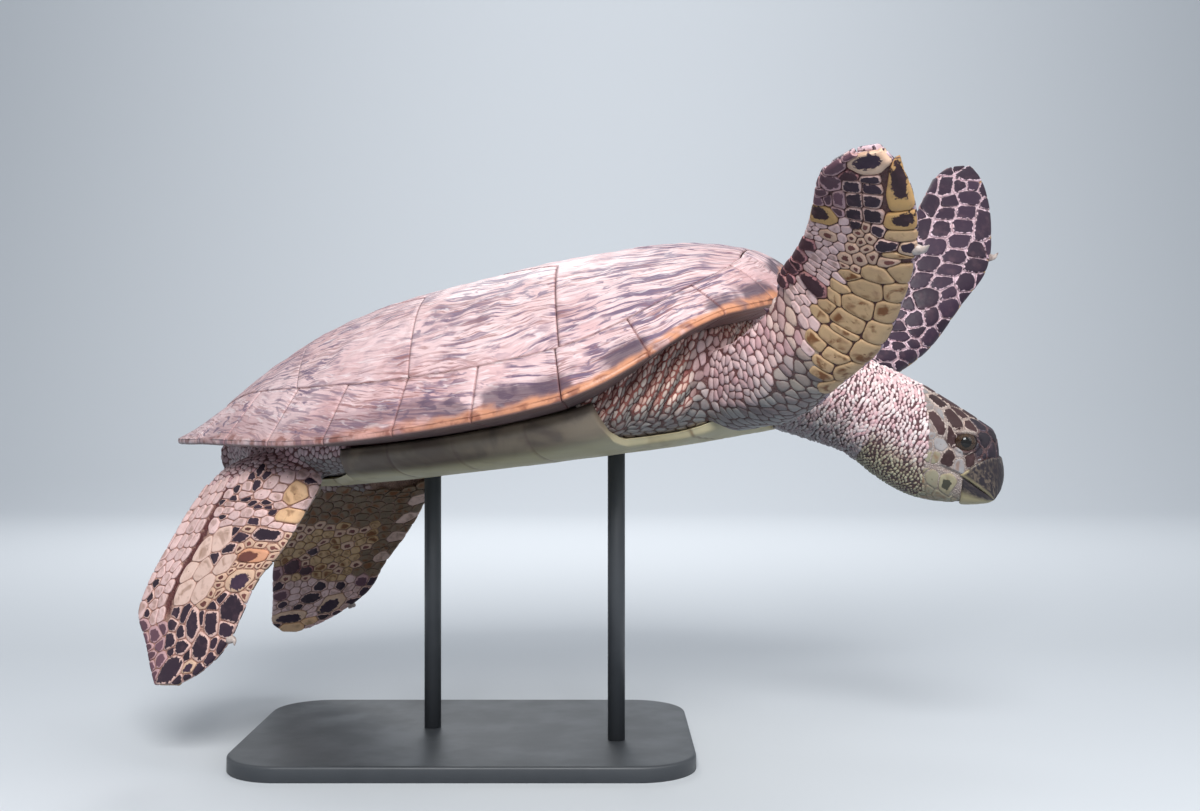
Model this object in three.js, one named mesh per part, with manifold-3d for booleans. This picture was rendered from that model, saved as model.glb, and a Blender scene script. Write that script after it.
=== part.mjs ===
// Hawksbill sea turtle, life size, swimming with its front flippers raised, on a plain display stand.
// Units are millimetres. The part's frame has +Z up and its origin at the centre of the stand's underside.
// The turtle is built in its own frame (x towards the nose, y to its left, z up, origin at the middle of
// the shell's long chord) and one group then sets it at its height, banked and nose-up, over the stand.
import * as THREE from "three";
import { mergeVertices } from "three/addons/utils/BufferGeometryUtils.js";
import Module from "manifold-3d";

const wasm = await Module();
wasm.setup();

const V = (x, y, z) => new THREE.Vector3(x, y, z);
const { lerp, clamp, degToRad } = THREE.MathUtils;

// ---------------------------------------------------------------- driving dimensions
const SHELL_LENGTH = 720; // straight carapace length, nuchal edge to tail tip
const SHELL_WIDTH = 530; // straight carapace width
const DOME_HEIGHT = 94; // spine of the shell above its long chord
const BODY_HEIGHT = 397; // middle of the chord above the floor
const YAW = -16; // degrees, nose towards the viewer's side
const PITCH = -11.5; // nose up
const ROLL = 5; // right side down
const GAP = 0.4; // between pieces that touch
const SCUTE_THICK = 4; // horn plate over the bone
const PLASTRON_THICK = 8;
const SEAT = 1.4; // between the horn plates and the trunk below
const TRUNK_REAR = -302;
const TRUNK_FRONT = 318;
const HALF = SHELL_LENGTH / 2;

// ---------------------------------------------------------------- curves
// A smooth curve through [x, y] pairs that doesn't overshoot between them, as a function of x.
function profile(pairs) {
  const n = pairs.length;
  const slope = pairs.slice(1).map(([x, y], i) => (y - pairs[i][1]) / (x - pairs[i][0]));
  const tangent = pairs.map((_, i) => {
    if (i === 0) return slope[0];
    if (i === n - 1) return slope[n - 2];
    const [a, b] = [slope[i - 1], slope[i]];
    return a * b <= 0 ? 0 : (2 * a * b) / (a + b);
  });
  return (x) => {
    if (x <= pairs[0][0]) return pairs[0][1];
    if (x >= pairs[n - 1][0]) return pairs[n - 1][1];
    const i = pairs.findIndex(([px]) => px > x) - 1;
    const h = pairs[i + 1][0] - pairs[i][0];
    const s = (x - pairs[i][0]) / h;
    const s2 = s * s;
    const s3 = s2 * s;
    return (
      (2 * s3 - 3 * s2 + 1) * pairs[i][1] +
      (s3 - 2 * s2 + s) * h * tangent[i] +
      (3 * s2 - 2 * s3) * pairs[i + 1][1] +
      (s3 - s2) * h * tangent[i + 1]
    );
  };
}

// The same through points in space, for u from 0 to 1.
const spline = (points) => new THREE.CatmullRomCurve3(points, false, "centripetal");
const range = (n) => Array.from({ length: n }, (_, i) => i);
const steps = (from, to, n) => range(n + 1).map((i) => lerp(from, to, i / n));
const signedPower = (v, e) => Math.sign(v) * Math.abs(v) ** e;

// ---------------------------------------------------------------- solids
// A closed manifold solid from points and triangles. Faces that point in are turned round.
function solidFrom(points, triangles) {
  const geometry = new THREE.BufferGeometry().setFromPoints(points);
  geometry.setIndex(triangles.flat());
  const merged = mergeVertices(geometry, 1e-3);
  const make = (triVerts) =>
    new wasm.Manifold(
      new wasm.Mesh({ numProp: 3, vertProperties: merged.attributes.position.array, triVerts }),
    );
  const index = new Uint32Array(merged.index.array);
  const made = make(index);
  if (made.volume() > 0) return made;
  for (let i = 0; i < index.length; i += 3) [index[i + 1], index[i + 2]] = [index[i + 2], index[i + 1]];
  return make(index);
}

// The solid of a three.js geometry.
function solidOf(geometry) {
  const bare = geometry.clone();
  bare.deleteAttribute("normal");
  bare.deleteAttribute("uv");
  const merged = mergeVertices(bare, 1e-3);
  const at = merged.attributes.position;
  const points = range(at.count).map((i) => V().fromBufferAttribute(at, i));
  const index = [...merged.index.array];
  return solidFrom(points, range(index.length / 3).map((i) => index.slice(3 * i, 3 * i + 3)));
}

// A solid through rings of points, closed at both ends by a fan round the ring's middle.
function loft(rings) {
  const size = rings[0].length;
  const points = rings.flat();
  const triangles = [];
  for (let i = 0; i + 1 < rings.length; i++)
    for (let j = 0; j < size; j++) {
      const k = (j + 1) % size;
      const [a, b, c, d] = [i * size + j, i * size + k, (i + 1) * size + k, (i + 1) * size + j];
      triangles.push([a, b, c], [a, c, d]);
    }
  const cap = (ring, base, turn) => {
    const middle = ring.reduce((sum, p) => sum.add(p), V(0, 0, 0)).divideScalar(size);
    points.push(middle);
    const at = points.length - 1;
    for (let j = 0; j < size; j++) {
      const k = (j + 1) % size;
      triangles.push(turn ? [at, base + j, base + k] : [at, base + k, base + j]);
    }
  };
  cap(rings[0], 0, false);
  cap(rings.at(-1), (rings.length - 1) * size, true);
  return solidFrom(points, triangles);
}

// A plate between two grids of points of the same size.
function plate(top, under) {
  const [rows, columns] = [top.length, top[0].length];
  const points = [...top.flat(), ...under.flat()];
  const lower = rows * columns;
  const at = (i, j) => i * columns + j;
  const triangles = [];
  for (let i = 0; i + 1 < rows; i++)
    for (let j = 0; j + 1 < columns; j++) {
      const [a, b, c, d] = [at(i, j), at(i, j + 1), at(i + 1, j + 1), at(i + 1, j)];
      triangles.push([a, b, c], [a, c, d]);
      triangles.push([lower + a, lower + c, lower + b], [lower + a, lower + d, lower + c]);
    }
  const edge = [
    ...range(columns).map((j) => at(0, j)),
    ...range(rows - 1).map((i) => at(i + 1, columns - 1)),
    ...range(columns - 1).map((j) => at(rows - 1, columns - 2 - j)),
    ...range(rows - 2).map((i) => at(rows - 2 - i, 0)),
  ];
  edge.forEach((a, i) => {
    const b = edge[(i + 1) % edge.length];
    triangles.push([a, lower + a, lower + b], [a, lower + b, b]);
  });
  return solidFrom(points, triangles);
}

// The largest piece of a solid, when a cut leaves crumbs.
function largest(solid) {
  const found = solid.decompose();
  return found.reduce((best, s) => (s.volume() > best.volume() ? s : best));
}

const cut = (solid, ...tools) => largest(solid.subtract(wasm.Manifold.union(tools)));

// ---------------------------------------------------------------- shell surface
// Half width of the carapace, height of its rim and height of its spine, along x.
const rimHalfWidth = profile([
  [-360, 0.6], [-350, 22], [-330, 56], [-290, 104], [-240, 148], [-180, 190], [-110, 226], [-40, 250],
  [30, 262], [90, SHELL_WIDTH / 2], [150, 261], [200, 250], [250, 228], [300, 190], [330, 154], [348, 118],
  [360, 62],
]);
const rimHeight = profile([
  [-360, 1], [-320, -1], [-285, -4], [-250, -7], [-215, -12], [-180, -17], [-130, -25], [-70, -32], [0, -37],
  [60, -40], [110, -41], [160, -40], [200, -34], [250, -18], [290, -2], [320, 4], [360, 4],
]);
const spineHeight = profile([
  [-360, 2], [-340, 4], [-315, 9], [-263, 28], [-191, 60], [-124, 80], [-62, 90], [30, DOME_HEIGHT],
  [110, DOME_HEIGHT], [168, 92], [222, 88], [273, 79], [315, 65], [340, 49], [352, 35], [360, 16],
]);

// Height of the dome over a point of the plan.
function dome(x, y) {
  const t = Math.min(1, Math.abs(y) / rimHalfWidth(x));
  const across = (1 - t ** 2.3) * (1 - 0.22 * t ** 4);
  return lerp(rimHeight(x), spineHeight(x), across);
}

// A point of the dome, sunk by depth along the surface's normal.
function shellPoint(x, y, depth) {
  const d = 2;
  const inside = (px, py) => dome(clamp(px, -HALF, HALF), py);
  const dx = (inside(x + d, y) - inside(x - d, y)) / (2 * d);
  const dy = (inside(x, y + d) - inside(x, y - d)) / (2 * d);
  const normal = V(-clamp(dx, -1, 1), -clamp(dy, -1.2, 1.2), 1).normalize();
  return V(x, y, dome(x, y)).addScaledVector(normal, -depth);
}

// The rim on one side, walked from the nuchal's corner to the tail tip, by share of its length.
const rimPath = (() => {
  const points = steps(HALF, -HALF, 180).map((x) => V(x, rimHalfWidth(x), 0));
  const run = [0];
  points.slice(1).forEach((p, i) => run.push(run[i] + p.distanceTo(points[i])));
  return { points, share: run.map((r) => r / run.at(-1)) };
})();

function rimAt(q) {
  const i = clamp(rimPath.share.findIndex((s) => s >= q), 1, rimPath.points.length - 1);
  const [a, b] = [rimPath.share[i - 1], rimPath.share[i]];
  return rimPath.points[i - 1].clone().lerp(rimPath.points[i], clamp((q - a) / (b - a), 0, 1));
}

// Width of the marginal plates, and the line where they meet the costals, in plan.
const marginWidth = profile([[0, 34], [0.1, 38], [0.3, 46], [0.6, 50], [0.85, 52], [1, 46]]);
function innerAt(q) {
  const here = rimAt(q);
  const along = rimAt(Math.min(1, q + 0.02)).sub(rimAt(Math.max(0, q - 0.02))).normalize();
  const p = here.clone().addScaledVector(V(-along.y, along.x, 0), marginWidth(q));
  if (q > 0.9) p.lerp(V(-HALF + marginWidth(1), 0, 0), (q - 0.9) / 0.1);
  return V(Math.min(p.x, HALF - 37.4), Math.max(p.y, 0), 0);
}
const innerHalfWidth = (() => {
  const walked = steps(0, 1, 80).map(innerAt).sort((a, b) => a.x - b.x);
  const kept = walked.filter((p, i) => i === 0 || p.x > walked[i - 1].x + 0.5);
  return profile(kept.map((p) => [p.x, p.y]));
})();

// ---------------------------------------------------------------- carapace plates
const EDGE = 0.45; // half the gap between two plates
const mirrored = (p, side) => V(p.x, p.y * side, p.z);

// A horn plate over rows of plan points. Its rear edge stands proud of the next plate, as tiles do.
function scute(planRows) {
  const last = planRows.length - 1;
  const lift = (i) => lerp(-0.6, 1.2, i / last);
  const top = planRows.map((row, i) => row.map((p) => shellPoint(p.x, p.y, -lift(i))));
  const under = planRows.map((row) => row.map((p) => shellPoint(p.x, p.y, SCUTE_THICK)));
  return plate(top, under);
}

// Vertebral plates: seams along x, and half widths that are widest where two costals meet.
const VERTEBRAL_SEAMS = [322, 212, 72, -78, -208, -312];
const VERTEBRAL_PEAKS = [282, 142, -3, -143, -262];
const SEAM_HALF = [62, 40, 40, 38, 34, 50];
const PEAK_HALF = [76, 74, 72, 64, 50];
const vertebralEdge = (() => {
  const corners = VERTEBRAL_SEAMS.map((x, i) => [x, SEAM_HALF[i]]);
  VERTEBRAL_PEAKS.forEach((x, i) => corners.push([x, PEAK_HALF[i]]));
  corners.sort((a, b) => b[0] - a[0]);
  return (x) => {
    const i = clamp(corners.findIndex(([cx]) => cx <= x), 1, corners.length - 1);
    const [[xa, ya], [xb, yb]] = [corners[i - 1], corners[i]];
    const drawn = lerp(ya, yb, clamp((x - xa) / (xb - xa), 0, 1));
    return Math.min(drawn, Math.max(innerHalfWidth(x) - EDGE, 1.5));
  };
})();

function vertebral(i) {
  const [front, peak, rear] = [VERTEBRAL_SEAMS[i] - EDGE, VERTEBRAL_PEAKS[i], VERTEBRAL_SEAMS[i + 1] + EDGE];
  const rows = [...steps(front, peak, 2), ...steps(peak, rear, 3).slice(1)];
  return scute(rows.map((x) => steps(-1, 1, 6).map((v) => V(x, v * (vertebralEdge(x) - EDGE), 0))));
}

// Costal plates, from the vertebral edge out to the marginals. The seams slant back.
const COSTAL_OUTER = [0.085, 0.31, 0.49, 0.665, 0.875];
function costal(i, side) {
  const inner = [VERTEBRAL_PEAKS[i], VERTEBRAL_SEAMS[i + 1], VERTEBRAL_PEAKS[i + 1]];
  const front = EDGE * (i === 0 ? 0.5 : 1);
  const rows = steps(0, 1, 6).map((u) => {
    const x = u < 0.5 ? lerp(inner[0] - front, inner[1], 2 * u) : lerp(inner[1], inner[2] + EDGE, 2 * u - 1);
    const from = V(x, vertebralEdge(x) + EDGE, 0);
    const out = innerAt(lerp(COSTAL_OUTER[i] + 0.0006, COSTAL_OUTER[i + 1] - 0.0006, u));
    const to = out.clone().lerp(from, EDGE / out.distanceTo(from));
    return steps(0, 1, 5).map((v) => mirrored(from.clone().lerp(to, v), side));
  });
  return scute(rows);
}

// The first costal also fills the shoulder of the shell, beside the first vertebral.
function shoulderCostal(side) {
  const [front, rear] = [VERTEBRAL_SEAMS[0] - EDGE, VERTEBRAL_PEAKS[1] + EDGE];
  const rows = [front, VERTEBRAL_PEAKS[0], 247, VERTEBRAL_SEAMS[1], 177, rear].map((x) => {
    const u = (x - front) / (rear - front);
    const from = V(x, vertebralEdge(x) + EDGE, 0);
    const out = innerAt(lerp(COSTAL_OUTER[0], COSTAL_OUTER[1] - 0.0006, u));
    const to = out.clone().lerp(from, EDGE / out.distanceTo(from));
    return steps(0, 1, 5).map((v) => mirrored(from.clone().lerp(to, v), side));
  });
  return scute(rows);
}

// Marginal plates are wedges round the rim: the dome above, a flat face below.
const MARGINALS = 12;
const MARGIN_SEAMS = [
  0, 0.055, 0.135, 0.225, 0.315, 0.405, 0.49, 0.575, 0.66, 0.745, 0.825, 0.915, 1,
];
const RIM_THICK = 5;
const ROOT_DEEPER = 8;
function marginSection(q, grow) {
  const rim = rimAt(q);
  const inner = innerAt(q);
  const out = rim.clone().sub(inner).normalize();
  const across = rim.distanceTo(inner);
  const point = (share, extra) => rim.clone().addScaledVector(out, -across * share + extra);
  const top = [1, 0.66, 0.33, 0.06].map((share) => {
    const p = point(share, share === 1 ? -grow : 0);
    return V(p.x, p.y, dome(p.x, p.y) + grow + 0.8 * (1 - share));
  });
  const edge = point(0, grow);
  const low = rimHeight(rim.x) - RIM_THICK;
  const under = point(0.06, 0);
  const root = point(1, -grow);
  const section = [
    ...top,
    V(edge.x, edge.y, rimHeight(rim.x) - 1),
    V(under.x, under.y, low - grow),
    V(root.x, root.y, low - ROOT_DEEPER - grow),
  ];
  return section.map((p) => V(p.x, Math.max(p.y, EDGE - grow), p.z));
}

function marginalRange(from, to, side, grow = 0, count = 3) {
  return loft(steps(from, to, count).map((q) => marginSection(q, grow).map((p) => mirrored(p, side))));
}

const halfSeam = 0.00055;
const marginal = (k, side) =>
  marginalRange(
    MARGIN_SEAMS[k] + (k === 0 ? 0.001 : halfSeam),
    MARGIN_SEAMS[k + 1] - (k === MARGINALS - 1 ? 0 : halfSeam),
    side,
    0,
    k < 4 || k > 9 ? 3 : 2,
  );

// The nuchal plate, at the front of the shell over the neck.
const NUCHAL_HALF = rimHalfWidth(HALF) - 2 * EDGE;
function nuchal(grow = 0) {
  const row = (x, y, drop) => V(x, y, dome(Math.min(x, HALF), y) + (drop ? -drop - grow : grow));
  const xs = (y) => steps(HALF - 4 + 3 * (y / NUCHAL_HALF) ** 2 + grow, VERTEBRAL_SEAMS[0] + EDGE - grow, 3);
  const ys = steps(-NUCHAL_HALF - grow, NUCHAL_HALF + grow, 6);
  const at = (drop) => range(4).map((i) => ys.map((y) => row(xs(y)[i], y, drop && lerp(5, 9, i / 3))));
  return plate(at(0), at(1));
}

// ---------------------------------------------------------------- trunk and plastron
// The plastron's lowest line, and where the trunk's side meets the marginals from below.
const keelHeight = profile([
  [-330, -52], [-280, -66], [-200, -80], [-120, -89], [0, -98], [120, -107], [250, -118], [330, -122],
]);
const sideTop = (x) => rimHeight(x) - RIM_THICK - ROOT_DEEPER - GAP;
const LOWER_POWER = 0.72;

// A point of the trunk's lower profile, from the keel (angle 0) to the side's top (90 degrees).
function lowerPoint(x, angle, depth = 0) {
  const at = (a) => {
    const width = (innerHalfWidth(x) - GAP) * trunkTaper(x) - 1;
    const high = sideTop(x);
    const y = width * signedPower(Math.sin(a), LOWER_POWER);
    const z = high - (high - keelHeight(x) - PLASTRON_THICK - GAP) * Math.cos(a) ** LOWER_POWER;
    return V(x, y, z);
  };
  if (!depth) return at(angle);
  const step = 0.03;
  const low = clamp(angle, -Math.PI / 2 + step, Math.PI / 2 - step);
  const tangent = at(low + step).sub(at(low - step)).normalize();
  return at(angle).addScaledVector(V(0, tangent.z, -tangent.y), depth);
}

// The body cavity draws in behind the shell's front and rear openings.
const trunkTaper = profile([[-318, 0.7], [-290, 0.86], [-240, 0.97], [-180, 1], [240, 1], [290, 0.93], [326, 0.8]]);
function trunkRing(along, over, under) {
  const x = clamp(along, TRUNK_REAR, TRUNK_FRONT);
  const inner = (innerHalfWidth(x) - GAP) * trunkTaper(x) - 1;
  const side = inner + Math.min(over, under);
  const top = steps(1, -1, 8).map((v) => {
    const p = shellPoint(x, v * inner, SCUTE_THICK + SEAT - over);
    return V(p.x, p.y * (side / inner), p.z);
  });
  const below = steps(-84, 84, 10).map((a) => lowerPoint(x, degToRad(a), under));
  const ring = [...top, V(x, -side, sideTop(x)), ...below, V(x, side, sideTop(x))];
  return ring.map((p) => p.add(V(along - x, 0, 0)));
}

// The trunk, grown over its back and under its belly, as a cutter for what lies against it. Its front
// rounds off towards the neck, and its rear towards the tail.
function trunk(over = 0, under = 0) {
  const reach = Math.max(over, under);
  const rings = [TRUNK_REAR, ...steps(-270, 290, 11), TRUNK_FRONT].map((x) => trunkRing(x, over, under));
  const rounded = (x, out, share, height, roof) =>
    trunkRing(x, over, under).map((p) => {
      const z = height + (p.z - height) * share;
      return V(x + out, p.y * share, Math.min(z, roof + over));
    });
  const front = [
    rounded(TRUNK_FRONT, 4 + reach, 0.97, -62, -14),
    rounded(TRUNK_FRONT, 14 + reach, 0.84, -62, -18),
    rounded(TRUNK_FRONT, 21 + reach, 0.6, -62, -26),
  ];
  const rear = [
    rounded(TRUNK_REAR, -12 - reach, 0.6, -40, -26),
    rounded(TRUNK_REAR, -6 - reach, 0.88, -40, -20),
  ];
  return loft([...rear, ...rings, ...front]);
}

// The plastron: a bony plate under the trunk, whose bridges run up to the marginals amidships. This is
// its outline in plan, on the left, from the rear to the front.
const PLASTRON_OUTLINE = [
  [-283, 0], [-270, 34], [-235, 66], [-170, 102], [-118, 128], [-84, 165], [-66, 240], [-60, 300], [170, 300],
  [178, 240], [196, 170], [240, 138], [285, 112], [308, 80], [314, 0],
];
function plastron(grow = 0) {
  const right = [...PLASTRON_OUTLINE].reverse().slice(1, -1).map(([x, y]) => [x, -y]);
  const middle = 20;
  const stretch = 1 + grow / 200;
  const points = [...PLASTRON_OUTLINE, ...right].map(([x, y]) => {
    return new THREE.Vector2(middle + (x - middle) * stretch, y * stretch);
  });
  const outline = new THREE.ExtrudeGeometry(new THREE.Shape(points), { depth: 300, bevelEnabled: false });
  const prism = solidOf(outline.translate(0, 0, -250));
  const layer = trunk(-GAP, PLASTRON_THICK + grow).subtract(trunk(GAP, GAP - grow));
  return largest(layer.intersect(prism));
}

// ---------------------------------------------------------------- limbs
// A limb through stations, each with its leading and trailing edge, its thickness and where along the
// chord it is thickest. The section is round in front and thin behind.
function limb(stations, count, around) {
  const lead = spline(stations.map((s) => s.lead));
  const trail = spline(stations.map((s) => s.trail));
  const share = stations.map((_, i) => i / (stations.length - 1));
  const thick = profile(stations.map((s, i) => [share[i], s.thick]));
  const front = profile(stations.map((s, i) => [share[i], s.front]));
  const rings = steps(0, 1, count).map((u) => {
    const [l, t] = [lead.getPoint(u), trail.getPoint(u)];
    const [la, ta] = [lead.getPoint(Math.max(0, u - 0.02)), trail.getPoint(Math.max(0, u - 0.02))];
    const [lb, tb] = [lead.getPoint(Math.min(1, u + 0.02)), trail.getPoint(Math.min(1, u + 0.02))];
    const chord = l.clone().sub(t);
    const along = lb.add(tb).sub(la.add(ta)).normalize();
    const normal = along.clone().cross(chord).normalize();
    return range(around).map((j) => {
      const a = (2 * Math.PI * j) / around;
      const c = (1 + Math.cos(a)) / 2; // 1 at the leading edge, 0 at the trailing one
      const bulk = Math.sin(a) * (c > front(u) ? 1 : 0.35 + 0.65 * (c / front(u)) ** 0.8);
      return t.clone().addScaledVector(chord, c).addScaledVector(normal, (bulk * thick(u)) / 2);
    });
  });
  return loft(rings);
}
const station = (lead, trail, thick, front = 0.55) => ({ lead: V(...lead), trail: V(...trail), thick, front });

// Front flippers. The right one is raised high and outwards, the left one higher and further forward.
const FRONT_RIGHT = [
  station([300, -96, -108], [262, -120, -30], 62, 0.5),
  station([362, -150, -101], [320, -178, -23], 66, 0.5),
  station([400, -195, -81], [361, -203, 2], 52, 0.5),
  station([444, -238, -56], [378, -226, 25], 34, 0.6),
  station([470, -275, -24], [395, -252, 36], 23, 0.65),
  station([488, -308, 6], [411, -284, 50], 19, 0.7),
  station([497, -336, 34], [422, -310, 64], 16, 0.72),
  station([498, -362, 61], [433, -342, 80], 12, 0.7),
  station([493, -376, 76], [442, -358, 87], 9, 0.7),
  station([485, -384, 89], [464, -381, 91], 4, 0.6),
];
const FRONT_LEFT = [
  station([300, 96, -108], [262, 120, -34], 62, 0.5),
  station([380, 140, -112], [312, 160, -50], 66, 0.5),
  station([427, 168, -99], [366, 172, -46], 50, 0.5),
  station([465, 198, -81], [408, 184, -38], 36, 0.6),
  station([511, 222, -39], [436, 196, -8], 25, 0.65),
  station([543, 245, -9], [453, 206, 26], 19, 0.7),
  station([558, 266, 37], [476, 225, 62], 16, 0.72),
  station([561, 288, 76], [499, 255, 94], 12, 0.7),
  station([557, 300, 100], [511, 275, 109], 9, 0.7),
  station([550, 304, 113], [527, 292, 116], 4, 0.6),
];
// Hind flippers hang down and back, broad and lobed.
const HIND_RIGHT = [
  station([-150, -92, -68], [-236, -70, -36], 50, 0.5),
  station([-123, -156, -77], [-251, -118, -44], 42, 0.5),
  station([-143, -168, -103], [-283, -128, -71], 30, 0.55),
  station([-170, -176, -132], [-314, -142, -108], 21, 0.65),
  station([-200, -182, -156], [-339, -152, -140], 16, 0.7),
  station([-221, -188, -184], [-353, -160, -169], 13, 0.7),
  station([-243, -192, -212], [-345, -170, -196], 10, 0.7),
  station([-275, -195, -232], [-338, -182, -220], 7, 0.7),
  station([-304, -197, -241], [-332, -190, -239], 4, 0.6),
];
const HIND_LEFT = [
  station([-150, 92, -72], [-236, 70, -40], 50, 0.5),
  station([-121, 116, -112], [-262, 96, -70], 44, 0.5),
  station([-144, 122, -140], [-300, 106, -108], 30, 0.55),
  station([-174, 128, -168], [-334, 116, -146], 21, 0.65),
  station([-212, 134, -198], [-356, 126, -182], 15, 0.7),
  station([-242, 140, -226], [-366, 132, -208], 11, 0.7),
  station([-285, 146, -246], [-376, 138, -232], 8, 0.7),
  station([-330, 151, -259], [-382, 143, -246], 6, 0.7),
  station([-356, 152, -262], [-374, 148, -258], 4, 0.6),
];

// ---------------------------------------------------------------- head and neck
// The head's own frame: d back from the beak's tip, v to the left, u towards the crown.
const BEAK_TIP = V(507, 0, -229);
const HEAD_DOWN = degToRad(44);
const BACK = V(-Math.cos(HEAD_DOWN), 0, Math.sin(HEAD_DOWN));
const CROWN = V(Math.sin(HEAD_DOWN), 0, Math.cos(HEAD_DOWN));
const headPoint = (d, v, u) => BEAK_TIP.clone().addScaledVector(BACK, d).addScaledVector(CROWN, u).add(V(0, v, 0));

const HEAD_LENGTH = 152;
const headTop = profile([
  [0, 7], [3, 16], [8, 24.5], [14, 31.5], [20, 37.5], [26, 45], [32, 50.5], [40, 54], [60, 55], [85, 55.5],
  [110, 55.5], [130, 54], [165, 50],
]);
const headUnder = profile([
  [0, -3], [3, -8], [10, -14], [19, -20.5], [30, -26.5], [45, -34.5], [55, -39], [65, -42.5], [78, -45.2],
  [92, -46.5], [110, -46], [130, -44], [165, -42],
]);
const headHalfWidth = profile([
  [0, 4.5], [4, 9], [10, 14], [20, 19.5], [32, 25], [45, 30.5], [60, 35.5], [80, 41], [105, 46], [130, 48], [165, 46],
]);

function headRing(d, around, grow = 0) {
  const middle = (headTop(d) + headUnder(d)) / 2;
  const high = (headTop(d) - headUnder(d)) / 2 + grow;
  return range(around).map((j) => {
    const a = (2 * Math.PI * j) / around;
    const v = (headHalfWidth(d) + grow) * signedPower(Math.cos(a), 0.86);
    return headPoint(d, v, middle + high * signedPower(Math.sin(a), 0.86));
  });
}

// A cutter right across the head, from its outline in the d, u plane.
function headCutter(outline) {
  const shape = new THREE.Shape(outline.map(([d, u]) => new THREE.Vector2(d, u)));
  const across = 140;
  const geometry = new THREE.ExtrudeGeometry(shape, { depth: across, bevelEnabled: false });
  geometry.translate(0, 0, -across / 2);
  const frame = new THREE.Matrix4().makeBasis(BACK, CROWN, BACK.clone().cross(CROWN)).setPosition(BEAK_TIP);
  return solidOf(geometry.applyMatrix4(frame));
}

const MOUTH = [[-12, -4], [0, -1.5], [12, -1.2], [26, 0.4], [42, 1.6], [62, 0]];
const shifted = (line, du) => line.map(([d, u]) => [d, u + du]);
const jawRegion = (grow) =>
  headCutter([...shifted(MOUTH, grow), [82 + grow, -14], [96 + grow, -60], [-12, -60]]);
const upperBeakRegion = (grow) =>
  headCutter([[-12, -12], [42 + grow, -12], [42 + grow, 6], [31 + grow, 24], [21 + grow, 40], [17 + grow, 70], [-12, 70]]);
const lowerBeakRegion = (grow) =>
  headCutter([[-12, 14], [38 + grow, 14], [38 + grow, -6], [30 + grow, -26], [26 + grow, -60], [-12, -60]]);

const EYE = { d: 56, u: 30.5, v: 20.5, radius: 13.5 };
const eyeball = (side, grow) =>
  solidOf(
    new THREE.SphereGeometry(EYE.radius + grow, 12, 7)
      .rotateX(Math.PI / 2)
      .rotateX(Math.PI / 2)
      .translate(...headPoint(EYE.d, side * EYE.v, EYE.u).toArray()),
  );

// The neck runs from inside the trunk to the back of the head, slightly flattened.
function neck() {
  const path = spline([V(286, 0, -62), V(334, 0, -78), V(370, 0, -100), headPoint(HEAD_LENGTH, 0, 5)]);
  const wide = profile([[0, 74], [0.35, 66], [0.7, 53], [1, 46.5]]);
  const high = profile([[0, 50], [0.35, 50], [0.7, 48.5], [1, 47.5]]);
  const rings = steps(0, 1, 7).map((u) => {
    const middle = path.getPoint(u);
    const along = path.getTangent(u).lerp(BACK.clone().negate(), u ** 3).normalize();
    const up = V(0, 1, 0).cross(along).negate().normalize();
    return range(16).map((j) => {
      const a = (2 * Math.PI * j) / 16;
      return middle
        .clone()
        .add(V(0, wide(u) * Math.cos(a), 0))
        .addScaledVector(up, high(u) * Math.sin(a));
    });
  });
  return loft(rings);
}

// A tapered tail under the last plates.
function tail() {
  const path = spline([V(-262, 0, -50), V(-306, 0, -60), V(-352, 4, -78)]);
  const rings = steps(0, 1, 5).map((u) => {
    const r = lerp(24, 5, u ** 1.2);
    const middle = path.getPoint(u);
    return range(10).map((j) => {
      const a = (2 * Math.PI * j) / 10;
      return middle.clone().add(V(0, r * Math.cos(a), 0.8 * r * Math.sin(a)));
    });
  });
  return loft(rings);
}

// A claw on a flipper's leading edge, bent towards the tip.
function claw(root, out, along, length) {
  const path = spline([
    root.clone().addScaledVector(out, -2),
    root.clone().addScaledVector(out, 0.45 * length).addScaledVector(along, 0.15 * length),
    root.clone().addScaledVector(out, 0.8 * length).addScaledVector(along, 0.62 * length),
  ]);
  const across = out.clone().cross(along).normalize();
  const rings = steps(0, 1, 3).map((u) => {
    const r = lerp(5.2, 0.8, u);
    const tangent = path.getTangent(u);
    const second = tangent.clone().cross(across).normalize();
    return range(6).map((j) => {
      const a = (2 * Math.PI * j) / 6;
      return path
        .getPoint(u)
        .addScaledVector(across, 0.8 * r * Math.cos(a))
        .addScaledVector(second, r * Math.sin(a));
    });
  });
  return loft(rings);
}

function clawOn(stations, u, length) {
  const lead = spline(stations.map((s) => s.lead));
  const trail = spline(stations.map((s) => s.trail));
  const out = lead.getPoint(u).sub(trail.getPoint(u)).normalize();
  return claw(lead.getPoint(u).addScaledVector(out, 0.6), out, lead.getTangent(u), length);
}

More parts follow.
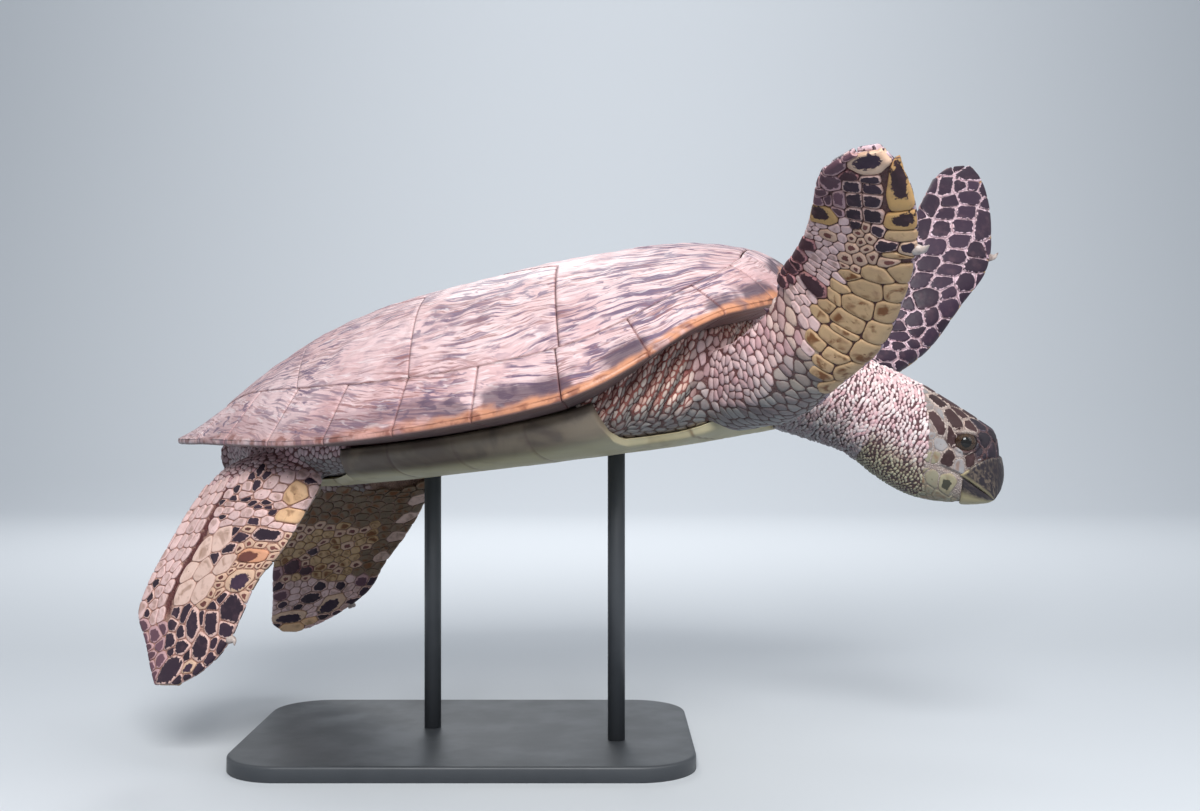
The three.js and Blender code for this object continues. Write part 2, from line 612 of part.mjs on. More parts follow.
// ---------------------------------------------------------------- stand
const BASE = { length: 470, width: 310, thick: 16, corner: 60, bevel: 3 };
const RODS = [{ name: "stand_rod_front", x: 165 }, { name: "stand_rod_rear", x: -45 }];
const ROD_RADIUS = 9;
function standBase() {
  const [a, b, r] = [BASE.length / 2 - BASE.bevel, BASE.width / 2 - BASE.bevel, BASE.corner];
  const shape = new THREE.Shape();
  shape.moveTo(-a + r, -b);
  shape.lineTo(a - r, -b);
  shape.absarc(a - r, -b + r, r, -Math.PI / 2, 0);
  shape.lineTo(a, b - r);
  shape.absarc(a - r, b - r, r, 0, Math.PI / 2);
  shape.lineTo(-a + r, b);
  shape.absarc(-a + r, b - r, r, Math.PI / 2, Math.PI);
  shape.lineTo(-a, -b + r);
  shape.absarc(-a + r, -b + r, r, Math.PI, 1.5 * Math.PI);
  const options = { depth: BASE.thick - BASE.bevel, bevelThickness: BASE.bevel, bevelSize: BASE.bevel };
  const geometry = new THREE.ExtrudeGeometry(shape, { ...options, bevelSegments: 1, curveSegments: 5 });
  const flatten = solidOf(new THREE.BoxGeometry(600, 400, 40).translate(0, 0, -20));
  return solidOf(geometry).subtract(flatten);
}

// ---------------------------------------------------------------- assembly
const bodyMatrix = new THREE.Matrix4()
  .makeRotationFromEuler(new THREE.Euler(degToRad(ROLL), degToRad(PITCH), degToRad(YAW), "ZYX"))
  .setPosition(0, 0, BODY_HEIGHT);

const finish = (color, roughness, metalness = 0) => new THREE.MeshStandardMaterial({ color, roughness, metalness });
const MATERIALS = {
  scute: finish(0x9a7a68, 0.5),
  rim: finish(0xa8744a, 0.5),
  belly: finish(0xd8c58c, 0.55),
  skin: finish(0xb89a86, 0.65),
  beak: finish(0x9a8258, 0.4),
  eye: finish(0x15100e, 0.1),
  claw: finish(0xd9cbb0, 0.4),
  stand: finish(0x33363a, 0.45),
};

const root = new THREE.Group();
const turtle = new THREE.Group();
turtle.applyMatrix4(bodyMatrix);
root.add(turtle);

function geometryOf(solid) {
  const { numProp, vertProperties, triVerts } = solid.getMesh();
  const count = vertProperties.length / numProp;
  const at = new Float32Array(count * 3);
  range(count).forEach((i) => at.set(vertProperties.subarray(i * numProp, i * numProp + 3), 3 * i));
  const geometry = new THREE.BufferGeometry();
  geometry.setAttribute("position", new THREE.BufferAttribute(at, 3));
  geometry.setIndex([...triVerts]);
  return geometry;
}

function add(group, name, solid, material) {
  const mesh = new THREE.Mesh(geometryOf(solid), material);
  mesh.name = name;
  group.add(mesh);
}

const SIDES = [{ word: "right", sign: -1 }, { word: "left", sign: 1 }];
const ringGrown = SIDES.map(({ sign }) => marginalRange(0.001, 1, sign, 2 * GAP, 44));
const trunkSolid = trunk();
const trunkGrown = trunk(SEAT + SCUTE_THICK - 1, GAP);
const plastronGrown = plastron(GAP);
const nuchalGrown = nuchal(GAP);
const bodyTools = [trunkGrown, plastronGrown, nuchalGrown, ...ringGrown];

// shell
add(turtle, "scute_nuchal", cut(nuchal(), ...ringGrown), MATERIALS.scute);
range(5).forEach((i) => add(turtle, `scute_vertebral_${i + 1}`, vertebral(i), MATERIALS.scute));
for (const { word, sign } of SIDES) {
  add(turtle, `scute_costal_${word}_1`, shoulderCostal(sign), MATERIALS.scute);
  range(3).forEach((i) => add(turtle, `scute_costal_${word}_${i + 2}`, costal(i + 1, sign), MATERIALS.scute));
  range(MARGINALS).forEach((k) => add(turtle, `marginal_${word}_${k + 1}`, marginal(k, sign), MATERIALS.rim));
}
add(turtle, "plastron", plastron(), MATERIALS.belly);

// flesh
add(turtle, "trunk", trunkSolid, MATERIALS.skin);
const neckSolid = cut(neck(), ...bodyTools);
add(turtle, "neck", neckSolid, MATERIALS.skin);
add(turtle, "tail", cut(tail(), ...bodyTools), MATERIALS.skin);

const headStations = [0, 4, 10, 18, 28, 38, 50, 64, 80, 98, 118, 138, HEAD_LENGTH - GAP];
const headForm = loft(headStations.map((d) => headRing(d, 20)));
const eyes = SIDES.map(({ sign }) => eyeball(sign, GAP));
add(turtle, "head", cut(headForm, jawRegion(GAP), upperBeakRegion(GAP), ...eyes), MATERIALS.skin);
add(turtle, "jaw_lower", cut(headForm.intersect(jawRegion(0)), lowerBeakRegion(GAP)), MATERIALS.skin);
add(turtle, "beak_upper", cut(headForm.intersect(upperBeakRegion(0)), jawRegion(GAP)), MATERIALS.beak);
add(turtle, "beak_lower", largest(headForm.intersect(jawRegion(0)).intersect(lowerBeakRegion(0))), MATERIALS.beak);
SIDES.forEach(({ word, sign }) => add(turtle, `eye_${word}`, eyeball(sign, 0), MATERIALS.eye));

const LIMBS = [
  { name: "front_flipper_right", stations: FRONT_RIGHT, rows: 20, claw: 0.59 },
  { name: "front_flipper_left", stations: FRONT_LEFT, rows: 20, claw: 0.59 },
  { name: "hind_flipper_right", stations: HIND_RIGHT, rows: 15, claw: 0.72 },
  { name: "hind_flipper_left", stations: HIND_LEFT, rows: 15, claw: 0.72 },
];
const neckRoom = neck();
for (const { name, stations, rows, claw: place } of LIMBS) {
  const clawSolid = clawOn(stations, place, 12);
  const whole = limb(stations, rows, 12);
  const front = name.startsWith("front");
  add(turtle, name, cut(whole, ...bodyTools, ...(front ? [neckRoom] : [])), MATERIALS.skin);
  add(turtle, name.replace("flipper", "claw"), cut(clawSolid, whole), MATERIALS.claw);
}

// stand
add(root, "stand_base", standBase(), MATERIALS.stand);
const bellyTool = solidOf(geometryOf(plastronGrown).applyMatrix4(bodyMatrix));
for (const { name, x } of RODS) {
  const under = V(x, 0, 0).applyMatrix4(bodyMatrix);
  const top = 420;
  const rod = new THREE.CylinderGeometry(ROD_RADIUS, ROD_RADIUS, top - BASE.thick - GAP, 20)
    .rotateX(Math.PI / 2)
    .translate(under.x, under.y, (top + BASE.thick + GAP) / 2);
  const pieces = solidOf(rod).subtract(bellyTool).decompose();
  const lowest = pieces.reduce((a, b) => (a.boundingBox().min[2] < b.boundingBox().min[2] ? a : b));
  add(root, name, lowest, MATERIALS.stand);
}

export default root;
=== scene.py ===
"""Looks of a hawksbill sea turtle, life size, swimming over a plain display stand.

Shapes are worked out in the turtle's own frame, in millimetres (x towards the nose, y to its left, z up,
origin at the middle of the shell's long chord), and Posture sets them in the row frame, in metres.
"""

from __future__ import annotations

import logging
import math
from dataclasses import dataclass, field
from enum import Enum
from typing import Callable, Iterable, Sequence

import bmesh
import bpy
import numpy as np
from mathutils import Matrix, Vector
from mathutils.bvhtree import BVHTree
from mathutils.kdtree import KDTree


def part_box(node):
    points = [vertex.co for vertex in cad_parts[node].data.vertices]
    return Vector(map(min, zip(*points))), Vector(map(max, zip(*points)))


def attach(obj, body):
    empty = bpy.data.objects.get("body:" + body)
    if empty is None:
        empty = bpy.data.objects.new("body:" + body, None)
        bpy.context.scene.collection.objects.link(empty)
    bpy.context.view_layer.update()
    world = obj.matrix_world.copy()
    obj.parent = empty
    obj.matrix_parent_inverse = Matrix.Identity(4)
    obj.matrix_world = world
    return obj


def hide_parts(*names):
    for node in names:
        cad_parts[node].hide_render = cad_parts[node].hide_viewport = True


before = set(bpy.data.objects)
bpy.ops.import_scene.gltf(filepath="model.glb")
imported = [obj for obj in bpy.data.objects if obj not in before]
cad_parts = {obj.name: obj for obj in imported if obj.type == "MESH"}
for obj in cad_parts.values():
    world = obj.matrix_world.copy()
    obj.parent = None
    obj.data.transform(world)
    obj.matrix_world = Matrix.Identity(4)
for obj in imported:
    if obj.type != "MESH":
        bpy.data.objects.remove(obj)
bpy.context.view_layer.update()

logging.basicConfig(level=logging.INFO, format="%(message)s")
log = logging.getLogger("turtle")

MM = 0.001
BODY = "root"
TUFT = 0.0015  # half the width of a scale's or a bead's patch on the bake's map
Array = np.ndarray


class Side(Enum):
    """A side of the animal, as the sign of its y."""

    RIGHT = -1
    LEFT = 1

    @property
    def word(self) -> str:
        """The side's name as the nodes spell it."""
        return self.name.lower()


class Face(Enum):
    """A face of a flipper: the upper one, or the one under it."""

    UPPER = 1
    UNDER = -1


# ------------------------------------------------------------------ curves and noise
class Profile:
    """A smooth curve through (x, y) pairs that doesn't overshoot between them."""

    def __init__(self, pairs: Sequence[tuple[float, float]]) -> None:
        """Works out the tangents.

        Args:
            pairs: the points, by rising x.
        """
        self.x, self.y = np.array(pairs, float).T
        slope = np.diff(self.y) / np.diff(self.x)
        before, after = slope[:-1], slope[1:]
        same = before * after > 0
        total = np.where(same, before + after, 1.0)
        inner = np.where(same, 2 * before * after / total, 0.0)
        self.tangent = np.concatenate([slope[:1], inner, slope[-1:]])

    def __call__(self, x: Array | float) -> Array:
        """The curve's height at x, held at its ends."""
        x = np.clip(np.asarray(x, float), self.x[0], self.x[-1])
        i = np.clip(np.searchsorted(self.x, x, side="right") - 1, 0, len(self.x) - 2)
        h = self.x[i + 1] - self.x[i]
        s = (x - self.x[i]) / h
        s2, s3 = s * s, s * s * s
        return (
            (2 * s3 - 3 * s2 + 1) * self.y[i]
            + (s3 - 2 * s2 + s) * h * self.tangent[i]
            + (3 * s2 - 2 * s3) * self.y[i + 1]
            + (s3 - s2) * h * self.tangent[i + 1]
        )


class Spline:
    """A centripetal curve through points in space, for shares from 0 to 1."""

    def __init__(self, points: Sequence[Sequence[float]]) -> None:
        """Keeps the points with one more beyond each end.

        Args:
            points: the points that the curve passes through.
        """
        p = np.array(points, float)
        self.points = np.vstack([2 * p[0] - p[1], p, 2 * p[-1] - p[-2]])
        self.count = len(p)

    def __call__(self, share: Array | float) -> Array:
        """The points at these shares of the way.

        Args:
            share: one share or many, from 0 to 1.

        Returns:
            One point a row.
        """
        share = np.atleast_1d(np.clip(share, 0, 1))
        at = share * (self.count - 1)
        i = np.clip(at.astype(int), 0, self.count - 2)
        w = (at - i)[:, None]
        p0, p1, p2, p3 = (self.points[i + k] for k in range(4))
        ends = ((p0, p1), (p1, p2), (p2, p3))
        d0, d1, d2 = (np.sqrt(np.linalg.norm(b - a, axis=1))[:, None] for a, b in ends)
        t1 = d1 * ((p1 - p0) / d0 - (p2 - p0) / (d0 + d1) + (p2 - p1) / d1)
        t2 = d1 * ((p2 - p1) / d1 - (p3 - p1) / (d1 + d2) + (p3 - p2) / d2)
        return p1 + w * t1 + w**2 * (3 * (p2 - p1) - 2 * t1 - t2) + w**3 * (2 * (p1 - p2) + t1 + t2)

    def along(self, share: Array | float, step: float = 0.02) -> Array:
        """Unit direction of travel at these shares."""
        share = np.atleast_1d(share)
        return unit(self(share + step) - self(share - step))


def unit(vectors: Array) -> Array:
    """The vectors at length one."""
    return vectors / np.maximum(np.linalg.norm(vectors, axis=-1, keepdims=True), 1e-9)


def smooth(value: Array, low: float, high: float) -> Array:
    """0 up to low, 1 from high, and an even S between them (low may be the larger)."""
    t = np.clip((np.asarray(value, float) - low) / (high - low), 0, 1)
    return t * t * (3 - 2 * t)


def mix(a: Array | float, b: Array | float, share: Array | float) -> Array:
    """a at share 0, b at share 1."""
    return a + (b - a) * share


def min_of(values: Iterable[Array]) -> Array:
    """The least of several values, point by point."""
    return np.minimum.reduce(list(values))


def signed_power(value: Array, power: float) -> Array:
    """Power of the size, with the sign kept."""
    return np.sign(value) * np.abs(value) ** power


def lattice(cells: Array, seed: int) -> Array:
    """A fixed number from 0 to 1 for each whole cell."""
    k = cells.astype(np.int64)
    h = (k[..., 0] * 73856093) ^ (k[..., 1] * 19349663) ^ (k[..., 2] * 83492791) ^ (seed * 2654435761)
    h = (h ^ (h >> 13)) * 1274126177
    return ((h ^ (h >> 16)) & 0xFFFF) / 65535.0


def noise(points: Array, size: float, seed: int = 0, octaves: int = 2) -> Array:
    """Smooth noise from -1 to 1 at points in space.

    Args:
        points: one point a row.
        size: width of a lump, in the points' unit.
        seed: which noise.
        octaves: how many finer layers.

    Returns:
        One value a point.
    """
    total, weight, sum_weight = 0.0, 1.0, 0.0
    for octave in range(octaves):
        p = points / size * 2**octave
        base = np.floor(p)
        f = p - base
        f = f * f * (3 - 2 * f)
        value = 0.0
        for corner in np.ndindex(2, 2, 2):
            c = np.array(corner)
            share = np.prod(np.where(c, f, 1 - f), axis=-1)
            value = value + share * lattice(base + c, seed + octave)
        total = total + weight * (2 * value - 1)
        sum_weight += weight
        weight *= 0.5
    return total / sum_weight


def srgb(red: int, green: int, blue: int) -> tuple[float, float, float, float]:
    """A screen colour, 0 to 255 a channel, as the linear colour that the shaders take."""
    channel = [c / 255 for c in (red, green, blue)]
    return (*[c / 12.92 if c <= 0.04045 else ((c + 0.055) / 1.055) ** 2.4 for c in channel], 1.0)


# ------------------------------------------------------------------ placing and meshes
@dataclass(frozen=True)
class Posture:
    """How the turtle hangs over its stand: banked, nose up and turned, at a height."""

    yaw: float = -16.0
    pitch: float = -11.5
    roll: float = 5.0
    height: float = 397.0

    def matrix(self) -> Array:
        """Rotation from the turtle's frame to the row frame."""
        a, b, c = (math.radians(v) for v in (self.yaw, self.pitch, self.roll))
        z = np.array([[math.cos(a), -math.sin(a), 0], [math.sin(a), math.cos(a), 0], [0, 0, 1]])
        y = np.array([[math.cos(b), 0, math.sin(b)], [0, 1, 0], [-math.sin(b), 0, math.cos(b)]])
        x = np.array([[1, 0, 0], [0, math.cos(c), -math.sin(c)], [0, math.sin(c), math.cos(c)]])
        return z @ y @ x

    def place(self, points: Array) -> Array:
        """Points of the turtle, in millimetres, as metres in the row frame."""
        return (points @ self.matrix().T + np.array([0, 0, self.height])) * MM

    def turn(self, vectors: Array) -> Array:
        """Directions of the turtle as directions in the row frame."""
        return vectors @ self.matrix().T


POSTURE = Posture()
Mesh = tuple[Array, list]


def grid_faces(rows: int, columns: int, wrap: bool = False) -> Array:
    """Quads over a grid of points, row by row; wrap joins the last column to the first."""
    j = np.arange(columns if wrap else columns - 1)
    i = np.arange(rows - 1)[:, None]
    k = (j + 1) % columns
    quads = np.stack([i * columns + j, i * columns + k, (i + 1) * columns + k, (i + 1) * columns + j], -1)
    return quads.reshape(-1, 4)


def loft(rings: Array) -> Mesh:
    """A closed body through rings of points, with a fan at each end."""
    rows, columns = rings.shape[:2]
    points = np.vstack([rings.reshape(-1, 3), rings[0].mean(0), rings[-1].mean(0)])
    j = np.arange(columns)
    k = (j + 1) % columns
    first, last = rows * columns, rows * columns + 1
    start = np.stack([np.full(columns, first), k, j], -1)
    end = np.stack([np.full(columns, last), (rows - 1) * columns + j, (rows - 1) * columns + k], -1)
    return points, grid_faces(rows, columns, True).tolist() + start.tolist() + end.tolist()


def slab(top: Array, depth: Callable[[Array], Array]) -> tuple[Array, list, Array]:
    """A closed plate under a grid of points.

    Args:
        top: rows by columns of points, the outer face.
        depth: gives the point under each point of the edge, and under the middle.

    Returns:
        The points, the faces, and for each point the index of the top point that it hangs from.
    """
    rows, columns = top.shape[:2]
    index = np.arange(rows * columns).reshape(rows, columns)
    edge = np.concatenate([index[0], index[1:, -1], index[-1, -2::-1], index[-2:0:-1, 0]])
    flat = top.reshape(-1, 3)
    under = depth(flat[edge])
    inner = under * 0.9 + under.mean(0) * 0.1
    middle = depth(flat[index[rows // 2, columns // 2]][None])
    points = np.vstack([flat, under, inner, middle])
    n = len(edge)
    j = np.arange(n)
    k = (j + 1) % n
    a, b, c = rows * columns, rows * columns + n, rows * columns + 2 * n
    skirt = np.stack([edge[j], a + j, a + k, edge[k]], -1)
    band = np.stack([a + j, b + j, b + k, a + k], -1)
    fan = np.stack([b + j, np.full(n, c), b + k], -1)
    hang = np.concatenate([np.arange(rows * columns), edge, edge, index[rows // 2, columns // 2, None]])
    faces = grid_faces(rows, columns)[:, ::-1].tolist() + skirt[:, ::-1].tolist()
    return points, faces + band[:, ::-1].tolist() + fan[:, ::-1].tolist(), hang


def join(parts: Iterable[Mesh]) -> Mesh:
    """Several meshes as one."""
    points, faces, base = [], [], 0
    for part_points, part_faces in parts:
        points.append(part_points)
        faces += [[v + base for v in face] for face in part_faces]
        base += len(part_points)
    return np.vstack(points), faces


def new_object(
    name: str, points: Array, faces: list, material: bpy.types.Material | None = None,
    corners: Array | None = None
) -> bpy.types.Object:
    """A shaded object from points in the row frame, in metres, facing outwards.

    Args:
        name: the piece's name.
        points: one point a row.
        faces: lists of point numbers.
        material: its finish.
        corners: place of each corner of each face on the bake's map, or none.

    Returns:
        The object, linked to the scene.
    """
    mesh = bpy.data.meshes.new(name)
    mesh.from_pydata(np.asarray(points, float).tolist(), [], [list(map(int, f)) for f in faces])
    mesh.polygons.foreach_set("use_smooth", [True] * len(mesh.polygons))
    mesh.update()
    if corners is not None:
        layer = mesh.uv_layers.new(name="OFBake", do_init=False)
        layer.uv.foreach_set("vector", corners.astype(np.float32).ravel())
    if signed_volume(mesh) < 0:
        mesh.flip_normals()
    obj = bpy.data.objects.new(name, mesh)
    bpy.context.scene.collection.objects.link(obj)
    if material is not None:
        mesh.materials.append(material)
    return obj


def signed_volume(mesh: bpy.types.Mesh) -> float:
    """Volume inside the mesh, below 0 where its faces point in."""
    mesh.calc_loop_triangles()
    corners = np.empty(len(mesh.loop_triangles) * 3, np.int32)
    mesh.loop_triangles.foreach_get("vertices", corners)
    p = vertices_of(mesh)[corners.reshape(-1, 3)]
    return float(np.einsum("ij,ij->i", p[:, 0], np.cross(p[:, 1], p[:, 2])).sum())


def vertices_of(mesh: bpy.types.Mesh) -> Array:
    """The mesh's points, one a row."""
    co = np.empty(len(mesh.vertices) * 3, np.float32)
    mesh.vertices.foreach_get("co", co)
    return co.reshape(-1, 3).astype(float)


def normals_of(mesh: bpy.types.Mesh) -> Array:
    """The mesh's point normals, one a row."""
    out = np.empty(len(mesh.vertices) * 3, np.float32)
    mesh.vertices.foreach_get("normal", out)
    return out.reshape(-1, 3).astype(float)


def set_vertices(mesh: bpy.types.Mesh, points: Array) -> None:
    """Moves the mesh's points."""
    mesh.vertices.foreach_set("co", points.astype(np.float32).ravel())
    mesh.update()


def write_values(mesh: bpy.types.Mesh, name: str, values: Array) -> None:
    """Keeps a number, a vector or a colour for each point under a name that the finishes read."""
    values = np.asarray(values, np.float32)
    kinds = {1: ("FLOAT", "value"), 3: ("FLOAT_VECTOR", "vector"), 4: ("FLOAT_COLOR", "color")}
    kind, key = kinds[1 if values.ndim == 1 else values.shape[1]]
    attribute = mesh.attributes.new(name, kind, "POINT")
    attribute.data.foreach_set(key, values.ravel())


def read_values(mesh: bpy.types.Mesh, name: str) -> Array:
    """What is kept for each point under a name."""
    attribute = mesh.attributes[name]
    kinds = {"FLOAT": ("value", 1), "FLOAT_VECTOR": ("vector", 3), "FLOAT_COLOR": ("color", 4)}
    key, width = kinds[attribute.data_type]
    out = np.empty(len(mesh.vertices) * width, np.float32)
    attribute.data.foreach_get(key, out)
    return out.astype(float) if width == 1 else out.reshape(-1, width).astype(float)


def evaluated(obj: bpy.types.Object) -> bpy.types.Mesh:
    """The object's mesh with its modifiers applied."""
    graph = bpy.context.evaluated_depsgraph_get()
    return bpy.data.meshes.new_from_object(obj.evaluated_get(graph), depsgraph=graph)


def settle(obj: bpy.types.Object, slot: str, *nodes: str) -> bpy.types.Object:
    """Makes a finished piece ride on the body and hides the nodes that it stands for."""
    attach(obj, BODY)
    if nodes:
        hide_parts(*nodes)
    log.info("%-28s %7d triangles", obj.name, len(obj.data.loops) - 2 * len(obj.data.polygons))
    return obj


# ------------------------------------------------------------------ finishes
class Graph:
    """A node material as it is being built."""

    def __init__(self, name: str) -> None:
        """Starts an empty tree with an output.

        Args:
            name: the material's name.
        """
        self.material = bpy.data.materials.new(name)
        self.material.use_nodes = True
        self.tree = self.material.node_tree
        self.tree.nodes.clear()
        self.place = self.node("ShaderNodeTexCoord").outputs["Object"]

    def node(self, kind: str, **settings: object) -> bpy.types.Node:
        """A new node with its settings."""
        node = self.tree.nodes.new(kind)
        for key, value in settings.items():
            setattr(node, key, value)
        return node

    def put(self, socket: bpy.types.NodeSocket, value: object) -> None:
        """Links a socket to an output, or sets it to a constant."""
        if isinstance(value, bpy.types.NodeSocket):
            self.tree.links.new(value, socket)
        else:
            socket.default_value = value

    def value(self, name: str) -> bpy.types.NodeSocket:
        """A number kept on the mesh's points."""
        return self.node("ShaderNodeAttribute", attribute_name=name).outputs["Fac"]

    def colour(self, name: str) -> bpy.types.NodeSocket:
        """A colour kept on the mesh's points."""
        return self.node("ShaderNodeAttribute", attribute_name=name).outputs["Color"]

    def vector(self, name: str) -> bpy.types.NodeSocket:
        """A vector kept on the mesh's points."""
        return self.node("ShaderNodeAttribute", attribute_name=name).outputs["Vector"]

    def scaled(self, vector: bpy.types.NodeSocket, scale: Sequence[float]) -> bpy.types.NodeSocket:
        """A vector stretched along its axes."""
        mapping = self.node("ShaderNodeMapping", vector_type="POINT")
        self.put(mapping.inputs["Vector"], vector)
        mapping.inputs["Scale"].default_value = scale
        return mapping.outputs["Vector"]

    def noise(self, scale: float, detail: float = 3, vector: object = None,
              warp: float = 0.0) -> bpy.types.NodeSocket:
        """Noise from 0 to 1, by cells a metre, or a unit of the vector."""
        node = self.node("ShaderNodeTexNoise")
        self.put(node.inputs["Vector"], vector or self.place)
        node.inputs["Scale"].default_value = scale
        node.inputs["Detail"].default_value = detail
        node.inputs["Distortion"].default_value = warp
        return node.outputs["Fac"]

    def cells(self, scale: float, vector: object = None) -> bpy.types.NodeSocket:
        """Distance to the edge of small cells, by cells a metre."""
        node = self.node("ShaderNodeTexVoronoi", feature="DISTANCE_TO_EDGE")
        self.put(node.inputs["Vector"], vector or self.place)
        node.inputs["Scale"].default_value = scale
        return node.outputs["Distance"]

    def step(self, value: object, low: float, high: float,
             out: tuple[float, float] = (0, 1)) -> bpy.types.NodeSocket:
        """A smooth step of a value from low to high."""
        node = self.node("ShaderNodeMapRange", interpolation_type="SMOOTHSTEP")
        self.put(node.inputs["Value"], value)
        for key, number in zip(("From Min", "From Max", "To Min", "To Max"), (low, high, *out)):
            node.inputs[key].default_value = number
        return node.outputs["Result"]

    def math(self, operation: str, a: object, b: object) -> bpy.types.NodeSocket:
        """A sum, product and so on of two values."""
        node = self.node("ShaderNodeMath", operation=operation)
        self.put(node.inputs[0], a)
        self.put(node.inputs[1], b)
        return node.outputs[0]

    def blend(self, share: object, a: object, b: object, kind: str = "MIX") -> bpy.types.NodeSocket:
        """Two colours mixed by a share."""
        node = self.node("ShaderNodeMix", data_type="RGBA", blend_type=kind)
        self.put(node.inputs[0], share)
        self.put(node.inputs[6], a)
        self.put(node.inputs[7], b)
        return node.outputs[2]

    def bump(self, height: object, distance: float, strength: float = 1.0,
             under: object = None) -> bpy.types.NodeSocket:
        """A normal from a height, in metres, over another normal."""
        node = self.node("ShaderNodeBump")
        node.inputs["Strength"].default_value = strength
        node.inputs["Distance"].default_value = distance
        self.put(node.inputs["Height"], height)
        if under is not None:
            self.put(node.inputs["Normal"], under)
        return node.outputs["Normal"]

    def finish(self, colour: object, rough: object, normal: object = None,
               **constants: float) -> bpy.types.Material:
        """Closes the tree with one surface shader.

        Args:
            colour: base colour.
            rough: roughness.
            normal: a bumped normal, or none.
            constants: other sockets of the shader, by name with _ for a space.

        Returns:
            The material.
        """
        shader = self.node("ShaderNodeBsdfPrincipled")
        self.put(shader.inputs["Base Color"], colour)
        self.put(shader.inputs["Roughness"], rough)
        if normal is not None:
            self.put(shader.inputs["Normal"], normal)
        for key, number in constants.items():
            shader.inputs[key.replace("_", " ")].default_value = number
        output = self.node("ShaderNodeOutputMaterial")
        self.tree.links.new(shader.outputs[0], output.inputs[0])
        return self.material


@dataclass(frozen=True)
class ShellHorn:
    """Worn horn of the carapace: pale, with grey, violet and brown streaks along its growth."""

    cream: tuple = srgb(238, 206, 206)
    tan: tuple = srgb(212, 168, 168)
    violet: tuple = srgb(112, 90, 114)
    brown: tuple = srgb(150, 100, 96)
    amber: tuple = srgb(218, 148, 108)
    plum: tuple = srgb(76, 54, 70)

    def material(self) -> bpy.types.Material:
        """Streaks follow the grain kept on the points; the rim takes an amber band, and painted shade darkens
        its underside.
        """
        g = Graph("shell_horn")
        grain, rim, front = g.vector("grain"), g.value("rim"), g.value("front")
        base = g.blend(g.step(g.noise(12, 3), 0.35, 0.68), self.cream, self.tan)
        lines = g.noise(1, 5, g.scaled(grain, (16, 210, 9)), 0.9)
        patch = g.noise(15, 4, warp=0.6)
        grey = g.math("MULTIPLY", g.step(lines, 0.47, 0.58), g.step(patch, 0.4, 0.52))
        grey = g.math("MULTIPLY", grey, g.step(front, 0, 1, (0.6, 1.0)))
        base = g.blend(grey, base, self.violet)
        hairs = g.noise(1, 5, g.scaled(grain, (30, 460, 14)), 1.0)
        patch_2 = g.noise(17, 3, g.scaled(g.place, (1, -1, 1.3)), 0.5)
        rusty = g.math("MULTIPLY", g.step(hairs, 0.5, 0.6), g.step(patch_2, 0.36, 0.6, (0.15, 0.75)))
        base = g.blend(rusty, base, self.brown)
        flecks = g.noise(1, 4, g.scaled(grain, (60, 170, 9)), 0.6)
        flecks = g.math("MULTIPLY", g.step(flecks, 0.53, 0.62),
                        g.step(g.noise(9, 3), 0.44, 0.56, (0.2, 0.85)))
        base = g.blend(flecks, base, self.violet)
        glint = g.noise(1, 4, g.scaled(grain, (40, 260, 20)), 1.2)
        glint = g.math("MULTIPLY", g.step(glint, 0.55, 0.68), 0.6)
        base = g.blend(glint, base, srgb(248, 230, 230))
        wobble = g.math("MULTIPLY_ADD", g.noise(34, 4), 0.44)
        wobble.node.inputs[2].default_value = -0.22
        edge = g.math("ADD", rim, wobble)
        dark = g.math("MULTIPLY", g.step(edge, 0.4, 0.66), g.step(g.noise(16, 3, warp=0.5), 0.4, 0.52))
        base = g.blend(g.math("MULTIPLY", dark, g.step(front, 0, 1, (0.2, 0.9))), base, self.plum)
        amber = g.math("MULTIPLY", g.step(edge, 0.8, 0.97), g.step(front, 0, 1, (0.1, 0.95)))
        amber = g.math("MULTIPLY", amber, g.step(g.noise(26, 3, warp=0.5), 0.34, 0.46, (0.25, 1.0)))
        base = g.blend(amber, base, self.amber)
        base = g.blend(g.math("MULTIPLY", g.step(edge, 0.88, 1.0),
                              g.step(g.noise(70, 3), 0.5, 0.64, (0, 0.7))),
                       base, srgb(126, 66, 50))
        # painted shade: the rim's underside and the lower part of its rounded edge are darkened to a dull
        # brown
        base = g.blend(g.step(g.value("below"), 0.2, 1.0, (0, 0.9)), base, srgb(96, 76, 74))
        base = g.blend(g.step(g.value("seam"), 0.3, 1.0, (0, 0.35)), base, self.brown)
        height = g.math("ADD", lines, g.math("MULTIPLY", hairs, 0.7))
        normal = g.bump(height, 0.0011, 0.7)
        normal = g.bump(g.noise(420, 3), 0.0004, 0.5, normal)
        return g.finish(base, g.step(lines, 0.2, 0.8, (0.38, 0.6)), normal, Coat_Weight=0.1,
                        Coat_Roughness=0.3)


@dataclass(frozen=True)
class BellyHorn:
    """Pale yellow plates of the underside, a little stained along their seams."""

    straw: tuple = srgb(200, 184, 138)
    cream: tuple = srgb(212, 200, 166)
    stain: tuple = srgb(140, 112, 78)

    def material(self) -> bpy.types.Material:
        """Soft blotches, thin growth lines and dark seams; painted shade darkens the flanks, with darker
        blotches.
        """
        g = Graph("belly_horn")
        base = g.blend(g.step(g.noise(8, 3), 0.35, 0.7), self.straw, self.cream)
        base = g.blend(g.step(g.noise(26, 3, warp=0.5), 0.58, 0.75, (0, 0.35)), base, self.stain)
        base = g.blend(g.step(g.value("seam"), 0.2, 1.0, (0, 0.8)), base, self.stain)
        # painted shade: where the plastron turns up the flanks it takes a dark brown, blotched darker
        flank = g.blend(g.step(g.noise(14, 4, warp=0.6), 0.42, 0.6), srgb(126, 110, 96), srgb(72, 54, 58))
        base = g.blend(g.step(g.value("side"), 0.1, 0.85, (0, 0.85)), base, flank)
        lines = g.noise(1, 3, g.scaled(g.place, (18, 120, 120)))
        normal = g.bump(lines, 0.0008, 0.5)
        normal = g.bump(g.noise(300, 3), 0.0003, 0.4, normal)
        return g.finish(base, g.step(lines, 0.2, 0.8, (0.4, 0.55)), normal)


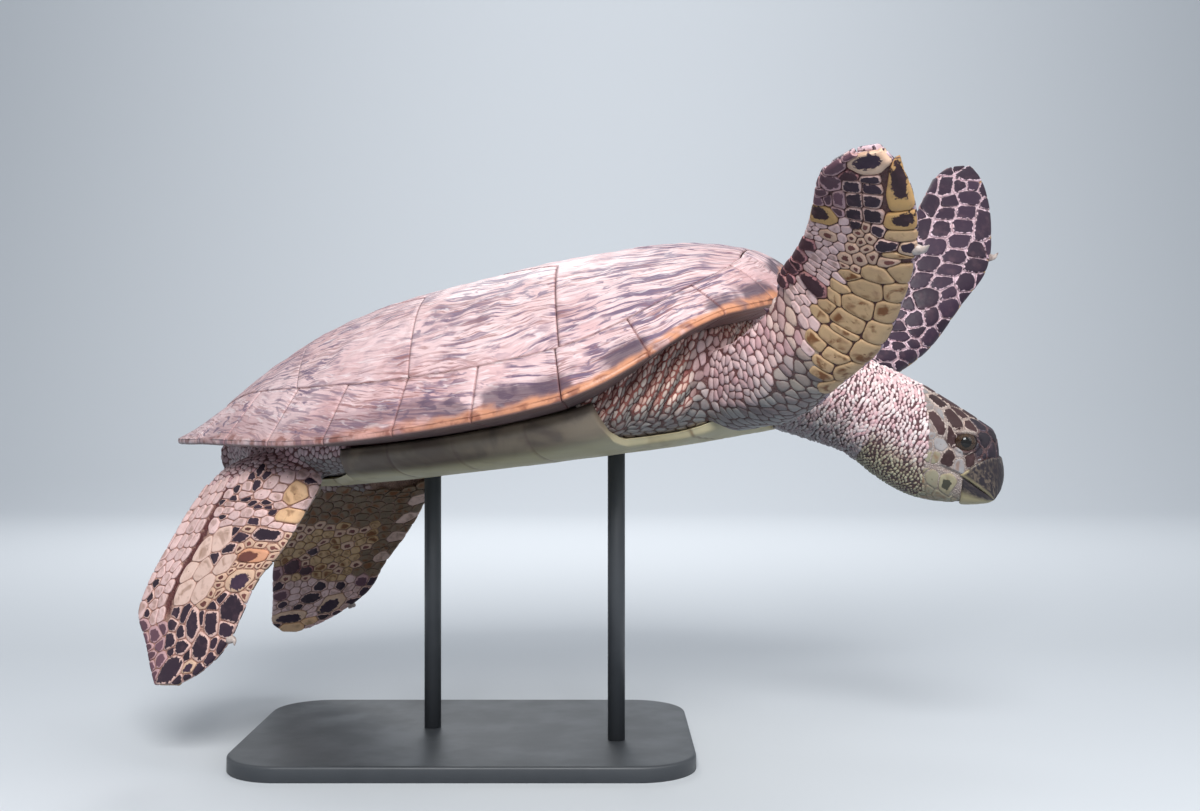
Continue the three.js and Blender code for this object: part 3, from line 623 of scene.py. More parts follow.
@dataclass(frozen=True)
class BareSkin:
    """Skin between the scales; its markings are kept on the points."""

    def material(self) -> bpy.types.Material:
        """Marked colour with fine granules and creases."""
        g = Graph("bare_skin")
        base = g.colour("hide")
        tone = g.noise(160, 4, warp=0.4)
        base = g.blend(g.step(tone, 0.3, 0.75, (0, 0.4)), base, srgb(112, 70, 66))
        pores = g.cells(430)
        base = g.blend(g.step(pores, 0.12, 0.0, (0, 0.5)), base, srgb(96, 60, 58))
        normal = g.bump(g.step(pores, 0.0, 0.3), 0.0006, 0.8)
        normal = g.bump(tone, 0.0012, 0.4, normal)
        return g.finish(base, g.step(tone, 0.2, 0.8, (0.42, 0.62)), normal, Specular_IOR_Level=0.4)


@dataclass(frozen=True)
class ScaleHorn:
    """Scales of the limbs and head: a dark middle in a pale margin, each with its own two colours."""

    def material(self) -> bpy.types.Material:
        """The dark part ends in a ragged edge where the kept spot value passes the scale's mark."""
        g = Graph("scale_horn")
        spot, mark = g.value("spot"), g.value("mark")
        rag = g.noise(260, 4, warp=0.7)
        ragged = g.math("ADD", spot, g.step(rag, 0.2, 0.8, (-0.15, 0.15)))
        share = g.step(g.math("SUBTRACT", ragged, mark), 0.05, -0.05)
        dark = g.blend(g.step(g.noise(90, 3), 0.5, 0.8, (0, 0.25)), g.colour("dark"), srgb(124, 92, 100))
        pale = g.blend(g.step(g.noise(130, 4), 0.45, 0.75, (0, 0.35)), g.colour("pale"), srgb(186, 142, 118))
        brown = g.math("MULTIPLY", g.value("blotch"), g.step(g.noise(75, 4, warp=0.8), 0.46, 0.64))
        brown = g.math("MULTIPLY", brown, g.step(spot, 0.98, 0.6))
        pale = g.blend(brown, pale, srgb(132, 86, 54))
        base = g.blend(share, pale, dark)
        base = g.blend(g.step(g.value("seam"), 0.94, 1.0, (0, 0.2)), base, srgb(92, 62, 60))
        normal = g.bump(g.noise(210, 4), 0.0006, 0.6)
        normal = g.bump(g.cells(520), 0.0002, 0.4, normal)
        return g.finish(base, g.step(rag, 0.2, 0.8, (0.4, 0.58)), normal, Specular_IOR_Level=0.24,
                        Coat_Weight=0.04,
                        Coat_Roughness=0.3)


@dataclass(frozen=True)
class Granule:
    """Small raised scales of the neck and shoulders, each of one colour."""

    def material(self) -> bpy.types.Material:
        """The kept tint, a little mottled."""
        g = Graph("granule_horn")
        base = g.colour("tint")
        base = g.blend(g.step(g.noise(420, 3), 0.45, 0.8, (0, 0.2)), base, srgb(150, 96, 88))
        normal = g.bump(g.noise(500, 3), 0.0003, 0.5)
        return g.finish(base, 0.42, normal, Specular_IOR_Level=0.32)


@dataclass(frozen=True)
class BeakHorn:
    """Horn of the beak: tan, streaked dark down its height, yellower below."""

    tan: tuple = srgb(112, 98, 86)
    dark: tuple = srgb(46, 40, 46)
    yellow: tuple = srgb(196, 180, 138)

    def material(self) -> bpy.types.Material:
        """Streaks follow the grain kept on the points, from the cutting edge up."""
        g = Graph("beak_horn")
        grain = g.vector("grain")
        streak = g.noise(1, 4, g.scaled(grain, (34, 230, 22)), 0.5)
        base = g.blend(g.step(streak, 0.36, 0.56), self.tan, self.dark)
        base = g.blend(g.value("yellow"), base, self.yellow)
        # the kept shade darkens the horn: painted shade in a band along the lower sheath's mouth edge, under
        # the upper sheath, and a darker band along the middle of the upper sheath's sides
        base = g.blend(g.value("shade"), base, self.dark)
        normal = g.bump(streak, 0.0006, 0.6)
        normal = g.bump(g.noise(600, 3), 0.0002, 0.5, normal)
        return g.finish(base, g.step(streak, 0.3, 0.7, (0.3, 0.45)), normal, Specular_IOR_Level=0.3,
                        Coat_Weight=0.08,
                        Coat_Roughness=0.2)


@dataclass(frozen=True)
class WetEye:
    """A dark, wet eye."""

    def material(self) -> bpy.types.Material:
        """A black pupil in a brown iris, by distance from the eye's axis."""
        g = Graph("wet_eye")
        out = g.value("pupil")
        fibre = g.noise(900, 3)
        iris = g.blend(g.step(fibre, 0.35, 0.7), srgb(46, 34, 28), srgb(84, 62, 44))
        base = g.blend(g.step(out, 0.34, 0.4), srgb(8, 7, 8), iris)
        base = g.blend(g.step(out, 0.74, 0.84), base, srgb(34, 28, 28))
        return g.finish(base, 0.1, None, Specular_IOR_Level=0.25, Coat_Weight=0.25, Coat_Roughness=0.03)


@dataclass(frozen=True)
class ClawHorn:
    """A pale claw, darker in its middle."""

    def material(self) -> bpy.types.Material:
        """Two tones by fine noise."""
        g = Graph("claw_horn")
        base = g.blend(g.step(g.noise(140, 3), 0.4, 0.7), srgb(200, 184, 174), srgb(130, 106, 102))
        return g.finish(base, 0.35, g.bump(g.noise(500, 3), 0.0002, 0.5), Coat_Weight=0.2, Coat_Roughness=0.2)


@dataclass(frozen=True)
class StandPaint:
    """Satin powder paint on the display stand."""

    def material(self) -> bpy.types.Material:
        """Dark grey with the paint's fine orange peel and a few dulled patches."""
        g = Graph("stand_paint")
        base = g.blend(g.noise(30, 3), srgb(58, 61, 65), srgb(72, 75, 79))
        normal = g.bump(g.noise(1400, 2), 0.00008, 0.6)
        return g.finish(base, g.step(g.noise(18, 3), 0.3, 0.7, (0.38, 0.5)), normal)


# ------------------------------------------------------------------ shell
@dataclass
class ShellForm:
    """The carapace as a surface over its plan, with the lines that part its plates."""

    half: float = 360.0
    scute_thick: float = 4.0
    rim_thick: float = 5.0
    root_deeper: float = 8.0
    edge: float = 0.45
    rim_half_width: Profile = field(default_factory=lambda: Profile([
        (-360, 0.6), (-350, 22), (-330, 56), (-290, 104), (-240, 148), (-180, 190), (-110, 226), (-40, 250),
        (30, 262), (90, 265), (150, 261), (200, 250), (250, 228), (300, 190), (330, 154), (348, 118),
        (360, 62),
    ]))
    rim_height: Profile = field(default_factory=lambda: Profile([
        (-360, 1), (-320, -1), (-285, -4), (-250, -7), (-215, -12), (-180, -17), (-130, -25), (-70, -32),
        (0, -37),
        (60, -40), (110, -41), (160, -40), (200, -34), (250, -18), (290, -2), (320, 4), (360, 4),
    ]))
    spine_height: Profile = field(default_factory=lambda: Profile([
        (-360, 2), (-340, 4), (-315, 9), (-263, 28), (-191, 60), (-124, 80), (-62, 90), (30, 94), (110, 94),
        (168, 92), (222, 88), (273, 79), (315, 65), (340, 49), (352, 35), (360, 16),
    ]))
    margin_width: Profile = field(default_factory=lambda: Profile([
        (0, 34), (0.1, 38), (0.3, 46), (0.6, 50), (0.85, 52), (1, 46),
    ]))

    def __post_init__(self) -> None:
        """Walks the rim once, and the line where the marginals meet the costals."""
        x = np.linspace(self.half, -self.half, 721)
        self.path = np.stack([x, self.rim_half_width(x)], -1)
        run = np.concatenate([[0], np.cumsum(np.linalg.norm(np.diff(self.path, axis=0), axis=1))])
        self.share = run / run[-1]
        inner = self.inner(np.linspace(0, 1, 321))
        inner = inner[np.argsort(inner[:, 0])]
        keep = np.concatenate([[True], np.diff(inner[:, 0]) > 0.2])
        self.inner_line = inner[keep]

    def rim(self, q: Array) -> Array:
        """Plan points on the rim at shares from the neck to the tail."""
        return np.stack([np.interp(q, self.share, self.path[:, k]) for k in (0, 1)], -1)

    def inner(self, q: Array) -> Array:
        """Plan points on the marginals' inner line, at the same shares."""
        q = np.asarray(q, float)
        along = unit(self.rim(np.minimum(1, q + 0.02)) - self.rim(np.maximum(0, q - 0.02)))
        p = self.rim(q) + np.stack([-along[:, 1], along[:, 0]], -1) * self.margin_width(q)[:, None]
        tail = np.clip((q - 0.9) / 0.1, 0, 1)[:, None]
        p = mix(p, np.array([-self.half + self.margin_width(1.0), 0.0]), tail)
        return np.stack([np.minimum(p[:, 0], self.half - 37.4), np.maximum(p[:, 1], 0)], -1)

    def inner_half_width(self, x: Array) -> Array:
        """Half width of the field of costals at x."""
        return np.interp(x, self.inner_line[:, 0], self.inner_line[:, 1])

    def dome(self, x: Array, y: Array) -> Array:
        """Height of the shell over a point of its plan."""
        x = np.clip(x, -self.half, self.half)
        t = np.minimum(1, np.abs(y) / self.rim_half_width(x))
        across = (1 - t**2.3) * (1 - 0.22 * t**4)
        return mix(self.rim_height(x), self.spine_height(x), across)

    def normal(self, x: Array, y: Array) -> Array:
        """The shell's outward direction over a point of its plan."""
        d = 2.0
        dx = (self.dome(x + d, y) - self.dome(x - d, y)) / (2 * d)
        dy = (self.dome(x, y + d) - self.dome(x, y - d)) / (2 * d)
        return unit(np.stack([-np.clip(dx, -1, 1), -np.clip(dy, -1.2, 1.2), np.ones_like(dx)], -1))

    def point(self, x: Array, y: Array, depth: Array | float) -> Array:
        """A point sunk by depth under the shell's surface."""
        return np.stack([x, y, self.dome(x, y)], -1) - self.normal(x, y) * np.asarray(depth)[..., None]


SHELL = ShellForm()


def edge_distance(top: Array) -> Array:
    """Distance of each point of a grid from the grid's own edge, in the grid's unit."""
    rows, columns = top.shape[:2]
    down = np.concatenate([np.zeros((1, columns)),
                           np.cumsum(np.linalg.norm(np.diff(top, axis=0), axis=2), 0)])
    right = np.concatenate([np.zeros((rows, 1)),
                            np.cumsum(np.linalg.norm(np.diff(top, axis=1), axis=2), 1)], 1)
    return np.minimum.reduce([down, down[-1:] - down, right, right[:, -1:] - right])


@dataclass
class Carapace:
    """The nuchal, vertebral, costal and marginal plates, each a piece of its own."""

    seams: tuple = (322, 212, 72, -78, -208, -312)
    peaks: tuple = (282, 142, -3, -143, -262)
    seam_half: tuple = (62, 40, 40, 38, 34, 50)
    peak_half: tuple = (76, 74, 72, 64, 50)
    costal_outer: tuple = (0.085, 0.31, 0.49, 0.665, 0.875)
    margin_seams: tuple = (0, 0.055, 0.135, 0.225, 0.315, 0.405, 0.49, 0.575, 0.66, 0.745, 0.825, 0.915, 1)
    cell: float = 2.4
    round_over: float = 1.2

    def vertebral_edge(self, x: Array) -> Array:
        """Half width of the middle row of plates at x."""
        corners = sorted([*zip(self.seams, self.seam_half), *zip(self.peaks, self.peak_half)])
        drawn = np.interp(x, *np.array(corners, float).T)
        return np.minimum(drawn, np.maximum(SHELL.inner_half_width(x) - SHELL.edge, 1.5))

    def dress(self, name: str, plan: Array, centre: Array, lift: Array, rim: Array, seed: int) -> None:
        """Builds one plate of the field from a grid of plan points.

        Args:
            name: the node that it stands for.
            plan: rows by columns of plan points.
            centre: plan point that its growth lines spread from.
            lift: height over the shell's surface by row, front to rear.
            rim: 0 inside the shell to 1 at its rim, a value a point.
            seed: which noise.
        """
        x, y = plan[..., 0], plan[..., 1]
        top = SHELL.point(x, y, 0.0)
        inset = edge_distance(top)
        away = plan - centre
        radius = np.linalg.norm(away, axis=-1)
        ring = 0.35 * np.sin(radius / 4.2 + 1.6 * noise(np.dstack([plan, x * 0]), 40, seed))
        wear = 0.7 * noise(top, 26, seed + 3) + 0.25 * noise(top, 6, seed + 5)
        rise = lift + (ring + wear) * smooth(inset, 0, 8) - 0.6 * smooth(inset, self.round_over, 0) ** 1.4
        top = top + SHELL.normal(x, y) * rise[..., None]
        points, faces, hang = slab(top, lambda p: SHELL.point(p[:, 0], p[:, 1], SHELL.scute_thick - 0.2))
        obj = new_object(name + "_horn", POSTURE.place(points), faces, FINISH["shell"])
        bend = 16 * noise(top, 90, 7) + 5 * noise(top, 24, 9)
        spread = y / SHELL.rim_half_width(x) * 215
        grain = np.stack([x + 0.25 * spread, spread + bend, x * 0 + 13.0 * seed], -1) * MM
        front = smooth(x, -220, 260)
        seam = smooth(inset, 1.8, 0.2)
        for key, value in (("grain", grain), ("rim", rim), ("front", front), ("seam", seam)):
            write_values(obj.data, key, value.reshape(-1, *value.shape[2:])[hang])
        write_values(obj.data, "below", np.zeros(len(points)))
        settle(obj, "carapace", name)

    def cells(self, length: float) -> int:
        """How many points a stretch of that length takes."""
        return max(8, round(length / self.cell) + 1)

    def vertebral(self, i: int) -> None:
        """A plate of the middle row."""
        edge = SHELL.edge
        front, rear = self.seams[i] - edge, self.seams[i + 1] + edge
        rows = np.union1d(np.linspace(front, rear, self.cells(front - rear)), [self.peaks[i]])[::-1]
        half = self.vertebral_edge(rows) - edge
        v = np.linspace(-1, 1, self.cells(2 * half.max()))
        plan = np.stack([np.repeat(rows[:, None], len(v), 1), half[:, None] * v], -1)
        share = (front - plan[..., 0]) / (front - rear)
        centre = np.array([rear - 60.0, 0.0])
        self.dress(f"scute_vertebral_{i + 1}", plan, centre, mix(-0.4, 0.7, share), share * 0, 11 + i)

    def costal(self, i: int, side: Side) -> None:
        """A plate of the side row; the first also fills the shoulder of the shell."""
        edge = SHELL.edge
        if i == 0:
            front, rear = self.seams[0] - edge, self.peaks[1] + edge
            x = np.linspace(front, rear, self.cells(front - rear))
            u = (front - x) / (front - rear)
        else:
            front, rear = self.peaks[i] - edge, self.peaks[i + 1] + edge
            u = np.linspace(0, 1, self.cells(front - rear + 20))
            x = np.interp(u, [0, 0.5, 1], [front, self.seams[i + 1], rear])
        inner = np.stack([x, self.vertebral_edge(x) + edge], -1)
        first, last = self.costal_outer[i] + (0.0006 if i else 0), self.costal_outer[i + 1] - 0.0006
        outer = SHELL.inner(mix(first, last, u))
        span = np.linalg.norm(outer - inner, axis=1, keepdims=True)
        outer = mix(outer, inner, edge / span)
        v = np.linspace(0, 1, self.cells(float(span.max())))[None, :, None]
        plan = mix(inner[:, None], outer[:, None], v)
        if i == 0:
            along_rim = SHELL.inner(mix(0.0015, first, v[0, :, 0]))
            bow = along_rim - mix(along_rim[:1], along_rim[-1:], v[0])
            plan += bow[None] * (1 - smooth(u, 0, 0.3))[:, None, None] * np.array([1.0, 0.98])
        centre = np.array([rear - 90.0, self.vertebral_edge(np.array(rear)) * 0.7])
        plan[..., 1] *= side.value
        centre[1] *= side.value
        lift = np.repeat(mix(-0.4, 0.7, u)[:, None], plan.shape[1], 1)
        rim = np.repeat(v[..., 0] * 0.35, len(u), 0)
        self.dress(f"scute_costal_{side.word}_{i + 1}", plan, centre, lift, rim, 21 + 3 * i + side.value)

    def nuchal(self) -> None:
        """The plate over the neck, a wedge with a rounded front edge."""
        v = np.linspace(-1, 1, self.cells(120))
        front = SHELL.half - 4 + 3 * v**2
        rear = self.seams[0] + SHELL.edge
        u = np.linspace(0, 1, self.cells(front.max() - rear))[:, None]
        x = mix(front[None], rear, u)
        corners = np.stack([SHELL.inner([0.001])[0], SHELL.rim([0.001])[0]])
        half = np.interp(x, corners[:, 0], corners[:, 1]) - 2 * SHELL.edge
        plan = np.stack([x, half * v], -1)
        top = np.dstack([plan, SHELL.dome(plan[..., 0], plan[..., 1])])
        inset = edge_distance(top)
        rise = 0.3 + 0.4 * noise(top, 20, 5) * smooth(inset, 0, 6) - 1.4 * smooth(inset, 2.2, 0) ** 1.4
        top[..., 2] += rise
        points, faces, hang = slab(top, lambda p: p - np.array([0, 0, 5.0]))
        obj = new_object("scute_nuchal_horn", POSTURE.place(points), faces, FINISH["shell"])
        grain = np.stack([plan[..., 0], plan[..., 1], plan[..., 0] * 0 + 99], -1) * MM
        rim = smooth(plan[..., 0], rear, front.max())
        for key, value in (("grain", grain), ("rim", rim), ("seam", smooth(inset, 2.4, 0.2))):
            write_values(obj.data, key, value.reshape(-1, *value.shape[2:])[hang])
        write_values(obj.data, "front", np.ones(len(points)))
        write_values(obj.data, "below", np.zeros(len(points)))
        settle(obj, "carapace", "scute_nuchal")

    def marginal(self, k: int, side: Side) -> None:
        """A plate of the rim: the dome above, a rounded edge, and a flatter face below."""
        last = len(self.margin_seams) - 2
        half_seam = 0.00055
        start = self.margin_seams[k] + (0.001 if k == 0 else half_seam)
        stop = self.margin_seams[k + 1] - (0 if k == last else half_seam)
        q = np.linspace(start, stop, self.cells((stop - start) * 920))
        rim, inner = SHELL.rim(q), SHELL.inner(q)
        across = np.linalg.norm(rim - inner, axis=1)[:, None]
        out = (rim - inner) / across
        share = np.concatenate([np.linspace(1, 0.1, 16), [0.06, 0.03, 0.012]])
        plan = rim[:, None] - out[:, None] * (across * share)[..., None]
        low = SHELL.rim_height(rim[:, 0])[:, None] - SHELL.rim_thick
        crown = SHELL.dome(plan[..., 0], plan[..., 1]) + 0.8 * (1 - share)
        ends = np.minimum(q - start, stop - q)[:, None] * 920
        sag = 0.6 * smooth(ends, 1.2, 0) ** 1.4 + 0.6 * smooth((1 - share) * across, 1.2, 0) ** 1.4
        wear = (0.5 * noise(np.dstack([plan, crown]), 22, k)
                + 0.3 * noise(np.dstack([plan, crown]), 6, k + 2))
        crown = crown - sag + wear * smooth(ends, 0, 5) * smooth(share, 0, 0.15)
        nose = np.array([70, 35, 0, -35, -70])
        nose_out = 1.6 * np.cos(np.radians(nose)) - 1.6
        chipped = 0.9 * noise(np.column_stack([rim, 0 * q]), 15, 4)[:, None] * smooth(ends, 0, 3)
        nose_plan = rim[:, None] + out[:, None] * (nose_out[None] + chipped)[..., None]
        middle = (crown[:, -1:] + low) / 2
        thick = (crown[:, -1:] - low) / 2
        nose_z = middle + thick * np.sin(np.radians(nose))
        under = np.array([0.06, 0.3, 0.6, 0.85, 1.0])
        under_plan = rim[:, None] - out[:, None] * (across * under)[..., None]
        under_z = low - SHELL.root_deeper * under**1.3 + 0.2
        plan = np.concatenate([plan, nose_plan, under_plan], 1)
        z = np.concatenate([crown, nose_z, np.broadcast_to(under_z, (len(q), len(under)))], 1)
        rings = np.dstack([plan, z])
        rings[..., 1] = np.maximum(rings[..., 1], SHELL.edge)
        rings[..., 1] *= side.value
        points, faces = loft(rings)
        name = f"marginal_{side.word}_{k + 1}"
        obj = new_object(name + "_horn", POSTURE.place(points), faces, FINISH["shell"])
        total = rings.shape[1]
        outward = np.concatenate([1 - share, np.ones(len(nose)), 1 - 0.3 * under])
        # how far each point of the rim faces down, for the painted shade under the rim
        below = np.concatenate([share * 0, smooth(nose, 20, -50), np.ones(len(under))])
        along = np.repeat(q[:, None] * 920, total, 1)
        bend = 3 * noise(rings, 30, 5)
        grain = np.stack([along, np.repeat(outward[None] * 50, len(q), 0) + 0.12 * along + bend,
                          np.full((len(q), total), 7.0 * k)], -1) * MM
        front = smooth(rings[..., 0], -220, 260)
        seam = np.repeat(smooth(ends, 2.2, 0.2), total, 1)
        values = {
            "grain": grain, "rim": np.repeat(outward[None], len(q), 0), "front": front,
            "below": np.repeat(below[None], len(q), 0), "seam": seam,
        }
        for key, value in values.items():
            flat = value.reshape(-1, *value.shape[2:])
            caps = np.stack([value[0].mean(0), value[-1].mean(0)])
            write_values(obj.data, key, np.concatenate([flat, caps]))
        settle(obj, "rim", name)

    def build(self) -> None:
        """All the plates, front to rear."""
        self.nuchal()
        for i in range(len(self.peaks)):
            self.vertebral(i)
        for side in Side:
            for i in range(4):
                self.costal(i, side)
            for k in range(len(self.margin_seams) - 1):
                self.marginal(k, side)


# ------------------------------------------------------------------ belly
@dataclass
class Belly:
    """The body's lower form and the plastron over it."""

    thick: float = 8.0
    gap: float = 0.4
    power: float = 0.72
    keel: Profile = field(default_factory=lambda: Profile([
        (-330, -52), (-280, -66), (-200, -80), (-120, -89), (0, -98), (120, -107), (250, -118), (330, -122),
    ]))
    taper: Profile = field(default_factory=lambda: Profile([
        (-318, 0.7), (-290, 0.86), (-240, 0.97), (-180, 1), (240, 1), (290, 0.93), (326, 0.8),
    ]))
    outline: tuple = (
        (-283, 0), (-270, 34), (-235, 66), (-170, 102), (-118, 128), (-84, 165), (-66, 240), (-60, 300),
        (170, 300), (178, 240), (196, 170), (240, 138), (285, 112), (308, 80), (314, 0),
    )
    cross_seams: tuple = (268, 190, 92, -6, -104, -190)

    def half_width(self, x: Array) -> Array:
        """Half width of the belly's lower form at x."""
        return (SHELL.inner_half_width(x) - self.gap) * self.taper(x) - 1

    def side_top(self, x: Array) -> Array:
        """Height at which the side of the belly meets the marginals."""
        return SHELL.rim_height(x) - SHELL.rim_thick - SHELL.root_deeper - self.gap

    def point(self, x: Array, angle: Array, depth: Array | float = 0.0) -> Array:
        """A point of the lower form.

        Args:
            x: place along the body.
            angle: from -90 degrees at the right side over the keel to 90 at the left, in radians.
            depth: how far outside the form.

        Returns:
            Points in the turtle's frame.
        """
        def at(a: Array) -> Array:
            """Points at these angles on the form itself."""
            high = self.side_top(x)
            y = self.half_width(x) * signed_power(np.sin(a), self.power)
            z = high - (high - self.keel(x) - self.thick - self.gap) * np.abs(np.cos(a)) ** self.power
            return np.stack([x + 0 * a, y, z], -1)

        step = 0.03
        low = np.clip(angle, -math.pi / 2 + step, math.pi / 2 - step)
        tangent = unit(at(low + step) - at(low - step))
        out = np.stack([0 * tangent[..., 0], tangent[..., 2], -tangent[..., 1]], -1)
        return at(angle) + out * np.asarray(depth)[..., None]

    def plan_half(self, x: Array) -> Array:
        """Half width of the plastron's plan at x."""
        return np.interp(x, *np.array(self.outline, float).T)

    def plastron(self) -> None:
        """The plastron with its scute seams, a plate of even thickness."""
        low, high = self.outline[0][0], self.outline[-1][0]
        x = np.linspace(low + 0.5, high - 0.5, 190)
        wide = self.half_width(x)
        reach = np.minimum(self.plan_half(x) / wide, 1)
        limit = np.arcsin(reach ** (1 / self.power))
        angle = limit[:, None] * np.linspace(-1, 1, 121)[None]
        xs = np.repeat(x[:, None], angle.shape[1], 1)
        top = self.point(xs, angle, self.thick)
        inset = edge_distance(top)
        y = top[..., 1]
        bend = 14 * np.cos(y / 60) - 10
        across = [np.abs(xs - s - bend) for s in self.cross_seams]
        beside = smooth(xs, -110, -80) * smooth(xs, 220, 190)
        bridge = np.abs(np.abs(y) - 138 - 8 * np.sin(xs / 40)) + 80 * (beside < 0.5)
        struts = [np.abs(xs - s) + 80 * (np.abs(y) < 138) for s in (120, 50, -20)]
        inside = [d + 80 * (np.abs(y) > 138) for d in across]
        groove = np.minimum.reduce([np.abs(y) + 0 * xs, bridge, *inside, *struts])
        line = smooth(groove, 3.2, 0.4)
        wear = 0.6 * noise(top, 34, 3) + 0.2 * noise(top, 8, 4)
        depth = self.thick + (wear - 1.2 * line) * smooth(inset, 0, 6) - 5.5 * smooth(inset, 14, 0) ** 2
        top = self.point(xs, angle, depth)

        def under(p: Array) -> Array:
            """Points on the inner side, below points on the outer one."""
            wide_here = self.half_width(p[:, 0])
            a = np.arcsin(np.clip(np.abs(p[:, 1]) / (wide_here + self.thick), 0, 1) ** (1 / self.power))
            return self.point(p[:, 0], np.sign(p[:, 1]) * a, 0.5)

        points, faces, hang = slab(top, under)
        obj = new_object("plastron_horn", POSTURE.place(points), faces, FINISH["belly"])
        write_values(obj.data, "seam", line.reshape(-1)[hang])
        # how far each point turns up the flank, for the painted shade there
        write_values(obj.data, "side", smooth(np.abs(angle), 0.9, 1.4).reshape(-1)[hang])
        settle(obj, "plastron", "plastron")


BELLY = Belly()


# ------------------------------------------------------------------ limbs
@dataclass
class Limb:
    """A flipper through stations, each with its leading and trailing edge, thickness and fullest place."""

    node: str
    side: Side
    stations: tuple
    rows: int = 121
    columns: int = 97

    def __post_init__(self) -> None:
        """Charts both faces, so that scales can be laid out flat and set on them."""
        lead, trail, thick, front = zip(*self.stations)
        share = np.linspace(0, 1, len(lead))
        self.lead, self.trail = Spline(lead), Spline(trail)
        self.thick = Profile(list(zip(share, thick)))
        self.front = Profile(list(zip(share, front)))
        self.u = np.linspace(0, 1, self.rows)
        middle = (self.lead(self.u) + self.trail(self.u)) / 2
        self.run = np.concatenate([[0], np.cumsum(np.linalg.norm(np.diff(middle, axis=0), axis=1))])
        self.w = np.linspace(0, 1, self.columns)
        c = (1 - np.cos(np.linspace(0, math.pi, 181))) / 2
        uu, cc = np.meshgrid(self.u, c, indexing="ij")
        self.chart, self.width = {}, {}
        for face in Face:
            p = self.section(uu.ravel(), cc.ravel(), face, 0.0, 3.1).reshape(self.rows, len(c), 3)
            steps = np.linalg.norm(np.diff(p, axis=1), axis=2)
            arc = np.concatenate([np.zeros((self.rows, 1)), np.cumsum(steps, 1)], 1)
            even = np.stack([np.stack([np.interp(self.w, a / a[-1], row[:, k]) for k in range(3)], -1)
                             for a, row in zip(arc, p)])
            self.chart[face] = even
            self.width[face] = arc[:, -1]

    def axes(self, u: Array) -> tuple[Array, Array, Array]:
        """Trailing edge, chord and unit normal at shares of the length."""
        u = np.asarray(u, float)
        lead, trail = self.lead(u), self.trail(u)
        before, after = np.maximum(0, u - 0.02), np.minimum(1, u + 0.02)
        along = unit(self.lead(after) + self.trail(after) - self.lead(before) - self.trail(before))
        chord = lead - trail
        return trail, chord, unit(np.cross(along, chord))

    def bulk(self, u: Array, c: Array) -> Array:
        """Half thickness at shares of the length and of the chord from the trailing edge."""
        front = self.front(u)
        taper = np.where(c > front, 1.0, 0.35 + 0.65 * (np.clip(c, 0, 1) / front) ** 0.8)
        return np.sqrt(np.clip(4 * c * (1 - c), 0, 1)) * taper * self.thick(u) / 2

    def section(self, u: Array, c: Array, face: Face, inset: float = 0.0, least: float = 0.0) -> Array:
        """Points of one face.

        Args:
            u: shares of the length.
            c: shares of the chord from the trailing edge.
            face: which face.
            inset: how far under the surface.
            least: thinnest that half the limb may be away from its edges.

        Returns:
            Points in the turtle's frame.
        """
        trail, chord, normal = self.axes(u)
        half = self.bulk(u, c)
        if inset or least:
            size = np.linalg.norm(chord, axis=1)
            edge = np.minimum(c, 1 - c) * (size - 2 * inset)
            round_edge = np.sqrt(1 - (1 - np.clip(edge / least, 0, 1)) ** 2)
            c = np.clip(0.5 + (c - 0.5) * (1 - 2 * inset / size), 0, 1)
            half = np.maximum(half - inset * np.minimum(edge / 4, 1), least * round_edge)
        sign = -self.side.value * face.value
        return trail + chord * c[:, None] + normal * (sign * half)[:, None]

    def at(self, x: Array, y: Array, face: Face) -> tuple[Array, Array]:
        """Sets flat places on a face.

        Args:
            x: distance along the limb, in millimetres.
            y: distance from the middle of the face, towards the leading edge.
            face: which face.

        Returns:
            Points in the turtle's frame, and unit normals out of the face.
        """
        u = np.interp(x, self.run, self.u)
        w = y / np.interp(u, self.u, self.width[face]) + 0.5
        over = np.where(w > 1, w - 1, np.where(w < 0, w, 0)) * np.interp(u, self.u, self.width[face])

        def look(a: Array, b: Array) -> Array:
            """Points of the chart at these shares along and across."""
            i = np.clip(a * (self.rows - 1), 0, self.rows - 1.001)
            j = np.clip(b * (self.columns - 1), 0, self.columns - 1.001)
            i0, j0 = i.astype(int), j.astype(int)
            f, g = (i - i0)[:, None], (j - j0)[:, None]
            t = self.chart[face]
            near = t[i0, j0] * (1 - g) + t[i0, j0 + 1] * g
            return near * (1 - f) + (t[i0 + 1, j0] * (1 - g) + t[i0 + 1, j0 + 1] * g) * f

        p = look(u, w)
        du = look(np.clip(u + 0.012, 0, 1), w) - look(np.clip(u - 0.012, 0, 1), w)
        dw = look(u, np.clip(w + 0.03, 0, 1)) - look(u, np.clip(w - 0.03, 0, 1))
        normal = unit(np.cross(du, dw)) * (-self.side.value * face.value)
        _, chord, flat = self.axes(u)
        plane = flat * (-self.side.value * face.value)
        normal = unit(normal + 0.35 * plane)
        return p + unit(chord) * over[:, None], normal

    def body(self, inset: float, least: float, start: float = 0.0) -> Mesh:
        """The limb as a closed body, under its own surface."""
        u = np.linspace(start, 0.996, 120)
        a = np.linspace(0, 2 * math.pi, 120, endpoint=False)
        c = (1 + np.cos(a)) / 2
        uu, cc = np.meshgrid(u, c, indexing="ij")
        upper = self.section(uu.ravel(), cc.ravel(), Face.UPPER, inset, least).reshape(len(u), len(c), 3)
        under = self.section(uu.ravel(), cc.ravel(), Face.UNDER, inset, least).reshape(len(u), len(c), 3)
        return loft(np.where((np.sin(a) >= 0)[None, :, None], upper, under))


def stations(*rows: Sequence[float]) -> tuple:
    """Stations from rows of lead x, y, z, trail x, y, z, thickness and fullest place."""
    return tuple((row[0:3], row[3:6], row[6], row[7]) for row in rows)


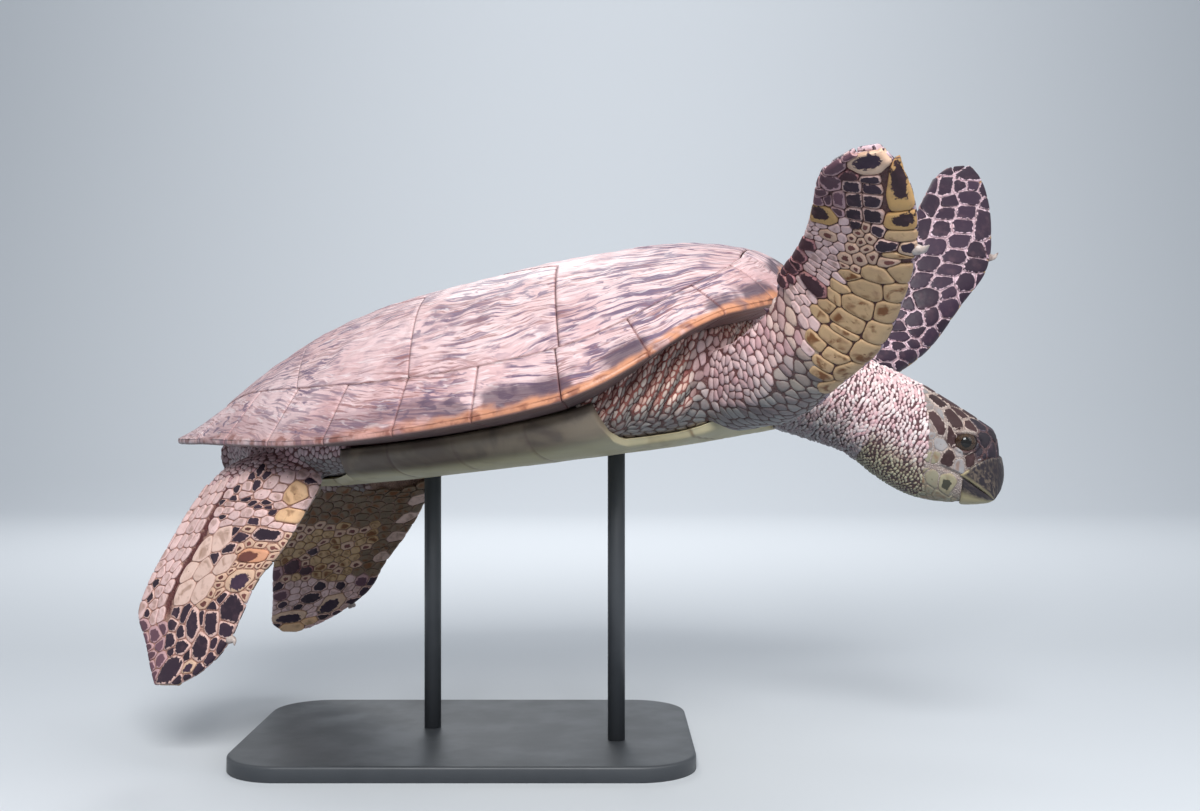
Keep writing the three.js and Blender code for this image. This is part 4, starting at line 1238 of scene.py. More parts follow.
LIMBS = {
    "front_flipper_right": Limb("front_flipper_right", Side.RIGHT, stations(
        (300, -96, -108, 262, -120, -30, 62, 0.5), (362, -150, -101, 320, -178, -23, 66, 0.5),
        (400, -195, -81, 361, -203, 2, 52, 0.5), (444, -238, -56, 378, -226, 25, 34, 0.6),
        (470, -275, -24, 395, -252, 36, 23, 0.65), (488, -308, 6, 411, -284, 50, 19, 0.7),
        (497, -336, 34, 422, -310, 64, 16, 0.72), (498, -362, 61, 433, -342, 80, 12, 0.7),
        (493, -376, 76, 442, -358, 87, 9, 0.7), (485, -384, 89, 464, -381, 91, 4, 0.6),
    )),
    "front_flipper_left": Limb("front_flipper_left", Side.LEFT, stations(
        (300, 96, -108, 262, 120, -34, 62, 0.5), (380, 140, -112, 312, 160, -50, 66, 0.5),
        (427, 168, -99, 366, 172, -46, 50, 0.5), (465, 198, -81, 408, 184, -38, 36, 0.6),
        (511, 222, -39, 436, 196, -8, 25, 0.65), (543, 245, -9, 453, 206, 26, 19, 0.7),
        (558, 266, 37, 476, 225, 62, 16, 0.72), (561, 288, 76, 499, 255, 94, 12, 0.7),
        (557, 300, 100, 511, 275, 109, 9, 0.7), (550, 304, 113, 527, 292, 116, 4, 0.6),
    )),
    "hind_flipper_right": Limb("hind_flipper_right", Side.RIGHT, stations(
        (-150, -92, -68, -236, -70, -36, 50, 0.5), (-123, -156, -77, -251, -118, -44, 42, 0.5),
        (-143, -168, -103, -283, -128, -71, 30, 0.55), (-170, -176, -132, -314, -142, -108, 21, 0.65),
        (-200, -182, -156, -339, -152, -140, 16, 0.7), (-221, -188, -184, -353, -160, -169, 13, 0.7),
        (-243, -192, -212, -345, -170, -196, 10, 0.7), (-275, -195, -232, -338, -182, -220, 7, 0.7),
        (-304, -197, -241, -332, -190, -239, 4, 0.6),
    )),
    "hind_flipper_left": Limb("hind_flipper_left", Side.LEFT, stations(
        (-150, 92, -72, -236, 70, -40, 50, 0.5), (-121, 116, -112, -262, 96, -70, 44, 0.5),
        (-144, 122, -140, -300, 106, -108, 30, 0.55), (-174, 128, -168, -334, 116, -146, 21, 0.65),
        (-212, 134, -198, -356, 126, -182, 15, 0.7), (-242, 140, -226, -366, 132, -208, 11, 0.7),
        (-285, 146, -246, -376, 138, -232, 8, 0.7), (-330, 151, -259, -382, 143, -246, 6, 0.7),
        (-356, 152, -262, -374, 148, -258, 4, 0.6),
    )),
}


# ------------------------------------------------------------------ head
@dataclass
class HeadForm:
    """The head in its own frame: d back from the beak's tip, v to the left, u towards the crown."""

    tip: tuple = (507, 0, -229)
    down: float = 44.0
    power: float = 0.86
    top: Profile = field(default_factory=lambda: Profile([
        (0, 7), (3, 16), (8, 24.5), (14, 31.5), (20, 37.5), (26, 45), (32, 50.5), (40, 54), (60, 55),
        (85, 55.5),
        (110, 55.5), (130, 54), (165, 50),
    ]))
    under: Profile = field(default_factory=lambda: Profile([
        (0, -3), (3, -8), (10, -14), (19, -20.5), (30, -26.5), (45, -34.5), (55, -39), (65, -42.5),
        (78, -45.2),
        (92, -46.5), (110, -46), (130, -44), (165, -42),
    ]))
    half: Profile = field(default_factory=lambda: Profile([
        (0, 4.5), (4, 9), (10, 14), (20, 19.5), (32, 25), (45, 30.5), (60, 35.5), (80, 41), (105, 46),
        (130, 48),
        (165, 46),
    ]))
    mouth: Profile = field(default_factory=lambda: Profile([
        (-12, -4), (0, -1.5), (12, -1.2), (26, 0.4), (42, 1.6), (62, 0), (90, -22),
    ]))
    upper_sheath: Profile = field(default_factory=lambda: Profile([(0, 17), (0.35, 21), (0.7, 31), (1, 42)]))
    nape: Profile = field(default_factory=lambda: Profile([
        (0, 117), (20, 112), (40, 102), (58, 88), (72, 79), (88, 70), (105, 62), (150, 60),
    ]))
    eye: tuple = (56.0, 20.5, 30.5)
    eye_radius: float = 13.5
    opening: tuple = (13.0, 6.8)
    slant: float = -23.0

    def __post_init__(self) -> None:
        """Works out the frame's axes."""
        a = math.radians(self.down)
        self.axes = np.array([[-math.cos(a), 0, math.sin(a)], [0, 1, 0], [math.sin(a), 0, math.cos(a)]])

    def place(self, dvu: Array) -> Array:
        """Points of the head's frame in the turtle's frame."""
        return np.asarray(dvu) @ self.axes + np.array(self.tip, float)

    def local(self, points: Array) -> Array:
        """Points of the turtle's frame in the head's frame."""
        return (points - np.array(self.tip, float)) @ self.axes.T

    def middle(self, d: Array) -> Array:
        """Height of the middle of the head's section."""
        return (self.top(d) + self.under(d)) / 2

    def high(self, d: Array) -> Array:
        """Half height of the head's section."""
        return (self.top(d) - self.under(d)) / 2

    def ring(self, d: Array, angle: Array, grow: Array | float = 0.0) -> Array:
        """Points of the head's surface, in its own frame.

        Args:
            d: distance back from the tip.
            angle: 0 at the left side, a quarter turn at the crown, in radians.
            grow: how far outside.

        Returns:
            One point for each pair.
        """
        v = (self.half(d) + grow) * signed_power(np.cos(angle), self.power)
        u = self.middle(d) + (self.high(d) + grow) * signed_power(np.sin(angle), self.power)
        return np.stack([d + 0 * angle, v, u], -1)

    def snapped(self, dvu: Array, inset: Array) -> Array:
        """Points moved in their own sections on to the surface, less an inset."""
        d = dvu[:, 0]
        v = dvu[:, 1] / np.maximum(self.half(d) - inset, 1.0)
        u = (dvu[:, 2] - self.middle(d)) / np.maximum(self.high(d) - inset, 1.0)
        p = 2 / self.power
        scale = np.maximum(np.abs(v) ** p + np.abs(u) ** p, 1e-6) ** (-1 / p)
        return np.stack([d, dvu[:, 1] * scale, self.middle(d) + (dvu[:, 2] - self.middle(d)) * scale], -1)

    def mouth_angle(self, d: Array) -> Array:
        """Angle at which the mouth's line crosses the left side."""
        lift = (self.mouth(d) - self.middle(d)) / self.high(d)
        return np.arcsin(np.clip(signed_power(lift, 1 / self.power), -1, 1))

    def round_from_crown(self, dvu: Array) -> Array:
        """Distance round the head from its crown, either way."""
        side = np.abs(dvu[:, 1]) / self.half(dvu[:, 0])
        lift = (dvu[:, 2] - self.middle(dvu[:, 0])) / self.high(dvu[:, 0])
        angle = np.arctan2(signed_power(lift, 1 / self.power), side ** (1 / self.power))
        return (math.pi / 2 - angle) * (self.half(dvu[:, 0]) + self.high(dvu[:, 0])) / 2

    def eye_share(self, dvu: Array, side: Side) -> Array:
        """How far from the eye's axis, 1 at the lids' edge."""
        a = math.radians(self.slant)
        away_d, away_u = dvu[:, 0] - self.eye[0], dvu[:, 2] - self.eye[2] - 1.0
        long = (away_d * math.cos(a) + away_u * math.sin(a)) / self.opening[0]
        tall = (away_u * math.cos(a) - away_d * math.sin(a)) / self.opening[1]
        share = (np.abs(long) ** 1.8 + np.abs(tall) ** 2.0) ** 0.52
        return np.where(dvu[:, 1] * side.value > 8, share, 9.0)


HEAD = HeadForm()


@dataclass
class Eye:
    """An eyeball in its socket."""

    around: int = 64

    def build(self, side: Side) -> None:
        """A ball with its pupil turned outwards and a little ahead."""
        d, v, u = HEAD.eye
        centre = HEAD.place([d, side.value * v, u])
        look = unit(np.array([-0.12, side.value * 1.0, 0.18]) @ HEAD.axes)
        a = np.linspace(0, math.pi, self.around // 2)
        b = np.linspace(0, 2 * math.pi, self.around, endpoint=False)
        side_1 = unit(np.cross(look, [0.3, 0.1, 1.0]))
        side_2 = np.cross(look, side_1)
        ring = np.cos(b)[:, None] * side_1 + np.sin(b)[:, None] * side_2
        bulge = 1 + 0.05 * smooth(a, 0.62, 0.3)
        rings = centre + HEAD.eye_radius * (
            (np.cos(a) * bulge)[1:-1, None, None] * look + (np.sin(a) * bulge)[1:-1, None, None] * ring
        )
        points, faces = loft(rings)
        obj = new_object(f"eyeball_{side.word}", POSTURE.place(points), faces, FINISH["eye"])
        out = np.repeat(a[1:-1], self.around)
        write_values(obj.data, "pupil", np.concatenate([out, [0.0, math.pi]]))
        settle(obj, "eye", f"eye_{side.word}")


@dataclass
class Beak:
    """The horny sheaths of both jaws, each an even plate over the head's surface."""

    thick: float = 2.6
    proud: float = 1.2

    def sheath(self, name: str, node: str, upper: bool) -> None:
        """Builds one sheath as a grid from one side of the mouth over the tip's middle to the other.

        Args:
            name: the piece's name.
            node: the node that it stands for.
            upper: whether it is the upper jaw's.
        """
        w = np.linspace(-1, 1, 97)
        t = np.linspace(0, 1, 49) ** 1.25
        if upper:
            back = HEAD.upper_sheath(np.abs(w))
        else:
            back = Profile([(0, 26), (0.55, 29), (0.85, 34), (1, 38)])(np.abs(w))
        d = 0.25 + (back[None] - 0.25) * t[:, None]
        side = HEAD.mouth_angle(d)
        gap = (0.5 if upper else 0.7) / HEAD.high(d)
        if upper:
            # the upper sheath's cutting edge laps a little over the lower one at the tip
            lap = -1.4 * smooth(d, 16, 2) / HEAD.high(d)
            low = side + gap + lap
            angle = mix(math.pi / 2 + 0 * low, low, np.abs(w)[None])
        else:
            high = side - gap
            angle = mix(-math.pi / 2 + 0 * high, high, np.abs(w)[None])
        angle = np.where(w[None] < 0, (math.pi if upper else -math.pi) - angle, angle)
        shape = d, angle
        inset = np.minimum((back[None] - d), (1 - np.abs(w))[None] * HEAD.high(d) * 1.4)
        proud = self.proud - 1.3 * smooth(inset, 2.0, 0) ** 1.5
        streak = noise(np.dstack([angle * 7, d * 1.2, 0 * d]), 3.4, 5)
        top = HEAD.ring(*shape, proud + 0.25 * streak * smooth(inset, 0.5, 3))
        if upper:
            hook = smooth(d, 9, 0) * smooth(np.abs(w)[None], 0.1, 0.9)
            top[..., 2] -= 1.6 * hook
        base = HEAD.ring(*shape, proud * 0 - self.thick + self.proud)
        base[..., 0] = np.maximum(base[..., 0], 1.4)
        index = {tuple(np.round(p, 5)): k for k, p in enumerate(top.reshape(-1, 3))}
        flat_base = base.reshape(-1, 3)

        def under(p: Array) -> Array:
            """Points of the base below points of the top."""
            return np.stack([flat_base[index[tuple(np.round(q, 5))]] for q in p])

        rows, columns = d.shape
        faces_top = grid_faces(rows, columns)
        points = np.vstack([top.reshape(-1, 3), flat_base])
        n = rows * columns
        grid = np.arange(n).reshape(rows, columns)
        edge = np.concatenate([grid[0], grid[1:, -1], grid[-1, -2::-1], grid[-2:0:-1, 0]])
        nxt = np.roll(edge, -1)
        skirt = np.stack([edge, edge + n, nxt + n, nxt], -1)
        faces = faces_top[:, ::-1].tolist() + (faces_top + n).tolist() + skirt[:, ::-1].tolist()
        obj = new_object(name, POSTURE.place(HEAD.place(points)), faces, FINISH["beak"])
        grain = np.stack([angle * 0.03, d * MM, np.abs(w)[None] + 0 * d], -1).reshape(-1, 3)
        write_values(obj.data, "grain", np.vstack([grain, grain]))
        near_mouth = (np.abs(w)[None] + 0 * d)
        if upper:
            yellow = 0.75 * smooth(inset, 3.2, 0.5) * (near_mouth > 0.9)
            shade = 0.8 * smooth(np.abs(near_mouth - 0.42), 0.42, 0.12) * smooth(inset, 1.5, 6)
        else:
            yellow = 0.9 * smooth(near_mouth, 0.86, 0.62)
            # painted shade: a dark band along the lower sheath's edge, under the upper sheath
            shade = 0.8 * smooth(near_mouth, 0.8, 0.92)
        for key, value in (("yellow", yellow), ("shade", shade)):
            write_values(obj.data, key, np.tile(value.ravel(), 2))
        settle(obj, "beak", node)

    def build(self) -> None:
        """Both sheaths."""
        self.sheath("beak_sheath_upper", "beak_upper", True)
        self.sheath("beak_sheath_lower", "beak_lower", False)


# ------------------------------------------------------------------ skin
@dataclass
class Neck:
    """The neck's path and section, from inside the trunk to the back of the head."""

    def __post_init__(self) -> None:
        """Samples the path."""
        self.path = Spline([(286, 0, -62), (334, 0, -78), (370, 0, -100), HEAD.place([152, 0, 5])])
        self.wide = Profile([(0, 74), (0.35, 66), (0.7, 53), (1, 46.5)])
        self.high = Profile([(0, 50), (0.35, 50), (0.7, 48.5), (1, 47.5)])
        self.u = np.linspace(0, 1, 121)
        self.line = self.path(self.u)
        self.run = np.concatenate([[0], np.cumsum(np.linalg.norm(np.diff(self.line, axis=0), axis=1))])

    def up(self, u: Array) -> Array:
        """Direction of the neck's back."""
        along = unit(mix(self.path.along(u), -HEAD.axes[0], (u**3)[:, None]))
        return -unit(np.cross([0, 1, 0], along))

    def body(self, inset: float) -> Mesh:
        """The neck as a closed body."""
        u = np.linspace(0, 1, 40)
        a = np.linspace(0, 2 * math.pi, 72, endpoint=False)
        middle, up = self.path(u)[:, None], self.up(u)[:, None]
        wide = (self.wide(u) - inset)[:, None] * np.cos(a)
        high = (self.high(u) - inset)[:, None] * np.sin(a)
        return loft(middle + wide[..., None] * np.array([0, 1, 0]) + high[..., None] * up)

    def share(self, points: Array) -> tuple[Array, Array]:
        """Run along the neck's line, in millimetres, and distance from it."""
        plane = points[:, None, (0, 2)] - self.line[None, :, (0, 2)]
        nearest = np.argmin((plane**2).sum(-1), axis=1)
        away = points - self.line[nearest]
        return self.run[nearest], np.linalg.norm(away, axis=1)


NECK = Neck()


@dataclass
class Charted:
    """Where the skin's points lie on the flippers."""

    part: Array
    nearest: Array
    length: Array
    across: Array
    upper: Array
    chord: Array


@dataclass
class Skin:
    """One skin over the trunk's ends, neck, head, tail and flippers."""

    voxel: float = 2.9
    inset: float = 0.9
    least: float = 2.3
    core: float = 27.0
    left: float = 0.1  # share of the faces left where plates or the shell cover the skin
    face_end: float = 104.0  # how far back on the head its faces are split
    lid_reach: float = 2.4  # how far round each eye they are split once more, in eye radii
    neck_fold: float = 3.0
    shoulder_fold: float = 6.4
    elbow_fold: float = 1.4
    hind_groove: float = 2.6
    grain: float = 0.35
    nodes: tuple = (
        "trunk", "neck", "tail", "head", "jaw_lower",
        "front_flipper_right", "front_flipper_left", "hind_flipper_right", "hind_flipper_left",
    )

    def trunk(self) -> Mesh:
        """The trunk at its full size at both ends, drawn in to a thin core between them."""
        x = np.array([-314, -308, -302, -290, -270, -245, -220, -195, -170, -150, -120, -90, -66, -50, -40,
                      0, 60, 145, 155, 168, 190, 212, 235, 260, 280, 300, 318, 324, 332, 338.0])
        inner = np.clip(x, -302, 318)
        rings = []
        angle = np.radians(np.linspace(-84, 84, 29))
        for along, at in zip(x, inner):
            half = float(BELLY.half_width(at))
            v = np.linspace(1, -1, 21)
            roof = SHELL.point(np.full(21, at), v * half, 6.4)
            below = BELLY.point(np.full(29, at), angle, -1.2)
            ring = np.vstack([roof, below])
            ring[:, 0] += along - at
            beyond = max(along - 318, -302 - along, 0)
            if beyond:
                share = Profile([(0, 1), (4, 0.97), (6, 0.88), (14, 0.82), (21, 0.6)])(beyond)
                height = -62 if along > 0 else -40
                ring[:, 1] *= share
                ring[:, 2] = np.minimum(height + (ring[:, 2] - height) * share, -14 - beyond * 0.6)
            full = max(smooth(along, 148, 166), smooth(along, -44, -62))
            middle = np.array([along, 0, -30.0 + 0.02 * along])
            away = ring - middle
            away[:, 0] = 0
            size = np.linalg.norm(away, axis=1, keepdims=True)
            ring = ring * full + (middle + away * self.core / size) * (1 - full)
            rings.append(ring)
        return loft(np.array(rings))

    def tail(self) -> Mesh:
        """A tapered tail under the last plates."""
        path = Spline([(-262, 0, -50), (-306, 0, -60), (-352, 4, -78)])
        u = np.linspace(0, 1, 30)
        a = np.linspace(0, 2 * math.pi, 40, endpoint=False)
        radius = mix(24.0, 5.0, u**1.2) - self.inset * 0.5
        around = np.stack([0 * a, np.cos(a), 0.8 * np.sin(a)], -1)
        return loft(path(u)[:, None] + radius[:, None, None] * around)

    def head(self) -> Mesh:
        """The head's sections, a little inside its surface."""
        d = np.concatenate([np.linspace(1.5, 20, 14), np.linspace(24, 160, 46)])
        a = np.linspace(0, 2 * math.pi, 96, endpoint=False)
        dd, aa = np.meshgrid(d, a, indexing="ij")
        return loft(HEAD.place(HEAD.ring(dd, aa, -1.2)))

    def raw(self) -> bpy.types.Object:
        """All the bodies as one even mesh."""
        parts = [self.trunk(), NECK.body(self.inset), self.tail(), self.head()]
        parts += [limb.body(self.inset, self.least) for limb in LIMBS.values()]
        points, faces = [], []
        for part_points, part_faces in parts:
            probe = bpy.data.meshes.new("probe")
            probe.from_pydata(part_points.tolist(), [], part_faces)
            turned = signed_volume(probe) < 0
            bpy.data.meshes.remove(probe)
            faces.append([f[::-1] for f in part_faces] if turned else part_faces)
            points.append(part_points)
        merged, quads = join(zip(points, faces))
        obj = new_object("skin", merged, quads)
        remesh = obj.modifiers.new("even", "REMESH")
        remesh.mode = "VOXEL"
        remesh.voxel_size = self.voxel
        remesh.use_smooth_shade = True
        made = evaluated(obj)
        obj.modifiers.clear()
        old, obj.data = obj.data, made
        bpy.data.meshes.remove(old)
        made.name = "skin"
        return obj

    def refine(self, obj: bpy.types.Object, wanted: Callable[[Array], Array]) -> None:
        """Splits the faces whose points are all in a region into four."""
        grid = bmesh.new()
        grid.from_mesh(obj.data)
        co = np.array([v.co for v in grid.verts])
        inside = wanted(co)
        edges = [e for e in grid.edges if inside[e.verts[0].index] and inside[e.verts[1].index]]
        bmesh.ops.subdivide_edges(grid, edges=edges, cuts=1, use_grid_fill=True)
        grid.to_mesh(obj.data)
        grid.free()

    @staticmethod
    def relax(mesh: bpy.types.Mesh, points: Array, rounds: int, weight: Array) -> Array:
        """Points drawn towards the mean of their neighbours, by a weight a point."""
        edges = np.empty(len(mesh.edges) * 2, np.int32)
        mesh.edges.foreach_get("vertices", edges)
        a, b = edges.reshape(-1, 2).T
        count = np.bincount(np.concatenate([a, b]), minlength=len(points))[:, None]
        for _ in range(rounds):
            total = np.zeros_like(points)
            for k in range(3):
                near_a = np.bincount(a, points[b, k], len(points))
                total[:, k] = near_a + np.bincount(b, points[a, k], len(points))
            points = points + (total / np.maximum(count, 1) - points) * weight[:, None]
        return points

    def under_shell(self, p: Array) -> Array:
        """Points lowered to stay under the shell's plates, and raised to stay over the plastron."""
        p = p.copy()
        x, y = np.clip(p[:, 0], -359, 359), np.abs(p[:, 1])
        inside = (y < SHELL.rim_half_width(x)) & (np.abs(p[:, 0]) < 359)
        rim, share = SHELL.path[::4], SHELL.share[::4]
        index = np.where(inside)[0]
        away = np.stack([p[index, 0], y[index]], -1)[:, None] - rim[None]
        size = (away**2).sum(-1)
        nearest = size.argmin(1)
        depth = np.sqrt(size.min(1)) / SHELL.margin_width(share[nearest])
        low = SHELL.rim_height(rim[nearest, 0]) - SHELL.rim_thick
        ceiling = low - SHELL.root_deeper * np.minimum(depth, 1) ** 1.3 - 0.5
        roof = SHELL.dome(p[index, 0], y[index]) - 6.0
        front = (y[index] < 61) & (p[index, 0] > 322)
        nuchal = SHELL.dome(p[index, 0], y[index]) - 6.2 - (358 - p[index, 0]) / 9
        top = np.where(front, nuchal, np.where(depth < 1, ceiling, roof))
        p[index, 2] = np.minimum(p[index, 2], top)
        low_x, high_x = BELLY.outline[0][0] + 2, BELLY.outline[-1][0] - 2
        wide = BELLY.half_width(p[:, 0])
        over = (p[:, 0] > low_x) & (p[:, 0] < high_x) & (y < BELLY.plan_half(p[:, 0]) - 2) & (y < wide)
        a = np.arcsin(np.clip(y / wide, 0, 1) ** (1 / BELLY.power))
        floor = BELLY.point(p[:, 0], a, 0.0)[:, 2] - 5.0
        p[over, 2] = np.maximum(p[over, 2], floor[over])
        return p

    def carve_head(self, p: Array) -> Array:
        """Snaps the head to its form and works in lids, mouth and nostrils."""
        dvu = HEAD.local(p)
        d = dvu[:, 0]
        near = np.linalg.norm(dvu[:, 1:], axis=1) < 75
        hold = smooth(d, 138, 112) * near
        head = np.where(hold > 0)[0]
        q = dvu[head]
        under_beak = smooth(q[:, 0], 34, 26)
        q[:, 0] = np.maximum(q[:, 0], 1.6)
        snapped = HEAD.snapped(q, self.inset + 0.9 * under_beak)
        q = mix(q, snapped, hold[head][:, None])
        out = np.concatenate([0 * q[:, :1],
                              unit(q[:, 1:] - np.stack([0 * q[:, 0], HEAD.middle(q[:, 0])], -1))], 1)
        line = np.abs(q[:, 2] - HEAD.mouth(q[:, 0]))
        groove = smooth(line, 2.4, 0.3) * smooth(q[:, 0], 66, 58) * (q[:, 0] < 70)
        q = q - out * (1.8 * groove)[:, None]
        lip = smooth(np.abs(line - 3.4), 2.6, 0.4) * smooth(q[:, 0], 68, 58) * smooth(q[:, 0], 36, 44)
        q = q + out * (0.7 * lip)[:, None]
        for side in Side:
            hole = HEAD.ring(np.array(22.5), np.array(math.pi / 2 - 0.3 * side.value))
            nostril = np.linalg.norm(q - hole, axis=1)
            q = q - out * (2.2 * smooth(nostril, 2.4, 0.6)
                           - 0.5 * smooth(np.abs(nostril - 3.0), 1.4, 0))[:, None]
            share = HEAD.eye_share(q, side)
            centre = np.array([HEAD.eye[0], side.value * HEAD.eye[1], HEAD.eye[2]])
            away = q - centre
            size = np.linalg.norm(away, axis=1, keepdims=True)
            lid_radius = HEAD.eye_radius + 1.7 + 0.5 * smooth(np.abs(share - 1.2), 0.2, 0)
            lid = centre + away / np.maximum(size, 1) * lid_radius[:, None]
            pit = centre + away / np.maximum(size, 1) * (HEAD.eye_radius - 1.8)
            over = (share < 2.3) & (away[:, 1] * side.value > 0)
            blend = smooth(share, 2.3, 1.35)[:, None]
            held = mix(q, lid, blend)
            fold = smooth(np.abs(share - 1.75), 0.22, 0)[:, None] * 0.9
            held = held - unit(away) * fold
            held = mix(held, pit, smooth(share, 1.02, 0.96)[:, None])
            q = np.where(over[:, None], held, q)
        result = p.copy()
        result[head] = HEAD.place(q)
        return result

    def wrinkle(self, p: Array, n: Array, at: Charted) -> Array:
        """Folds round the neck, a fan of them on the shoulders, and one down each hind flipper."""
        d = HEAD.local(p)[:, 0]
        run, away = NECK.share(p)
        neck = smooth(d, 118, 146) * smooth(p[:, 0], 296, 325) * smooth(away, 84, 70)
        wave = run / 12.5 + 0.45 * noise(p, 38, 3) + 0.012 * p[:, 1]
        fold = np.abs(np.sin(math.pi * wave)) ** 0.6 - 0.7
        second = 0.5 * (np.abs(np.sin(math.pi * (run / 6.1 + 0.6 * noise(p, 22, 9)))) - 0.6)
        move = self.neck_fold * neck * (fold + second) * (0.35 + 0.65 * smooth(n[:, 2], -0.5, 0.1))
        move = move + self.shoulder_fold * self.flank(p, at) * (1 - neck) * (self.fan(p) - 0.6)
        elbow = smooth(at.length, 0.04, 0.14) * smooth(at.length, 0.34, 0.2)
        elbow = elbow * smooth(at.nearest, 16, 7) * (p[:, 0] > 100)
        bend = np.abs(np.sin(math.pi * (at.length * 17 + 0.8 * noise(p, 45, 12)))) ** 0.8 - 0.5
        move = move + self.elbow_fold * elbow * (1 - neck) * bend
        line = 0.28 + 0.03 * at.length
        behind = smooth(np.abs(at.across - line), 0.035, 0.0)
        behind = behind * smooth(at.length, 0.08, 0.16) * smooth(at.length, 0.66, 0.6)
        move = move - self.hind_groove * behind * at.upper * (p[:, 0] < 0) * smooth(at.nearest, 9, 5)
        move = move + self.grain * noise(p, 9, 21)
        return p + n * move[:, None]

    @staticmethod
    def flank(p: Array, at: Charted) -> Array:
        """How far each point is in the folded skin behind the front flippers, under the rim."""
        near = smooth(at.nearest, 4, 26) * smooth(p[:, 2], -100, -66)
        return near * (p[:, 0] > 120) * (np.abs(p[:, 1]) > 70)

    @staticmethod
    def fan(p: Array) -> Array:
        """The folds behind the front flippers, from 0 in a groove to 1 on a crest."""
        slope = p[:, 0] * 0.8 - p[:, 2] * 0.6 + 0.0016 * (p[:, 2] + 40) ** 2
        return np.abs(np.sin(math.pi * (slope / 12.5 + 0.85 * noise(p, 42, 5)))) ** 0.75

    @staticmethod
    def hidden(p: Array) -> Array:
        """Which points lie between the carapace and the plastron, out of sight."""
        x, y = p[:, 0], np.abs(p[:, 1])
        within = (x > -296) & (x < 312)
        roof = (y < SHELL.inner_half_width(x) - 16) & (p[:, 2] > BELLY.side_top(x) + 3)
        wide = BELLY.half_width(x)
        a = np.arcsin(np.clip(y / wide, 0, 1) ** (1 / BELLY.power))
        floor = BELLY.point(x, a, 0.0)[:, 2]
        belly = (y < BELLY.plan_half(x) - 14) & (p[:, 2] < floor + 12)
        core = (x > -58) & (x < 156)
        return within & (roof | belly | core)

    @staticmethod
    def plated(p: Array) -> Array:
        """Which points lie under the plates of the front flippers."""
        found = np.zeros(len(p), bool)
        for side in Side:
            chart = LIMBS[f"front_flipper_{side.word}"].chart[Face.UPPER]
            start, tip = chart[len(chart) // 3].mean(0), chart[-1].mean(0)
            reach = float(np.linalg.norm(tip - start))
            beyond = (p - start) @ unit(tip - start) > 0
            found |= beyond & (np.linalg.norm(p - (start + tip) / 2, axis=1) < 0.75 * reach)
        return found

    @staticmethod
    def thin(obj: bpy.types.Object, wanted: Callable[[Array], Array], keep: float) -> None:
        """Leaves only a share of the faces in a region of the skin."""
        found = wanted(vertices_of(obj.data))
        group = obj.vertex_groups.new(name="region")
        group.add(np.where(found)[0].tolist(), 1.0, "REPLACE")
        modifier = obj.modifiers.new("thin", "DECIMATE")
        modifier.vertex_group = "region"
        modifier.ratio = float(1 - found.mean() * (1 - keep))
        made = evaluated(obj)
        obj.modifiers.clear()
        obj.vertex_groups.clear()
        obj.data = made
        made.name = "skin"

    def build(self) -> bpy.types.Object:
        """The finished skin, with its markings on its points.

        Returns:
            The skin.
        """
        obj = self.raw()
        self.thin(obj, lambda p: self.hidden(p) | self.plated(p), self.left)
        self.refine(obj, lambda p: (HEAD.local(p)[:, 0] < self.face_end) & (np.abs(p[:, 1]) < 60)
                    & (p[:, 0] > 380))
        self.refine(obj,
                    lambda p: min_of(HEAD.eye_share(HEAD.local(p), side) for side in Side) < self.lid_reach)
        mesh = obj.data
        p = vertices_of(mesh)
        p = self.relax(mesh, p, 3, np.full(len(p), 0.5))
        u_near = smooth(np.linalg.norm(p - np.array([320, 0, -70]), axis=1), 190, 120)
        p = self.relax(mesh, p, 10, 0.5 * u_near)
        p = self.carve_head(p)
        set_vertices(mesh, p)
        at = self.charted(p)
        p = self.wrinkle(p, normals_of(mesh), at)
        p = self.under_shell(p)
        set_vertices(mesh, p)
        self.mark(mesh, p, normals_of(mesh), at)
        set_vertices(mesh, POSTURE.place(p))
        mesh.polygons.foreach_set("use_smooth", [True] * len(mesh.polygons))
        mesh.materials.append(FINISH["skin"])
        settle(obj, "skin", *self.nodes)
        return obj

    def charted(self, p: Array) -> Charted:
        """Finds each point's place on the nearest flipper."""
        at = Charted(np.zeros(len(p), int), np.full(len(p), 1e9), np.zeros(len(p)), np.full(len(p), 0.5),
                     np.zeros(len(p), bool), np.zeros((len(p), 3)))
        for number, limb in enumerate(LIMBS.values()):
            tree = KDTree(2 * limb.rows * limb.columns)
            keys = []
            for face in Face:
                for i in range(0, limb.rows, 2):
                    for j in range(0, limb.columns, 2):
                        tree.insert(limb.chart[face][i, j], len(keys))
                        keys.append((limb.u[i], limb.w[j], face is Face.UPPER))
            tree.balance()
            lengthwise = unit(limb.axes(limb.u)[1])
            for v in np.where(np.linalg.norm(p - limb.chart[Face.UPPER][60, 48], axis=1) < 330)[0]:
                _, key, far = tree.find(p[v])
                if far < at.nearest[v]:
                    at.nearest[v] = far
                    at.length[v], at.across[v], at.upper[v] = keys[key]
                    at.part[v] = 1 + number
                    at.chord[v] = lengthwise[int(at.length[v] * (limb.rows - 1))]
        return at

